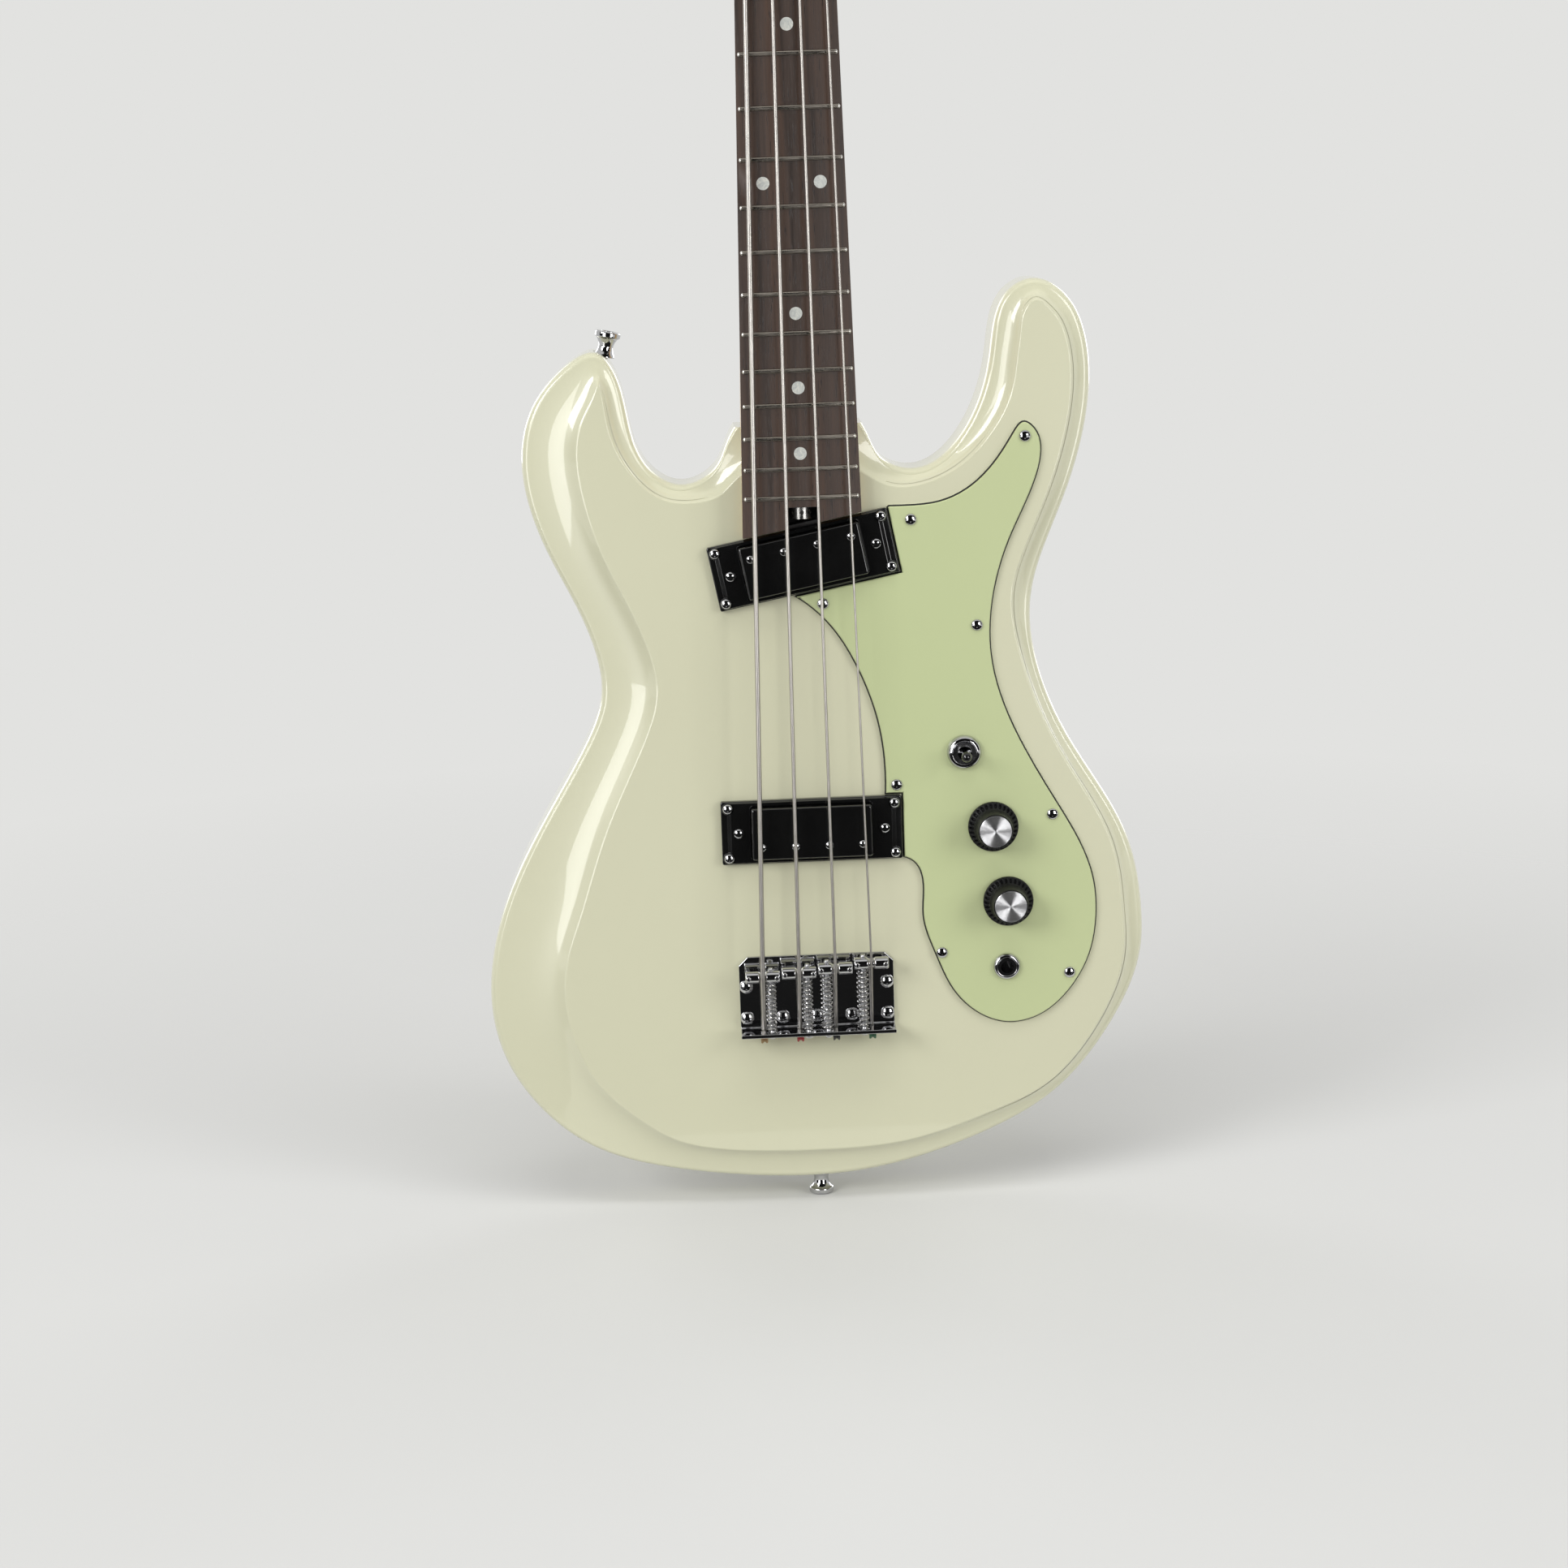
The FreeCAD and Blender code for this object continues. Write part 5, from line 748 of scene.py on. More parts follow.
def maple(label):
    colour = bpy.context.scene.bass_finish.maple
    tree, shader = new_finish(label, colour, 0.36, coat=0.45, coat_roughness=0.16)
    figure = grain(tree, 1.0, detail=7.0, roughness=0.58, distortion=0.5, stretch=(70.0, 70.0, 2.2))
    streaks = tones(tree, figure, [
        (0.28, shaded(colour, 0.78)), (0.72, shaded(colour, 1.12)), (0.5, shaded(colour, 0.98))])
    flecks = grain(tree, 1.0, detail=2.0, stretch=(900.0, 900.0, 60.0))
    holes = ranged(tree, flecks, 0.0, 0.55, 0.6, 0.7)
    brown = tones(tree, figure, [(0.0, (0.5, 0.36, 0.2)), (1.0, (0.62, 0.46, 0.28))])
    flecked = blended(tree, holes, streaks, brown)
    lines = grain(tree, 1.0, detail=4.0, distortion=0.3, stretch=(420.0, 420.0, 5.0))
    lined = tones(tree, lines, [(0.36, (0.8, 0.74, 0.66)), (0.56, (1.0, 1.0, 1.0))])
    tree.links.new(blended(tree, 0.75, flecked, lined, "MULTIPLY"), shader.inputs["Base Color"])
    roughened(tree, shader, figure, 0.3, 0.44)
    relief(tree, shader, flecks, 0.03, 0.0001)


def pearl(label):
    tree, shader = new_finish(label, srgb(206, 206, 198), 0.24, coat=0.7, coat_roughness=0.08)
    clouds = grain(tree, 240.0, detail=4.0, distortion=2.2)
    coloured(tree, shader, clouds, [
        (0.3, srgb(186, 188, 186)), (0.72, srgb(226, 224, 214)), (0.5, srgb(205, 208, 202))])
    roughened(tree, shader, clouds, 0.16, 0.32)


def bone(label):
    tree, shader = new_finish(label, srgb(228, 219, 194), 0.38, coat=0.15)
    fibres = grain(tree, 1.0, detail=6.0, stretch=(90.0, 500.0, 700.0))
    coloured(tree, shader, fibres, [(0.3, srgb(214, 202, 172)), (0.7, srgb(236, 229, 208))])
    roughened(tree, shader, fibres, 0.3, 0.48)


def switch_can(label):
    """Black case below the pickguard, plated bushing above it."""
    tree, shader = new_finish(label, (0.55, 0.55, 0.56), 0.14, metallic=1.0)
    place = tree.nodes.new("ShaderNodeTexCoord")
    axes = tree.nodes.new("ShaderNodeSeparateXYZ")
    tree.links.new(place.outputs["Object"], axes.inputs["Vector"])
    inside = ranged(tree, axes.outputs["Y"], 0.0, 1.0, FRONT_Y * MM - 0.0001, FRONT_Y * MM + 0.0001)
    coloured(tree, shader, inside, [(0.45, (0.62, 0.62, 0.64)), (0.55, (0.02, 0.02, 0.02))])
    tree.links.new(ranged(tree, inside, 1.0, 0.0, 0.45, 0.55), shader.inputs["Metallic"])
    roughened(tree, shader, grain(tree, 300.0), 0.1, 0.2)


FINISHES = {
    "cream_lacquer": cream_lacquer,
    "mint_plastic": mint_plastic,
    "guard_core": plain_plastic(srgb(22, 22, 20), 0.4, 0.1),
    "guard_base": plain_plastic(srgb(208, 212, 188), 0.35, 0.2),
    "black_plastic": black_plastic,
    "knob_black": plain_plastic(srgb(20, 20, 21), 0.38, 0.0, 0.25),
    "chrome": plain_metal((0.56, 0.56, 0.57), 0.06),
    "steel": plain_metal((0.52, 0.52, 0.53), 0.24),
    "spring_steel": plain_metal((0.5, 0.49, 0.47), 0.24),
    # Fret wire: metal darkened to a brown near the fingerboard's tone, a painted reflection of the dark
    # surroundings and the board.
    "fret_wire": plain_metal((0.42, 0.38, 0.33), 0.27, brushed=(0.2, 1.0, 3.0)),
    # Fret ends: a brighter metal than the wire, a painted highlight.
    "fret_end": plain_metal((0.85, 0.83, 0.78), 0.3),
    "dark_card": plain_plastic((0.012, 0.012, 0.012), 0.9, 0.0, 0.0),
    "string_steel": plain_metal((0.5, 0.475, 0.44), 0.34, spread=1.12, depth=0.004),
    "brass": plain_metal((0.78, 0.58, 0.27), 0.28),
    "spun_aluminium": spun_aluminium,
    "rosewood": rosewood,
    "maple": maple,
    "pearl": pearl,
    "bone": bone,
    "switch_can": switch_can,
    "coil_tape": plain_plastic(srgb(30, 26, 24), 0.55, 0.0),
    "wire_cover": plain_plastic(srgb(64, 60, 54), 0.7, 0.0),
    "ball_brass": plain_metal((0.36, 0.25, 0.14), 0.34),
    "ball_red": plain_plastic(srgb(150, 24, 28), 0.3, 0.4),
    "ball_black": plain_plastic(srgb(20, 20, 20), 0.3, 0.4),
    "ball_green": plain_plastic(srgb(26, 84, 52), 0.3, 0.4),
}


# Body
def closed_spline(knots, values, at):
    """A smooth closed curve through values at the knots, read at many places."""
    gap = np.diff(knots)
    count = len(gap)
    before = np.roll(gap, 1)
    system = np.zeros((count, count))
    for i in range(count):
        system[i, i] += (before[i] + gap[i]) / 3
        system[i, (i + 1) % count] += gap[i] / 6
        system[i, i - 1] += before[i] / 6
    slope = (np.roll(values, -1, axis=0) - values) / gap[:, None]
    bend = np.linalg.solve(system, slope - np.roll(slope, 1, axis=0))
    cell = np.clip(np.searchsorted(knots, at, "right") - 1, 0, count - 1)
    after = (cell + 1) % count
    b = ((at - knots[cell]) / gap[cell])[:, None]
    a = 1 - b
    size = (gap[cell] ** 2 / 6)[:, None]
    curve = (a ** 3 - a) * bend[cell] + (b ** 3 - b) * bend[after]
    return a * values[cell] + b * values[after] + curve * size


def carve_depth(share):
    """Depth of the hollow carve at a share of the way from the plateau to the rim."""
    rest = 1 - share
    return CARVE_DEPTH * (STEEP_SHARE * (1 - rest ** STEEP_POWER) + SLOW_SHARE * (1 - rest ** SLOW_POWER))


def body_rings(steps, ridge):
    """Rings from the plateau over the hollow carve, the rounded rim and the side to the back."""
    table = np.array(BODY_OUTLINE, float)
    rim, flat = table[:, :2], table[:, 2:]
    chords = np.linalg.norm(np.roll(rim, -1, axis=0) - rim, axis=1)
    knots = np.concatenate(([0.0], np.cumsum(np.sqrt(chords))))
    knots /= knots[-1]
    outward = (rim - flat) / np.linalg.norm(rim - flat, axis=1)[:, None]
    fine = np.linspace(0, 1, 20 * steps, endpoint=False)
    trace = closed_spline(knots, rim, fine)
    run = running_length(trace)
    total = run[-1] + np.linalg.norm(trace[0] - trace[-1])
    at = np.interp(np.linspace(0, total, steps, endpoint=False), run, fine)
    edge = closed_spline(knots, rim, at)
    inner = closed_spline(knots, flat, at)
    out = closed_spline(knots, outward, at)
    width = np.linalg.norm(edge - inner, axis=1)

    def ring(spots, depth):
        depth = np.broadcast_to(depth, (steps,))
        return np.stack([spots[:, 0], FRONT_Y + depth, spots[:, 1] + SADDLE_Z], axis=1)

    thick = BACK_Y - FRONT_Y
    steep = CARVE_DEPTH * (STEEP_SHARE * STEEP_POWER + SLOW_SHARE * SLOW_POWER) / width
    rings = []
    for share in (-1.0, -0.6, -0.25, 0.1, 0.5, 1.0):
        rings.append(ring(inner + out * (share * ridge), steep * ridge * (share + 1) ** 2 / 4))
    for t in (0.1, 0.13, 0.17, 0.22, 0.28, 0.35, 0.43, 0.52, 0.61, 0.7, 0.79, 0.87, 0.94, 1.0):
        rings.append(ring(inner + (edge - inner) * t - out * (RIM_ROUNDING * t ** 2.5), carve_depth(t)))
    for turn in (12, 25, 38, 51, 64, 77, 90):
        a = math.radians(turn)
        rings.append(ring(edge - out * (RIM_ROUNDING * (1 - math.sin(a))),
                          CARVE_DEPTH + (RIM_DEPTH - CARVE_DEPTH) * (1 - math.cos(a))))
    for depth in (17.0, 24.0, 31.0, thick - BACK_ROUNDING):
        rings.append(ring(edge, depth))
    for turn in (15, 30, 45, 60, 75, 90):
        a = math.radians(turn)
        rings.append(ring(edge - out * (BACK_ROUNDING * (1 - math.cos(a))),
                          thick - BACK_ROUNDING + BACK_ROUNDING * math.sin(a)))
    return rings


def board_half_width(height):
    """Half the fingerboard's width at a height above the saddles."""
    last_fret = SCALE_LENGTH / 2 ** (FRET_COUNT / 12)
    growth = (BOARD_WIDTH_AT_LAST_FRET - BOARD_WIDTH_AT_NUT) / (SCALE_LENGTH - last_fret)
    return (BOARD_WIDTH_AT_NUT + growth * (SCALE_LENGTH - height)) / 2


def pickup_point(u, v, y, middle, slant):
    """A place on a pickup, from its own length and width, at a depth."""
    a = math.radians(slant)
    return (u * math.cos(a) - v * math.sin(a), y, middle + u * math.sin(a) + v * math.cos(a))


def pickup_block(half_length, half_width, y0, y1, middle, slant):
    """A block along a pickup between two depths."""
    corners = quad(half_length, half_width, 0.0)
    outline = [pickup_point(u, v, 0.0, middle, slant) for u, v, _ in corners]
    return prism([(x, z) for x, _, z in outline], y0, y1)


def slant_line(x, beyond):
    """Height at x of a line along the neck pickup, some way beyond its surround."""
    middle, slant = PICKUPS["neck"]
    a = math.radians(slant)
    far = SURROUND_HALF_WIDTH + beyond
    return middle + (x + far * math.sin(a)) * math.tan(a) + far * math.cos(a)


def slant_strip(half, low, high):
    """A strip along the neck pickup between two lines beyond its surround."""
    corners = ((-half, low), (half, low), (half, high), (-half, high))
    return [(x, slant_line(x, beyond)) for x, beyond in corners]


def neck_pocket():
    """The room that the neck's heel fills in the body."""
    clearance, top = 0.02, 319.0
    low_half = board_half_width(slant_line(0.0, BOARD_GAP) - SADDLE_Z) + clearance
    top_half = board_half_width(top) + clearance
    outline = [(-low_half, slant_line(-low_half, BOARD_GAP)), (low_half, slant_line(low_half, BOARD_GAP)),
               (top_half, SADDLE_Z + top), (-top_half, SADDLE_Z + top)]
    return prism(outline, FRONT_Y - 12.0, HEEL_Y)


def heel_end():
    """What is cut off the body above the neck's heel, with a rounded edge at the back."""
    start, far, half = BACK_Y - BACK_ROUNDING, 60.0, 38.0
    side = [(-far, HEEL_Z), (start, HEEL_Z)]
    for turn in (18, 36, 54, 72, 90):
        a = math.radians(turn)
        z = HEEL_Z - BACK_ROUNDING + BACK_ROUNDING * math.cos(a)
        side.append((start + BACK_ROUNDING * math.sin(a), z))
    side += [(far, HEEL_Z - BACK_ROUNDING), (far, HEEL_Z + 200.0), (-far, HEEL_Z + 200.0)]
    return stacked([[(x, y, z) for y, z in side] for x in (-half, half)])


def notch_painted_shade():
    """Thin black sheet in the truss rod's notch, with a lip down to the pickup's surround: painted shade that
    darkens the recess.
    """
    def notch_outline(half, low, high):
        return [(-half, slant_line(-half, low)), (half, slant_line(half, low)), (half, high), (-half, high)]

    top, half = NOTCH_Z - 0.02, 7.98
    outside = prism(notch_outline(half, BOARD_GAP + 0.02, top), CROWN_Y + 0.5, -11.12)
    inside = prism(notch_outline(7.72, BOARD_GAP + 0.3, top - 0.26), CROWN_Y - 9.0, -11.38)
    front = prism(slant_strip(9.0, 0.2, 1.8), CROWN_Y - 9.0, FRONT_Y - 0.2)
    shade_sheet = Shape().add(*carved(*outside, [inside, front]))
    return shade_sheet.add(*prism(slant_strip(half, 0.03, BOARD_GAP + 0.1), FRONT_Y - 0.2, FRONT_Y - 0.01))


def crowned_frets():
    """Frets with rounded crowns and ends in a brighter metal as a painted highlight, bent over the
    fingerboard.
    """
    shape = Shape()
    inset, round_end, highlight_end = 0.8, 1.0, 1.1
    crown_height, crown_half = 1.1, 1.2
    tang = ((-0.3, 0.05), (-0.3, 1.55), (0.3, 1.55), (0.3, 0.05))
    for number in range(1, FRET_COUNT + 1):
        height = SCALE_LENGTH / 2 ** (number / 12)
        half = board_half_width(height) - inset
        ends = half - round_end * np.array((0.0, 0.15, 0.35, 0.6, 0.8, 0.94, 1.0))
        runs = np.concatenate((-ends[::-1], np.linspace(-half, half, 15)[1:-1], ends))
        loops = []
        for x in np.unique(np.round(runs, 4)):
            near = min(1.0, (half - abs(x)) / round_end)
            swell = max(0.3, math.sqrt(max(0.0, 1 - (1 - near) ** 2)))
            base = CROWN_Y + crown_drop(x)
            middle = SADDLE_Z + height
            loop = [(x, base - crown_height * swell * math.sin(a), middle + crown_half * swell * math.cos(a))
                    for a in np.linspace(0, math.pi, 11)]
            loops.append(loop + [(x, base + depth, middle + side) for side, depth in tang])
        points, faces = stacked(loops)
        shape.add(points, faces)
        places = [points[face][:, 0] for face in faces]
        # Faces near each end take the brighter finish, a painted highlight.
        shape.marks[-len(faces):] = [int(np.abs(p).mean() > half - highlight_end) for p in places]
    return shape


def body_shape(settings):
    """The carved body with its neck pocket, cavity, pickup routs and strap button seats."""
    points, faces = stacked(body_rings(settings.outline_steps, settings.ridge_softness / MM))
    above = FRONT_Y - 2.0
    cavity = [(x, z + SADDLE_Z) for x, z in CAVITY_OUTLINE]
    cutters = [neck_pocket(), heel_end(), prism(cavity, above, FRONT_Y + 33.0)]
    for middle, slant in PICKUPS.values():
        cutters.append(pickup_block(37.8, 14.15, above, FRONT_Y + 18.0, middle, slant))
        cutters.append(pickup_block(44.0, 9.4, above, FRONT_Y + 17.9, middle, slant))
    for seat, way in STRAP_SEATS:
        cutters.append(turned_at(pin(5.9, 0.0, 20.0), 40, seat, way))
    return Shape().add(*carved(points, faces, cutters))


# Strap buttons
HORN_TILT = math.radians(12.0)
HORN_WAY = (math.sin(HORN_TILT), 0.0, math.cos(HORN_TILT))
HORN_AT = (-96.0, SADDLE_Z + 317.0)
BUTTON_SINK = 1.4
STRAP_SEATS = (
    ((0.0, 0.0, 11.3), (0.0, 0.0, -1.0)),
    ((HORN_AT[0] - BUTTON_SINK * HORN_WAY[0], 0.0, HORN_AT[1] - BUTTON_SINK * HORN_WAY[2]), HORN_WAY),
)


# Screws
def domed_head(radius, height, rows=7):
    """The half section of a domed screw head, from its crown to its seat."""
    profile = []
    for i in range(rows + 1):
        a = math.radians(90) * i / rows
        profile.append((radius * math.sin(a), -height * (0.12 + 0.88 * math.cos(a))))
    return profile + [(radius * 0.985, 0.0)]


def cross_cutters(radius, height):
    """Two crossed wedges that cut a cross recess."""
    rows = ((-height * 1.3, radius * 0.62, radius * 0.15), (-height * 0.3, radius * 0.36, radius * 0.085))
    return [stacked([quad(long, wide, level) for level, long, wide in rows]),
            stacked([quad(wide, long, level) for level, long, wide in rows])]


def slot_cutter(radius, height, wide=0.17):
    """A bar that cuts a screwdriver slot."""
    levels = (-height * 1.3, -height * 0.45)
    return [stacked([quad(radius * 1.2, radius * wide, level) for level in levels])]


def screw_form(radius, height, shank, length, slotted=False, sides=40):
    """A screw along +Z whose head stands below zero."""
    profile = domed_head(radius, height) + [(shank, 0.0), (shank, length - shank * 1.5), (0.0, length)]
    cutters = slot_cutter(radius, height) if slotted else cross_cutters(radius, height)
    return carved(*turned(profile, sides), cutters)


# Strings
def crown_drop(x):
    return BOARD_RADIUS - math.sqrt(BOARD_RADIUS ** 2 - x ** 2)


def ball_point(k):
    return np.array((STRING_SIDES[k] * SPACING_AT_BRIDGE, FRONT_Y - 6.0, LIP_Z - 2.7))


def saddle_point(k):
    x = STRING_SIDES[k] * SPACING_AT_BRIDGE
    return np.array((x, CROWN_Y - 5.0 + crown_drop(x) - STRING_RADII[k], SADDLE_Z + SADDLE_STAGGER[k]))


def barrel_centre(k):
    return saddle_point(k) + np.array((0.0, STRING_RADII[k] + 2.4, 0.0))


def nut_point(k):
    x = STRING_SIDES[k] * SPACING_AT_NUT
    return np.array((x, CROWN_Y - 1.6 + crown_drop(x) - STRING_RADII[k], NUT_Z))


def wrap_point(k, turned_by):
    """A point of the turns round a tuner post and the way the string runs there."""
    x, z, side = POSTS[k]
    nut = nut_point(k)
    radius = WRAP_RADIUS + STRING_RADII[k]
    away = math.atan2(nut[2] - z, nut[0] - x)
    first = away - side * math.acos(radius / math.hypot(nut[0] - x, nut[2] - z))
    climb = (2 * STRING_RADII[k] + 0.5) / (2 * math.pi)
    a = first - side * turned_by
    y = WRAP_START_Y - STRING_RADII[k] - climb * turned_by
    point = np.array((x + radius * math.cos(a), y, z + radius * math.sin(a)))
    way = np.array((side * radius * math.sin(a), -climb, -side * radius * math.cos(a)))
    return point, unit(way)


def retainer_point(k, lead):
    """Where the string bends under the retainer bar."""
    nut = nut_point(k)
    reach = RETAINER_RADIUS + STRING_RADII[k]
    before = math.atan2(RETAINER_Y + reach - nut[1], RETAINER_Z - nut[2])
    after = math.atan2(lead[1] - RETAINER_Y - reach, lead[2] - RETAINER_Z)
    slope = (before + after) / 2
    far = reach / math.cos((before - after) / 2)
    z = RETAINER_Z - far * math.sin(slope)
    share = (z - nut[2]) / (lead[2] - nut[2])
    return np.array((nut[0] + (lead[0] - nut[0]) * share, RETAINER_Y + far * math.cos(slope), z))


def rounded_run(corners, bends, steps=8):
    """Straight runs between corners, joined by arcs that touch both."""
    path = [corners[0]]
    for i, bend in enumerate(bends, 1):
        before = unit(corners[i] - corners[i - 1])
        after = unit(corners[i + 1] - corners[i])
        angle = math.acos(max(-1.0, min(1.0, before.dot(after))))
        cut = bend * math.tan(angle / 2)
        enter = corners[i] - before * cut
        inward = unit(after - before * before.dot(after))
        for s in range(steps + 1):
            a = angle * s / steps
            path.append(enter + before * (bend * math.sin(a)) + inward * (bend * (1 - math.cos(a))))
    return path + [corners[-1]]


def string_path(k):
    """The run of a string from its ball over the saddle and the nut to the turns round its post."""
    start, way = wrap_point(k, 0.0)
    lead = start - way * POST_LEAD
    corners = [ball_point(k), saddle_point(k), nut_point(k), retainer_point(k, lead), lead, start]
    bends = (SHOULDER_BEND, SHOULDER_BEND, RETAINER_RADIUS + STRING_RADII[k], POST_LEAD)
    path = rounded_run(corners, bends)
    for a in np.linspace(0, WRAP_ANGLE, 145)[1:]:
        path.append(wrap_point(k, a)[0])
    end, way = wrap_point(k, WRAP_ANGLE)
    return path + [end + way * 2 * STRING_RADII[k]]


class BassOperator(bpy.types.Operator):
    """Shared by the operators of this add-on."""

    bl_options = {"REGISTER"}


class BASS_OT_carved_body(BassOperator):
    """Build the carved body over its solid"""

    bl_idname = "bass.carved_body"
    bl_label = "Carved body"

    def execute(self, context):
        shape = body_shape(context.scene.bass_shape)
        make_piece("carved_body", shape, "instrument", ["cream_lacquer"], ["body"], even=True)
        return {"FINISHED"}


def flat_loops(node, level):
    """The outlines of a node's flat front at a level, the longest first."""
    points, triangles = welded_node(node)
    front = triangles[(np.abs(points[triangles][:, :, 1] - level) < 0.01).all(axis=1)]
    edges = {(int(t[i]), int(t[(i + 1) % 3])) for t in front for i in range(3)}
    follow = {a: b for a, b in edges if (b, a) not in edges}
    loops = []
    while follow:
        first, at = follow.popitem()
        loop = [first]
        while at != first:
            loop.append(at)
            at = follow.pop(at)
        loops.append(points[loop][:, [0, 2]])
    loops.sort(key=lambda loop: -np.ptp(loop, axis=0).max())
    return loops


def inset_loop(loop, amount):
    """A closed outline moved inwards, with its corners kept."""
    area = (loop[:, 0] * np.roll(loop[:, 1], -1) - np.roll(loop[:, 0], -1) * loop[:, 1]).sum()
    run = np.roll(loop, -1, axis=0) - loop
    run /= np.linalg.norm(run, axis=1)[:, None]
    normal = np.stack([-run[:, 1], run[:, 0]], axis=1) * (1 if area > 0 else -1)
    both = normal + np.roll(normal, 1, axis=0)
    both /= (np.linalg.norm(both, axis=1) ** 2 / 2).clip(0.35)[:, None]
    return loop + both * amount


class BASS_OT_pickguard(BassOperator):
    """Build the layered pickguard with its bevelled edge"""

    bl_idname = "bass.pickguard"
    bl_label = "Pickguard"

    def execute(self, context):
        loops = flat_loops("pickguard", GUARD_Y)
        outer, holes = loops[0], loops[1:]
        steps = (
            (0.0, FRONT_Y), (0.0, -20.6), (0.08, -20.75), (0.85, -21.7), (1.15, -22.12), (1.35, GUARD_Y))
        rows = [[(x, y, z) for x, z in inset_loop(outer, inset)] for inset, y in steps]
        shape = Shape()
        for i, mark in enumerate((1, 1, 2, 0, 0)):
            shape.add(*stacked(rows[i:i + 2], low_cap=False, high_cap=False), mark)
        for loop in holes:
            wall = [[(x, y, z) for x, z in loop] for y in (FRONT_Y, GUARD_Y)]
            shape.add(*stacked(wall, low_cap=False, high_cap=False), 1)
        for y, edge, mark in ((GUARD_Y, np.array(rows[-1])[:, [0, 2]], 0), (FRONT_Y, outer, 1)):
            outlines = [[Vector((x, z, 0.0)) for x, z in loop] for loop in [edge] + holes]
            flat = [(v.x, y, v.y) for outline in outlines for v in outline]
            shape.add(flat, tessellate_polygon(outlines), mark)
        make_piece("layered_pickguard", shape.joined(0.001), "instrument",
                   ["mint_plastic", "guard_base", "guard_core"], ["pickguard"], crease=30.0, even=True)
        return {"FINISHED"}


def pickup_loops(rows, middle, slant):
    """Rounded outlines of a pickup's piece at a row of levels."""
    return [
        [pickup_point(u, v, y, middle, slant) for u, v in rounded_rectangle(a, b, r)] for a, b, r, y in rows]


class BASS_OT_pickups(BassOperator):
    """Build both pickups: surround, raised cover, pole screws and height screws"""

    bl_idname = "bass.pickups"
    bl_label = "Pickups"

    def surround(self, middle, slant):
        """The ring round a pickup, stepped down at its ends, with a boss under each corner screw."""
        rows = (
            (SURROUND_HALF_LENGTH, SURROUND_HALF_WIDTH, 1.0, FRONT_Y),
            (SURROUND_HALF_LENGTH, SURROUND_HALF_WIDTH, 1.0, -22.5), (46.35, 16.5, 1.0, -22.85),
            (46.0, 16.25, 1.0, -23.05), (43.6, 16.15, 0.9, -23.12), (43.2, 16.05, 0.9, -23.2),
            (41.6, 15.75, 0.9, -23.93), (41.2, 15.6, 0.9, RING_Y), (31.75, 14.25, 1.1, RING_Y),
            (31.4, 13.9, 1.0, -23.85), (31.3, 13.8, 1.0, -23.5), (31.3, 13.8, 1.0, FRONT_Y))
        shape = Shape().add(*stacked(pickup_loops(rows, middle, slant), closed=True))
        boss = [(0.0, 0.0), (3.1, 0.0), (3.1, 1.15), (2.85, 1.4), (0.0, 1.4)]
        for i in (-1, 1):
            for j in (-1, 1):
                seat = pickup_point(i * 42.9, j * 13.05, -22.6, middle, slant)
                shape.add(*turned_at(boss, 32, seat, FORWARD))
        return shape

    def cover(self, middle, slant):
        """The raised cover with its rounded edge."""
        half_length, half_width, edge = COVER_HALF_LENGTH, COVER_HALF_WIDTH, COVER_ROUNDING
        shoulder = COVER_Y + edge
        rows = [(half_length, half_width, edge, y) for y in (-18.2, -22.0, shoulder)]
        for turn in (18, 36, 54, 72, 90):
            a = math.radians(turn)
            inset = edge * (1 - math.cos(a))
            y = shoulder - edge * math.sin(a)
            rows.append((half_length - inset, half_width - inset, edge - inset * 0.5, y))
        return Shape().add(*stacked(pickup_loops(rows, middle, slant)))

    def poles(self, node):
        """Slotted pole screws whose heads stand a little proud of the cover."""
        radius, height, depth = 2.1, 1.2, 9.0
        profile = domed_head(radius, height) + [(radius, 0.0), (radius, depth), (0.0, depth)]
        form, faces = carved(*turned(profile, 40), slot_cutter(radius, height, 0.16))
        shape = Shape()
        for cloud in islands(node):
            centre = (cloud.min(axis=0) + cloud.max(axis=0)) / 2
            shape.add(placed(form, (centre[0], COVER_Y + 0.25, centre[2]), BACKWARD), faces)
        return shape

    def execute(self, context):
        for name, place in PICKUPS.items():
            body = name + "_pickup"
            make_piece(name + "_surround", self.surround(*place), "instrument",
                       ["black_plastic"], [body + "_ring"], even=True)
            make_piece(name + "_raised_cover", self.cover(*place), body,
                       ["black_plastic"], [body + "_cover"], even=True)
            node = name + "_pole_screws"
            chrome_piece(name + "_pole_heads", self.poles(node), node, body)
            dress_node(body + "_coil", "coil_tape")
        adjusters = Shape()
        form, faces = screw_form(2.6, 1.6, 1.5, 18.0, slotted=True)
        for seat, _, _ in fastener_seats("pickup_height_screws"):
            adjusters.add(placed(form, (seat[0], RING_Y, seat[2]), BACKWARD), faces)
        chrome_piece("pickup_height_heads", adjusters, "pickup_height_screws")
        return {"FINISHED"}


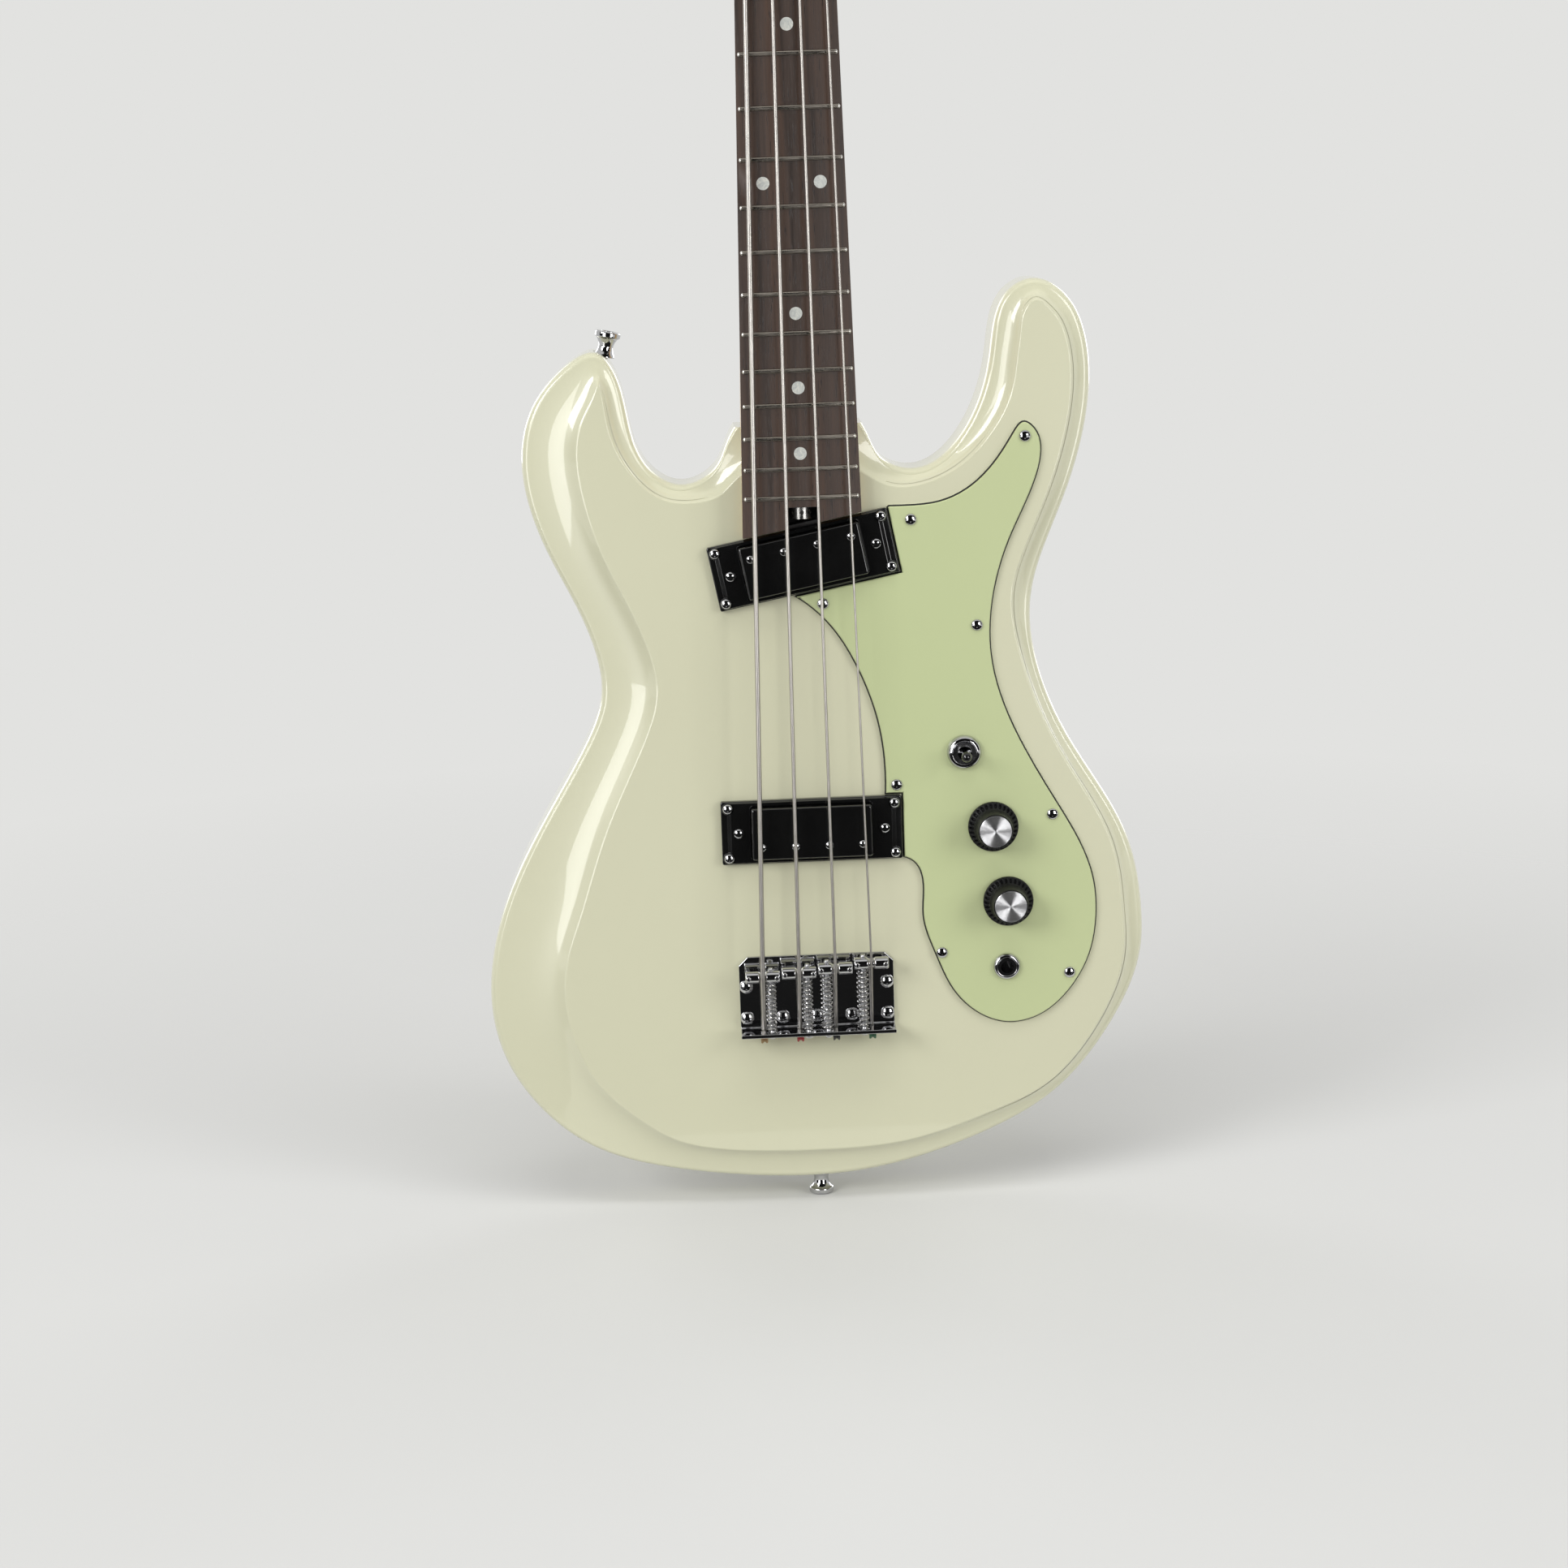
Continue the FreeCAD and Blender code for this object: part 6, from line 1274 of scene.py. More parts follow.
class BASS_OT_bridge(BassOperator):
    """Build the bent bridge plate, barrel saddles, screws and springs"""

    bl_idname = "bass.bridge"
    bl_label = "Bridge"

    def plate(self):
        """A plate bent up into a rear lip, with clipped front corners and four string holes."""
        half, front = 40.25, LIP_Z + 40.0
        lip_front, lip_top = LIP_Z + 2.0, -36.0
        section = [(LIP_Z, FRONT_Y), (front, FRONT_Y), (front, PLATE_Y), (lip_front, PLATE_Y),
                   (lip_front, lip_top), (LIP_Z, lip_top)]
        bends = {0: 1.6, 3: 1.0}
        run = []
        for i, corner in enumerate(section):
            if i in bends:
                run += softened([section[i - 1], corner, section[i + 1]], bends[i], 5)[1:-1]
            else:
                run.append(corner)
        blank = stacked([[(x, y, z) for z, y in run] for x in (-half, half)])
        clips = []
        for side in (-1, 1):
            clip = [(side * (half - 5.5), front + 1.0), (side * (half + 5.5), front + 1.0),
                    (side * (half + 5.5), front - 10.0)]
            clips.append(prism(clip, -40.0, 0.0))
        points, faces = bevelled(*carved(*blank, clips), 0.38, 3)
        holes = []
        for k, radius in enumerate(STRING_RADII):
            way = saddle_point(k) - ball_point(k)
            holes.append(turned_at(pin(radius + 0.5, -4.0, 8.0), 28, ball_point(k), way))
        return Shape().add(*carved(points, faces, holes))

    def saddle(self, centre):
        """A barrel with a groove for its string."""
        profile = softened([
            (0.0, -9.0), (2.75, -9.0), (3.2, -8.5), (3.2, -2.1), (2.45, -1.2), (2.4, 0.0), (2.45, 1.2),
            (3.2, 2.1), (3.2, 8.5), (2.75, 9.0), (0.0, 9.0)], 0.35, 3)
        return turned_at(profile, 56, centre, SIDEWAYS)

    def height_screw(self, length):
        """A pointed stud with a hexagon socket in its top."""
        post = softened([
            (0.0, 0.0), (0.7, 0.0), (1.25, 0.6), (1.25, length - 0.35), (0.95, length), (0.0, length)], 0.2)
        socket = hexagon(((0.68, length - 1.3), (0.68, length + 1.0)))
        return carved(*turned(post, 32), [socket])

    def length_screw(self, reach):
        """A threaded screw from the lip into a saddle."""
        radius, height = 2.5, 2.0
        thread = [(1.5, 0.0)]
        for step in np.arange(2.6, reach - 1.0, 0.7):
            thread += [(1.5, step), (1.24, step + 0.35)]
        profile = domed_head(radius, height) + thread + [(1.2, reach - 0.4), (0.0, reach)]
        return carved(*turned(profile, 28), cross_cutters(radius, height))

    def spring(self, x, y, low, high):
        """A wire coil between the lip and a saddle."""
        coils, radius = 12, 2.2
        turns = np.linspace(0, 2 * math.pi * coils, coils * 22 + 1)
        rise = low + (high - low) * (turns / turns[-1])
        coil = np.stack([x + radius * np.cos(turns), y + radius * np.sin(turns), rise], axis=1)
        return swept(coil, 0.4, 8)

    def execute(self, context):
        chrome_piece("bent_bridge_plate", self.plate(), "bridge_plate", even=True)
        saddles, posts, lengths, springs = Shape(), Shape(), Shape(), Shape()
        for k in range(len(STRING_RADII)):
            centre = barrel_centre(k)
            saddles.add(*self.saddle(centre))
            form, faces = self.height_screw(PLATE_Y - centre[1] + 4.2)
            for i in (-1, 1):
                posts.add(placed(form, (centre[0] + i * 7.3, PLATE_Y, centre[2]), FORWARD), faces)
            x = centre[0] - math.copysign(4.3, centre[0])
            form, faces = self.length_screw(centre[2] + 5.2 - LIP_Z)
            lengths.add(placed(form, (x, centre[1], LIP_Z), UPWARD), faces)
            springs.add(*self.spring(x, centre[1], LIP_Z + 2.46, centre[2] - 3.66))
        chrome_piece("barrel_saddles", saddles, "bridge_saddles", even=True)
        make_piece("saddle_posts", posts, "instrument", ["chrome"], ["saddle_height_screws"])
        make_piece("length_screws", lengths, "instrument", ["steel"], ["intonation_screws"])
        make_piece("length_springs", springs, "instrument", ["spring_steel"], ["intonation_springs"])
        seated_screws("bridge_plate_screws", "bridge_screws", screw_form(3.6, 2.2, 1.9, 24.0))
        return {"FINISHED"}


class BASS_OT_strings(BassOperator):
    """Build the four wound strings with their ball ends"""

    bl_idname = "bass.strings"
    bl_label = "Strings"

    def execute(self, context):
        balls = ("ball_brass", "ball_red", "ball_black", "ball_green")
        rim = softened([
            (0.5, -1.8), (2.4, -1.8), (2.7, -1.5), (2.7, -0.9), (1.9, -0.3), (1.9, 0.3), (2.7, 0.9),
            (2.7, 1.5), (2.4, 1.8), (0.5, 1.8)], 0.25, 2, closed=True)
        for k, radius in enumerate(STRING_RADII):
            pitch = context.scene.bass_shape.winding_pitch / MM * (radius / STRING_RADII[0]) ** 0.5
            path = resampled(string_path(k), pitch / 3)
            shape = Shape().add(*swept(path, radius, 8, pitch, radius * 0.05))
            shape.add(*turned_at(rim, 32, ball_point(k), SIDEWAYS, closed=True), 1)
            make_piece("wound_string_%d" % (k + 1), shape, "instrument",
                       ["string_steel", balls[k]], ["string_%d" % (k + 1)], crease=80.0)
        return {"FINISHED"}


class BASS_OT_controls(BassOperator):
    """Build the knobs, spun caps, selector lever, ring nuts and jack"""

    bl_idname = "bass.controls"
    bl_label = "Controls"

    def knob(self, at, flutes):
        """A skirted knob with a hollow inside and grip notches round its slope."""
        rim = [
            (7.5, 0.0), (12.75, 0.0), (13.0, 0.25), (13.0, 1.5), (12.85, 1.95), (12.6, 2.25), (12.35, 2.5),
            (12.0, 2.8), (11.6, 3.15), (11.2, 3.5), (10.8, 3.85), (10.5, 4.1), (10.2, 4.45), (9.95, 4.95),
            (9.7, 5.2), (9.62, 5.6), (9.5, 7.0), (9.12, 11.6), (9.05, 12.3), (8.98, 12.95), (8.85, 13.35),
            (8.6, 13.5), (8.4, 13.42), (8.34, 13.2), (8.34, 12.6), (0.0, 12.6)]
        hollow = [(0.0, 12.0), (3.05, 12.0), (3.05, 5.0), (7.3, 5.0), (7.5, 4.8)]
        points, faces = turned(hollow + rim, flutes * 8)
        radius = np.linalg.norm(points[:, :2], axis=1)
        angle = np.arctan2(points[:, 1], points[:, 0])
        notch = np.clip(np.cos(angle * flutes) * 1.6 + 0.2, 0.0, 1.0)
        band = np.interp(radius, (10.4, 10.9, 12.2, 12.7), (0.0, 1.0, 1.0, 0.0)) * (points[:, 2] > 2.0)
        sink = 1.3 * notch * band
        points[:, :2] *= (1 - 0.6 * sink / radius.clip(1.0))[:, None]
        points[:, 2] -= 0.8 * sink
        return Shape().add(placed(points, (at[0], KNOB_Y, at[1]), FORWARD), faces)

    def cap(self, at, rings):
        """A thin metal disc with turned rings."""
        ring_radius, level, swell = 7.85, 0.87, 0.025
        profile = [(0.0, 0.0), (8.28, 0.0), (8.28, 0.62), (8.05, 0.86)]
        for r in np.linspace(ring_radius, 0.25, rings * 4):
            profile.append((r, level + swell * math.cos(2 * math.pi * rings * r / ring_radius)))
        profile.append((0.0, level))
        return Shape().add(*turned_at(profile, 96, (at[0], KNOB_Y - CAP_HEIGHT, at[1]), FORWARD))

    def nuts(self):
        """Ring nuts of the switch and the jack, and hexagon nuts under the knobs."""
        shape = Shape()
        for at, bore, outer, height in ((SWITCH_AT, 5.82, 8.9, 3.6), (JACK_AT, 4.72, 7.0, 2.2)):
            profile = softened([
                (bore, 0.0), (outer, 0.0), (outer, height * 0.42), (outer - height * 0.3, height * 0.86),
                (outer - height * 0.62, height), (bore + 0.5, height), (bore, height - 0.4),
            ], 0.5, 4, closed=True)
            shape.add(*turned_at(profile, 72, (at[0], GUARD_Y, at[1]), FORWARD, closed=True))
        block = hexagon(((5.6, 0.0), (5.6, 1.7), (5.2, 2.0)))
        points, faces = carved(*block, [turned(pin(3.62, -1.0, 3.0), 40)])
        for at in (VOLUME_AT, TONE_AT):
            shape.add(placed(points, (at[0], GUARD_Y, at[1]), FORWARD), faces)
        return shape

    def lever(self):
        """A selector lever with a black ball, on a cross pin."""
        stem = [(0.0, -3.0), (0.9, -3.0), (1.2, -2.6), (1.2, 0.0), (1.5, 0.4), (1.42, 9.0), (1.35, 11.2),
                (0.0, 11.2)]
        ball_radius, ball_height = 2.7, 15.0
        ball = [(0.0, 12.0), (1.35, 12.0)]
        for turn in range(32, 176, 8):
            a = math.radians(turn)
            ball.append((ball_radius * math.sin(a), ball_height - ball_radius * math.cos(a)))
        ball.append((0.0, 17.7))
        at = (SWITCH_AT[0], -20.9, SWITCH_AT[1])
        shape = Shape().add(*turned_at(stem, 48, at, FORWARD), 0)
        shape.add(*turned_at(ball, 48, at, FORWARD), 1)
        shape.add(*turned_at(pin(1.6, 11.0, 12.4), 32, at, FORWARD), 0)
        return shape.add(*turned_at(pin(1.0, -5.0, 5.0), 20, at, SIDEWAYS), 0)

    def execute(self, context):
        settings = context.scene.bass_shape
        for name, at in (("volume", VOLUME_AT), ("tone", TONE_AT)):
            body = name + "_control"
            make_piece(name + "_fluted_knob", self.knob(at, settings.knob_flutes), body,
                       ["knob_black"], [name + "_knob"])
            make_piece(name + "_spun_cap", self.cap(at, settings.cap_rings), body,
                       ["spun_aluminium"], [name + "_cap"], crease=60.0)
            dress_node(name + "_shaft", "brass")
        chrome_piece("panel_ring_nuts", self.nuts(), "panel_nuts")
        make_piece("selector_lever", self.lever(), "switch_lever",
                   ["chrome", "black_plastic"], ["switch_lever"])
        dress_node("switch_body", "switch_can")
        dress_node("output_jack", "chrome")
        dress_node("potentiometers", "steel")
        dress_node("wiring", "wire_cover")
        return {"FINISHED"}


# Neck
HEEL_FLOW_END = 476.0
HEAD_FLOW_START = 866.0
HEAD_FLOW_END = 940.0


def eased(value, start, end):
    """A smooth step from 0 to 1 between two heights."""
    share = clamped((value - start) / (end - start))
    return share * share * (3 - 2 * share)


def neck_half_width(height, outline):
    """Half the neck's width at a height: along the board, behind the nut and over the headstock."""
    if height <= NUT_Z:
        return board_half_width(height - SADDLE_Z)
    low, wide = outline[0]
    if height >= low:
        return float(np.interp(height, outline[:, 0], outline[:, 1]))
    slope = (outline[3, 1] - wide) / (outline[3, 0] - low) * (low - NUT_Z)
    t = (height - NUT_Z) / (low - NUT_Z)
    nut_half = BOARD_WIDTH_AT_NUT / 2
    return nut_half + (wide - nut_half) * t * t * (3 - 2 * t) + slope * (t ** 3 - t * t)


def neck_section(height, half, front, back, squareness, edge):
    """One closed section of the neck: flat in front, rounded behind."""
    turns = np.concatenate((np.linspace(0, 88, 23), (89.0, 89.6, 89.9)))
    turns = np.radians(np.concatenate((turns, (90.0,), 180.0 - turns[::-1])))
    loop = []
    for a in turns:
        x = half * math.copysign(abs(math.cos(a)) ** (2 / squareness), math.cos(a))
        loop.append((x, front + edge + (back - front - edge) * math.sin(a) ** (2 / squareness), height))
    loop.append((-(half - edge * 0.3), front + edge * 0.3, height))
    for share in (-1.0, -0.5, 0.0, 0.5, 1.0):
        loop.append((share * (half - edge), front, height))
    loop.append((half - edge * 0.3, front + edge * 0.3, height))
    return loop


def neck_blank():
    """The neck from heel to headstock before its holes."""
    side = flat_loops("neck", HEAD_FACE_Y)[0]
    outline = side[side[:, 0] > 0.02][:, ::-1]
    outline = outline[np.argsort(outline[:, 0])]
    top = outline[-1, 0]
    heights = np.concatenate((
        np.linspace(NECK_LOW_Z, HEEL_Z, 6), np.arange(HEEL_Z + 2, 478, 3), np.arange(490, 866, 20),
        np.arange(868, 910, 3), np.arange(910, 944, 1.5), np.arange(946, top - 22, 4),
        outline[outline[:, 0] > top - 22, 0]))
    loops = []
    for z in np.unique(np.round(heights, 3)):
        shaft = eased(z, HEEL_Z + 2, HEEL_FLOW_END)
        head = eased(z, HEAD_FLOW_START, HEAD_FLOW_END)
        depth = 17.5 - 3.0 * clamped((z - 473.0) / (879.0 - 473.0))
        back = HEEL_Y + (NECK_TOP_Y + depth - HEEL_Y) * shaft
        back += (HEAD_BACK_Y - back) * eased(z, 874.0, HEAD_FLOW_END)
        square = 1 / (1 / 24 + (1 / 2.4 - 1 / 24) * shaft * (1 - head))
        ramp = clamped((z - NUT_Z - 5.0) / 14.3)
        front = NECK_TOP_Y + (HEAD_FACE_Y - NECK_TOP_Y) * (1 - (1 - ramp) ** 2.66)
        half = max(0.4, neck_half_width(z, outline))
        edge = min(0.02 + 1.1 * eased(z, 918.0, 936.0), 0.3 * half)
        loops.append(neck_section(z, half, front, back, square, edge))
    return stacked(loops)


def neck_shape():
    """The neck with its rod channel, tuner holes and screw holes."""
    wide, low = 40.0, 290.0
    below = [(-wide, low), (wide, low), (wide, slant_line(wide, 1.2)), (-wide, slant_line(-wide, 1.2))]
    holes = Shape()
    bore = [(0.0, -1.0), (6.52, -1.0), (6.52, 7.0), (5.0, 7.0), (5.0, 15.0), (0.0, 15.0)]
    for x, z, _ in POSTS:
        holes.add(*turned_at(bore, 40, (x, HEAD_FACE_Y, z), BACKWARD))
    for seat, way, length in fastener_seats("neck_plate_screws"):
        holes.add(*turned_at(pin(2.22, -1.0, length + 0.1), 20, seat, way))
    for seat, way, length in fastener_seats("small_wood_screws"):
        if seat[2] > NUT_Z:
            holes.add(*turned_at(pin(1.42, -1.0, length + 0.1), 20, seat, way))
    return Shape().add(*carved(*neck_blank(), [
        prism(below, -60.0, 40.0), box_prism(-8.0, 8.0, -40.0, -11.1, low, NOTCH_Z),
        turned_at(pin(2.52, 0.0, 520.0), 32, (0.0, -17.5, NOTCH_Z - 6.9), UPWARD),
        (np.concatenate(holes.points), holes.faces)]))


class BASS_OT_neck(BassOperator):
    """Finish the neck, fingerboard, frets, markers, nut and truss rod"""

    bl_idname = "bass.neck"
    bl_label = "Neck and fingerboard"

    def heel_plate(self):
        """A chromed plate with rounded corners behind the neck joint."""
        rows = ((26.0, 20.0, 4.0, BACK_Y), (26.0, 20.0, 4.0, 21.1), (25.75, 19.75, 3.8, 21.45),
                (25.3, 19.3, 3.5, 21.6))
        loops = [[(x, y, z + 385.0) for x, z in rounded_rectangle(a, b, r, 8)] for a, b, r, y in rows]
        return Shape().add(*stacked(loops))

    def execute(self, context):
        for node, name in (
            ("fingerboard", "rosewood"), ("nut", "bone"),
            ("position_dots", "pearl"), ("truss_rod", "steel"), ("truss_rod_wheel", "spring_steel"),
        ):
            dress_node(node, name)
        make_piece("flowing_neck", neck_shape(), "instrument", ["maple"], ["neck"], even=True)
        make_piece("crowned_frets", crowned_frets(), "instrument",
                   ["fret_wire", "fret_end"], ["frets"])
        # A black sheet in the truss notch, in the coil tape's dark finish: painted shade for the recess.
        make_piece("truss_notch_painted_shade", notch_painted_shade(), "instrument", ["coil_tape"])
        chrome_piece("heel_plate", self.heel_plate(), "neck_plate", even=True)
        seated_screws("heel_plate_screws", "neck_plate_screws", screw_form(4.2, 2.0, 2.2, 38.0))
        return {"FINISHED"}


def tuner_key_shape(k):
    """Worm shaft with its thread, ferrule and domed oval grip."""
    x, z, side = POSTS[k]
    y, level = 1.0, z - 11.0
    start = x - side * 9.88
    run = softened([
        (0.0, 0.0), (2.8, 0.0), (2.8, 1.2), (2.0, 1.2), (2.0, 33.0), (2.8, 33.0), (3.6, 38.6), (3.0, 41.0),
        (1.6, 43.0), (0.0, 43.4)], 0.3, 3)
    shape = Shape().add(*turned_at(run, 40, (start, y, level), (side, 0.0, 0.0)))
    pitch = 0.8 * math.pi
    section = ((1.7, -0.637), (3.55, -0.29), (3.7, -0.17), (3.7, 0.17), (3.55, 0.29), (1.7, 0.637))
    thread = []
    for turn in np.linspace(0, 8 * math.pi, 97):
        along = pitch * (turn / (2 * math.pi) - 2)
        thread.append([
            (x + along + shift, y - reach * math.sin(turn), level + reach * math.cos(turn))
            for reach, shift in section])
    shape.add(*stacked(thread))
    rows = (
        (-3.0, 0.04), (-2.96, 0.25), (-2.84, 0.47), (-2.6, 0.68), (-2.25, 0.84), (-1.8, 0.94),
        (-1.2, 0.985), (-0.5, 1.0))
    rows += tuple((-out, size) for out, size in rows[::-1])
    grip = []
    for out, size in rows:
        grip.append([
            (side * 64.0 + 11.0 * size * math.cos(a), y + out, level + 13.5 * size * math.sin(a))
            for a in np.linspace(0, 2 * math.pi, 56, endpoint=False)])
    return shape.add(*stacked(grip))


class BASS_OT_tuners(BassOperator):
    """Build the tuner keys and finish the tuners and the string retainer"""

    bl_idname = "bass.tuners"
    bl_label = "Tuners"

    def execute(self, context):
        for k in range(1, 5):
            dress_node("tuner_post_%d" % k, "chrome")
            dress_node("tuner_gear_%d" % k, "brass")
            key = "tuner_key_%d" % k
            chrome_piece("domed_" + key, tuner_key_shape(k - 1), key, key)
        for node in ("tuner_plates", "tuner_bushings", "string_retainer"):
            dress_node(node, "chrome")
        return {"FINISHED"}


class BASS_OT_fasteners(BassOperator):
    """Build the small wood screws and the strap buttons with their screws"""

    bl_idname = "bass.fasteners"
    bl_label = "Small screws and strap buttons"

    def execute(self, context):
        small = Shape()
        ring_screw = screw_form(2.6, 1.5, 1.4, 11.0, sides=36)
        guard_screw = screw_form(2.95, 1.5, 1.4, 11.0, sides=36)
        for seat, way, _ in fastener_seats("small_wood_screws"):
            points, faces = guard_screw if abs(seat[1] - GUARD_Y) < 0.1 else ring_screw
            small.add(placed(points, seat, way), faces)
        chrome_piece("cross_head_screws", small, "small_wood_screws")
        buttons, screws = Shape(), Shape()
        screw_seat = 10.6
        profile = softened([
            (2.02, 0.0), (5.5, 0.0), (5.2, 1.2), (4.15, 3.2), (3.7, 5.4), (4.25, 7.6), (5.35, 9.5),
            (6.5, 10.1), (6.5, 12.5), (6.0, 13.0), (3.64, 13.0), (3.64, screw_seat), (2.02, screw_seat),
        ], 0.55, 4, closed=True)
        form, faces = screw_form(3.6, 1.92, 2.0, 30.6)
        for seat, way in STRAP_SEATS:
            buttons.add(*turned_at(profile, 64, seat, way, closed=True))
            top = np.asarray(seat) + np.asarray(way) * screw_seat
            screws.add(placed(form, top, -np.asarray(way)), faces)
        chrome_piece("turned_strap_buttons", buttons, "strap_buttons")
        chrome_piece("strap_screws", screws, "strap_button_screws")
        return {"FINISHED"}


# Stage, in metres. Lamps: name, place, target, width and height, power, share of it, rays that miss it
MIDDLE = (0.0, 0.0, 0.42)
LAMPS = (
    ("key", (-2.1, -1.8, 1.5), MIDDLE, (1.3, 1.3), "key_power", 1.0, None),
    ("fill", (2.15, -1.5, 0.95), MIDDLE, (1.0, 1.6), "fill_power", 1.0, "visible_glossy"),
    ("top", (0.1, -0.9, 2.6), MIDDLE, (2.2, 0.7), "top_power", 1.0, "visible_glossy"),
    ("back", (-1.9, 2.2, 1.0), MIDDLE, (1.4, 1.8), "back_power", 1.0, None),
    ("back", (1.9, 2.2, 1.0), MIDDLE, (1.4, 1.8), "back_power", 1.0, None),
    ("sheen", (-0.85, -1.3, 0.17), (-0.12, 0.0, 0.33), (0.6, 1.2), "sheen_power", 1.6, "visible_diffuse"),
    ("far_sheen", (0.83, -1.35, 0.3), (0.13, 0.0, 0.4), (0.5, 1.2), "sheen_power", 1.8, "visible_diffuse"),
)
CARD_SIDE = 3.2
CARD_TOP = 3.6
CARD_FRONT_Y = -2.6
CARD_BACK_Y = -0.8
CAMERA_LENS = 69.32
CAMERA_AT = (-0.0601, -1.5369, 0.5485)
CAMERA_TURN = ((0.9987, 0.0403, -0.0301), (-0.0378, 0.2066, -0.9777), (-0.0332, 0.9776, 0.2078))


class BASS_OT_stage(BassOperator):
    """Set the floor, the soft studio light, the background and the camera"""

    bl_idname = "bass.stage"
    bl_label = "Stage"

    def floor(self, colour):
        """A round floor that fades into the background."""
        rings = np.concatenate(([0.0], np.linspace(0.05, 1.3, 26)))
        points, faces = turned([(r, 0.0) for r in rings], 96)
        mesh = bpy.data.meshes.new("floor")
        mesh.from_pydata(points.tolist(), [], faces)
        mesh.shade_smooth()
        floor = bpy.data.objects.new("floor", mesh)
        floor.location = (0.0, 0.0, SOLID_BOX[0][2] - 0.0002)
        bpy.context.scene.collection.objects.link(floor)
        colour = shaded(colour, 0.85)
        tree, shader = new_finish("floor_paper", colour, 0.9)
        shader.inputs["Specular IOR Level"].default_value = 0.0
        painted(tree, shader, grain(tree, 3.0), colour, 0.985, 1.0)
        place = tree.nodes.new("ShaderNodeTexCoord")
        reach = tree.nodes.new("ShaderNodeVectorMath")
        reach.operation = "LENGTH"
        tree.links.new(place.outputs["Object"], reach.inputs[0])
        fade = ranged(tree, reach.outputs["Value"], 0.0, 1.0, 0.25, 1.2)
        clear = tree.nodes.new("ShaderNodeBsdfTransparent")
        mix = tree.nodes.new("ShaderNodeMixShader")
        tree.links.new(fade, mix.inputs["Fac"])
        tree.links.new(shader.outputs["BSDF"], mix.inputs[1])
        tree.links.new(clear.outputs["BSDF"], mix.inputs[2])
        tree.links.new(mix.outputs["Shader"], tree.nodes["Material Output"].inputs["Surface"])
        mesh.materials.append(bpy.data.materials["floor_paper"])

    def lamp(self, name, at, target, size, power):
        """A soft rectangular light."""
        light = bpy.data.lights.new(name, "AREA")
        light.shape = "RECTANGLE"
        light.size, light.size_y = size
        light.energy = power
        lamp = bpy.data.objects.new(name, light)
        lamp.location = at
        lamp.rotation_euler = (Vector(target) - Vector(at)).to_track_quat("-Z", "Y").to_euler()
        lamp.visible_camera = False
        bpy.context.scene.collection.objects.link(lamp)
        return lamp

    def card(self, name, corners):
        """A dark card out of the picture, for the polished parts to mirror."""
        mesh = bpy.data.meshes.new(name)
        mesh.from_pydata(corners, [], [(0, 1, 2, 3)])
        mesh.materials.append(finish("dark_card"))
        card = bpy.data.objects.new(name, mesh)
        card.visible_camera = False
        card.visible_shadow = False
        card.visible_diffuse = False
        bpy.context.scene.collection.objects.link(card)

    def cards(self):
        """Dark surroundings in front, on the floor and upright."""
        low = SOLID_BOX[0][2] + 0.001
        side, top, front, back = CARD_SIDE, CARD_TOP, CARD_FRONT_Y, CARD_BACK_Y
        self.card("front_mat", ((-1.6, front, low), (1.6, front, low), (0.8, -0.14, low), (-0.8, -0.14, low)))
        self.card("front_card", (
            (-side, front, 0.0), (side, front, 0.0), (side, front, top), (-side, front, top)))
        for x in (-side, side):
            self.card("side_card", ((x, front, 0.0), (x, back, 0.0), (x, back, top), (x, front, top)))

    def background(self, colour):
        """A pale room for the camera and for mirrors, and a dimmer one for the light it gives."""
        world = bpy.data.worlds.new("studio")
        world.use_nodes = True
        bpy.context.scene.world = world
        tree = world.node_tree
        tree.nodes.clear()
        room = tree.nodes.new("ShaderNodeBackground")
        room.inputs["Color"].default_value = (0.44, 0.44, 0.44, 1.0)
        plain = tree.nodes.new("ShaderNodeBackground")
        plain.inputs["Color"].default_value = (*colour, 1.0)
        path = tree.nodes.new("ShaderNodeLightPath")
        seen = path.outputs["Is Camera Ray"]
        for kind in ("Is Glossy Ray", "Is Transmission Ray"):
            either = tree.nodes.new("ShaderNodeMath")
            either.operation = "MAXIMUM"
            tree.links.new(seen, either.inputs[0])
            tree.links.new(path.outputs[kind], either.inputs[1])
            seen = either.outputs["Value"]
        mix = tree.nodes.new("ShaderNodeMixShader")
        tree.links.new(seen, mix.inputs["Fac"])
        tree.links.new(room.outputs["Background"], mix.inputs[1])
        tree.links.new(plain.outputs["Background"], mix.inputs[2])
        out = tree.nodes.new("ShaderNodeOutputWorld")
        tree.links.new(mix.outputs["Shader"], out.inputs["Surface"])

    def camera(self, scene):
        """A camera that stands where the picture was taken."""
        camera = bpy.data.cameras.new("camera")
        camera.sensor_width = 36.0
        camera.lens = CAMERA_LENS
        camera.clip_start = 0.05
        camera.dof.use_dof = False
        eye = bpy.data.objects.new("camera", camera)
        turn = Matrix(CAMERA_TURN).to_quaternion().to_matrix().to_4x4()
        eye.matrix_world = Matrix.Translation(CAMERA_AT) @ turn
        scene.collection.objects.link(eye)
        scene.camera = eye

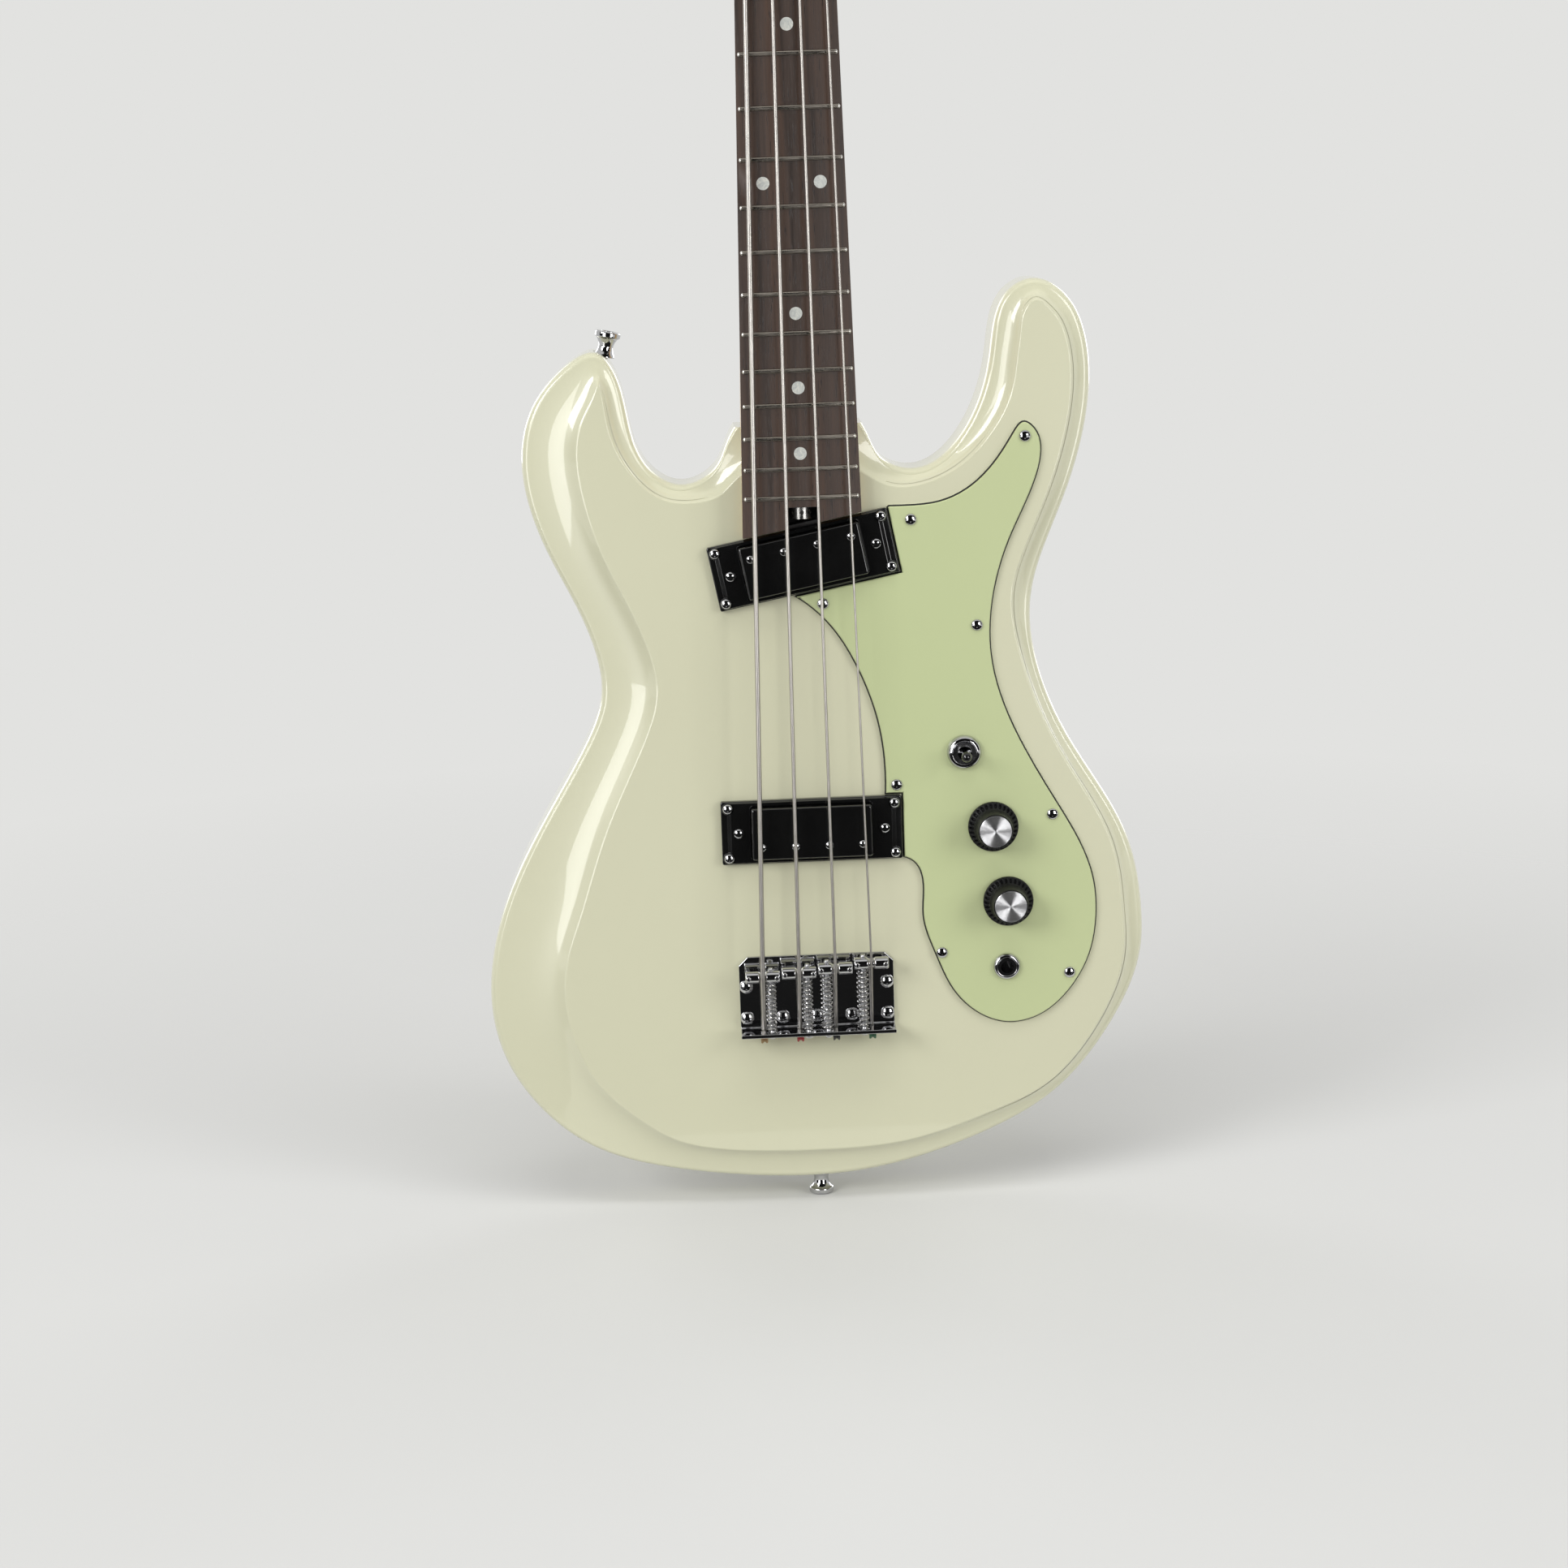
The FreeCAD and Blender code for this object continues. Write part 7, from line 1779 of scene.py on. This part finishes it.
    def execute(self, context):
        settings = context.scene.bass_stage
        self.floor(settings.floor)
        self.background(settings.floor)
        for name, at, target, size, power, share, hidden_from in LAMPS:
            lamp = self.lamp(name, at, target, size, getattr(settings, power) * share)
            if hidden_from:
                setattr(lamp, hidden_from, False)
        self.cards()
        self.camera(context.scene)
        context.scene.view_settings.view_transform = "Standard"
        return {"FINISHED"}


STEPS = (
    BASS_OT_carved_body, BASS_OT_pickguard, BASS_OT_pickups, BASS_OT_bridge, BASS_OT_strings,
    BASS_OT_controls, BASS_OT_neck, BASS_OT_tuners, BASS_OT_fasteners, BASS_OT_stage,
)


class BASS_PT_pieces(bpy.types.Panel):
    """The bass's settings and its pieces in order"""

    bl_idname = "BASS_PT_pieces"
    bl_label = "Electric bass"
    bl_space_type = "VIEW_3D"
    bl_region_type = "UI"
    bl_category = "Bass"

    def draw(self, context):
        for group in (context.scene.bass_finish, context.scene.bass_shape, context.scene.bass_stage):
            column = self.layout.column()
            for name in group.bl_rna.properties.keys():
                if name not in ("rna_type", "name"):
                    column.prop(group, name)
        for step in STEPS:
            self.layout.operator(step.bl_idname)


GROUPS = (
    ("bass_finish", BassFinishSettings), ("bass_shape", BassShapeSettings), ("bass_stage", BassStageSettings),
)


def register():
    for name, group in GROUPS:
        bpy.utils.register_class(group)
        setattr(bpy.types.Scene, name, PointerProperty(type=group))
    for item in STEPS + (BASS_PT_pieces,):
        bpy.utils.register_class(item)


def unregister():
    for item in reversed(STEPS + (BASS_PT_pieces,)):
        bpy.utils.unregister_class(item)
    for name, group in reversed(GROUPS):
        delattr(bpy.types.Scene, name)
        bpy.utils.unregister_class(group)


def main():
    register()
    bpy.ops.bass.carved_body()
    bpy.ops.bass.pickguard()
    bpy.ops.bass.pickups()
    bpy.ops.bass.bridge()
    bpy.ops.bass.strings()
    bpy.ops.bass.controls()
    bpy.ops.bass.neck()
    bpy.ops.bass.tuners()
    bpy.ops.bass.fasteners()
    bpy.ops.bass.stage()


if __name__ == "__main__":
    main()
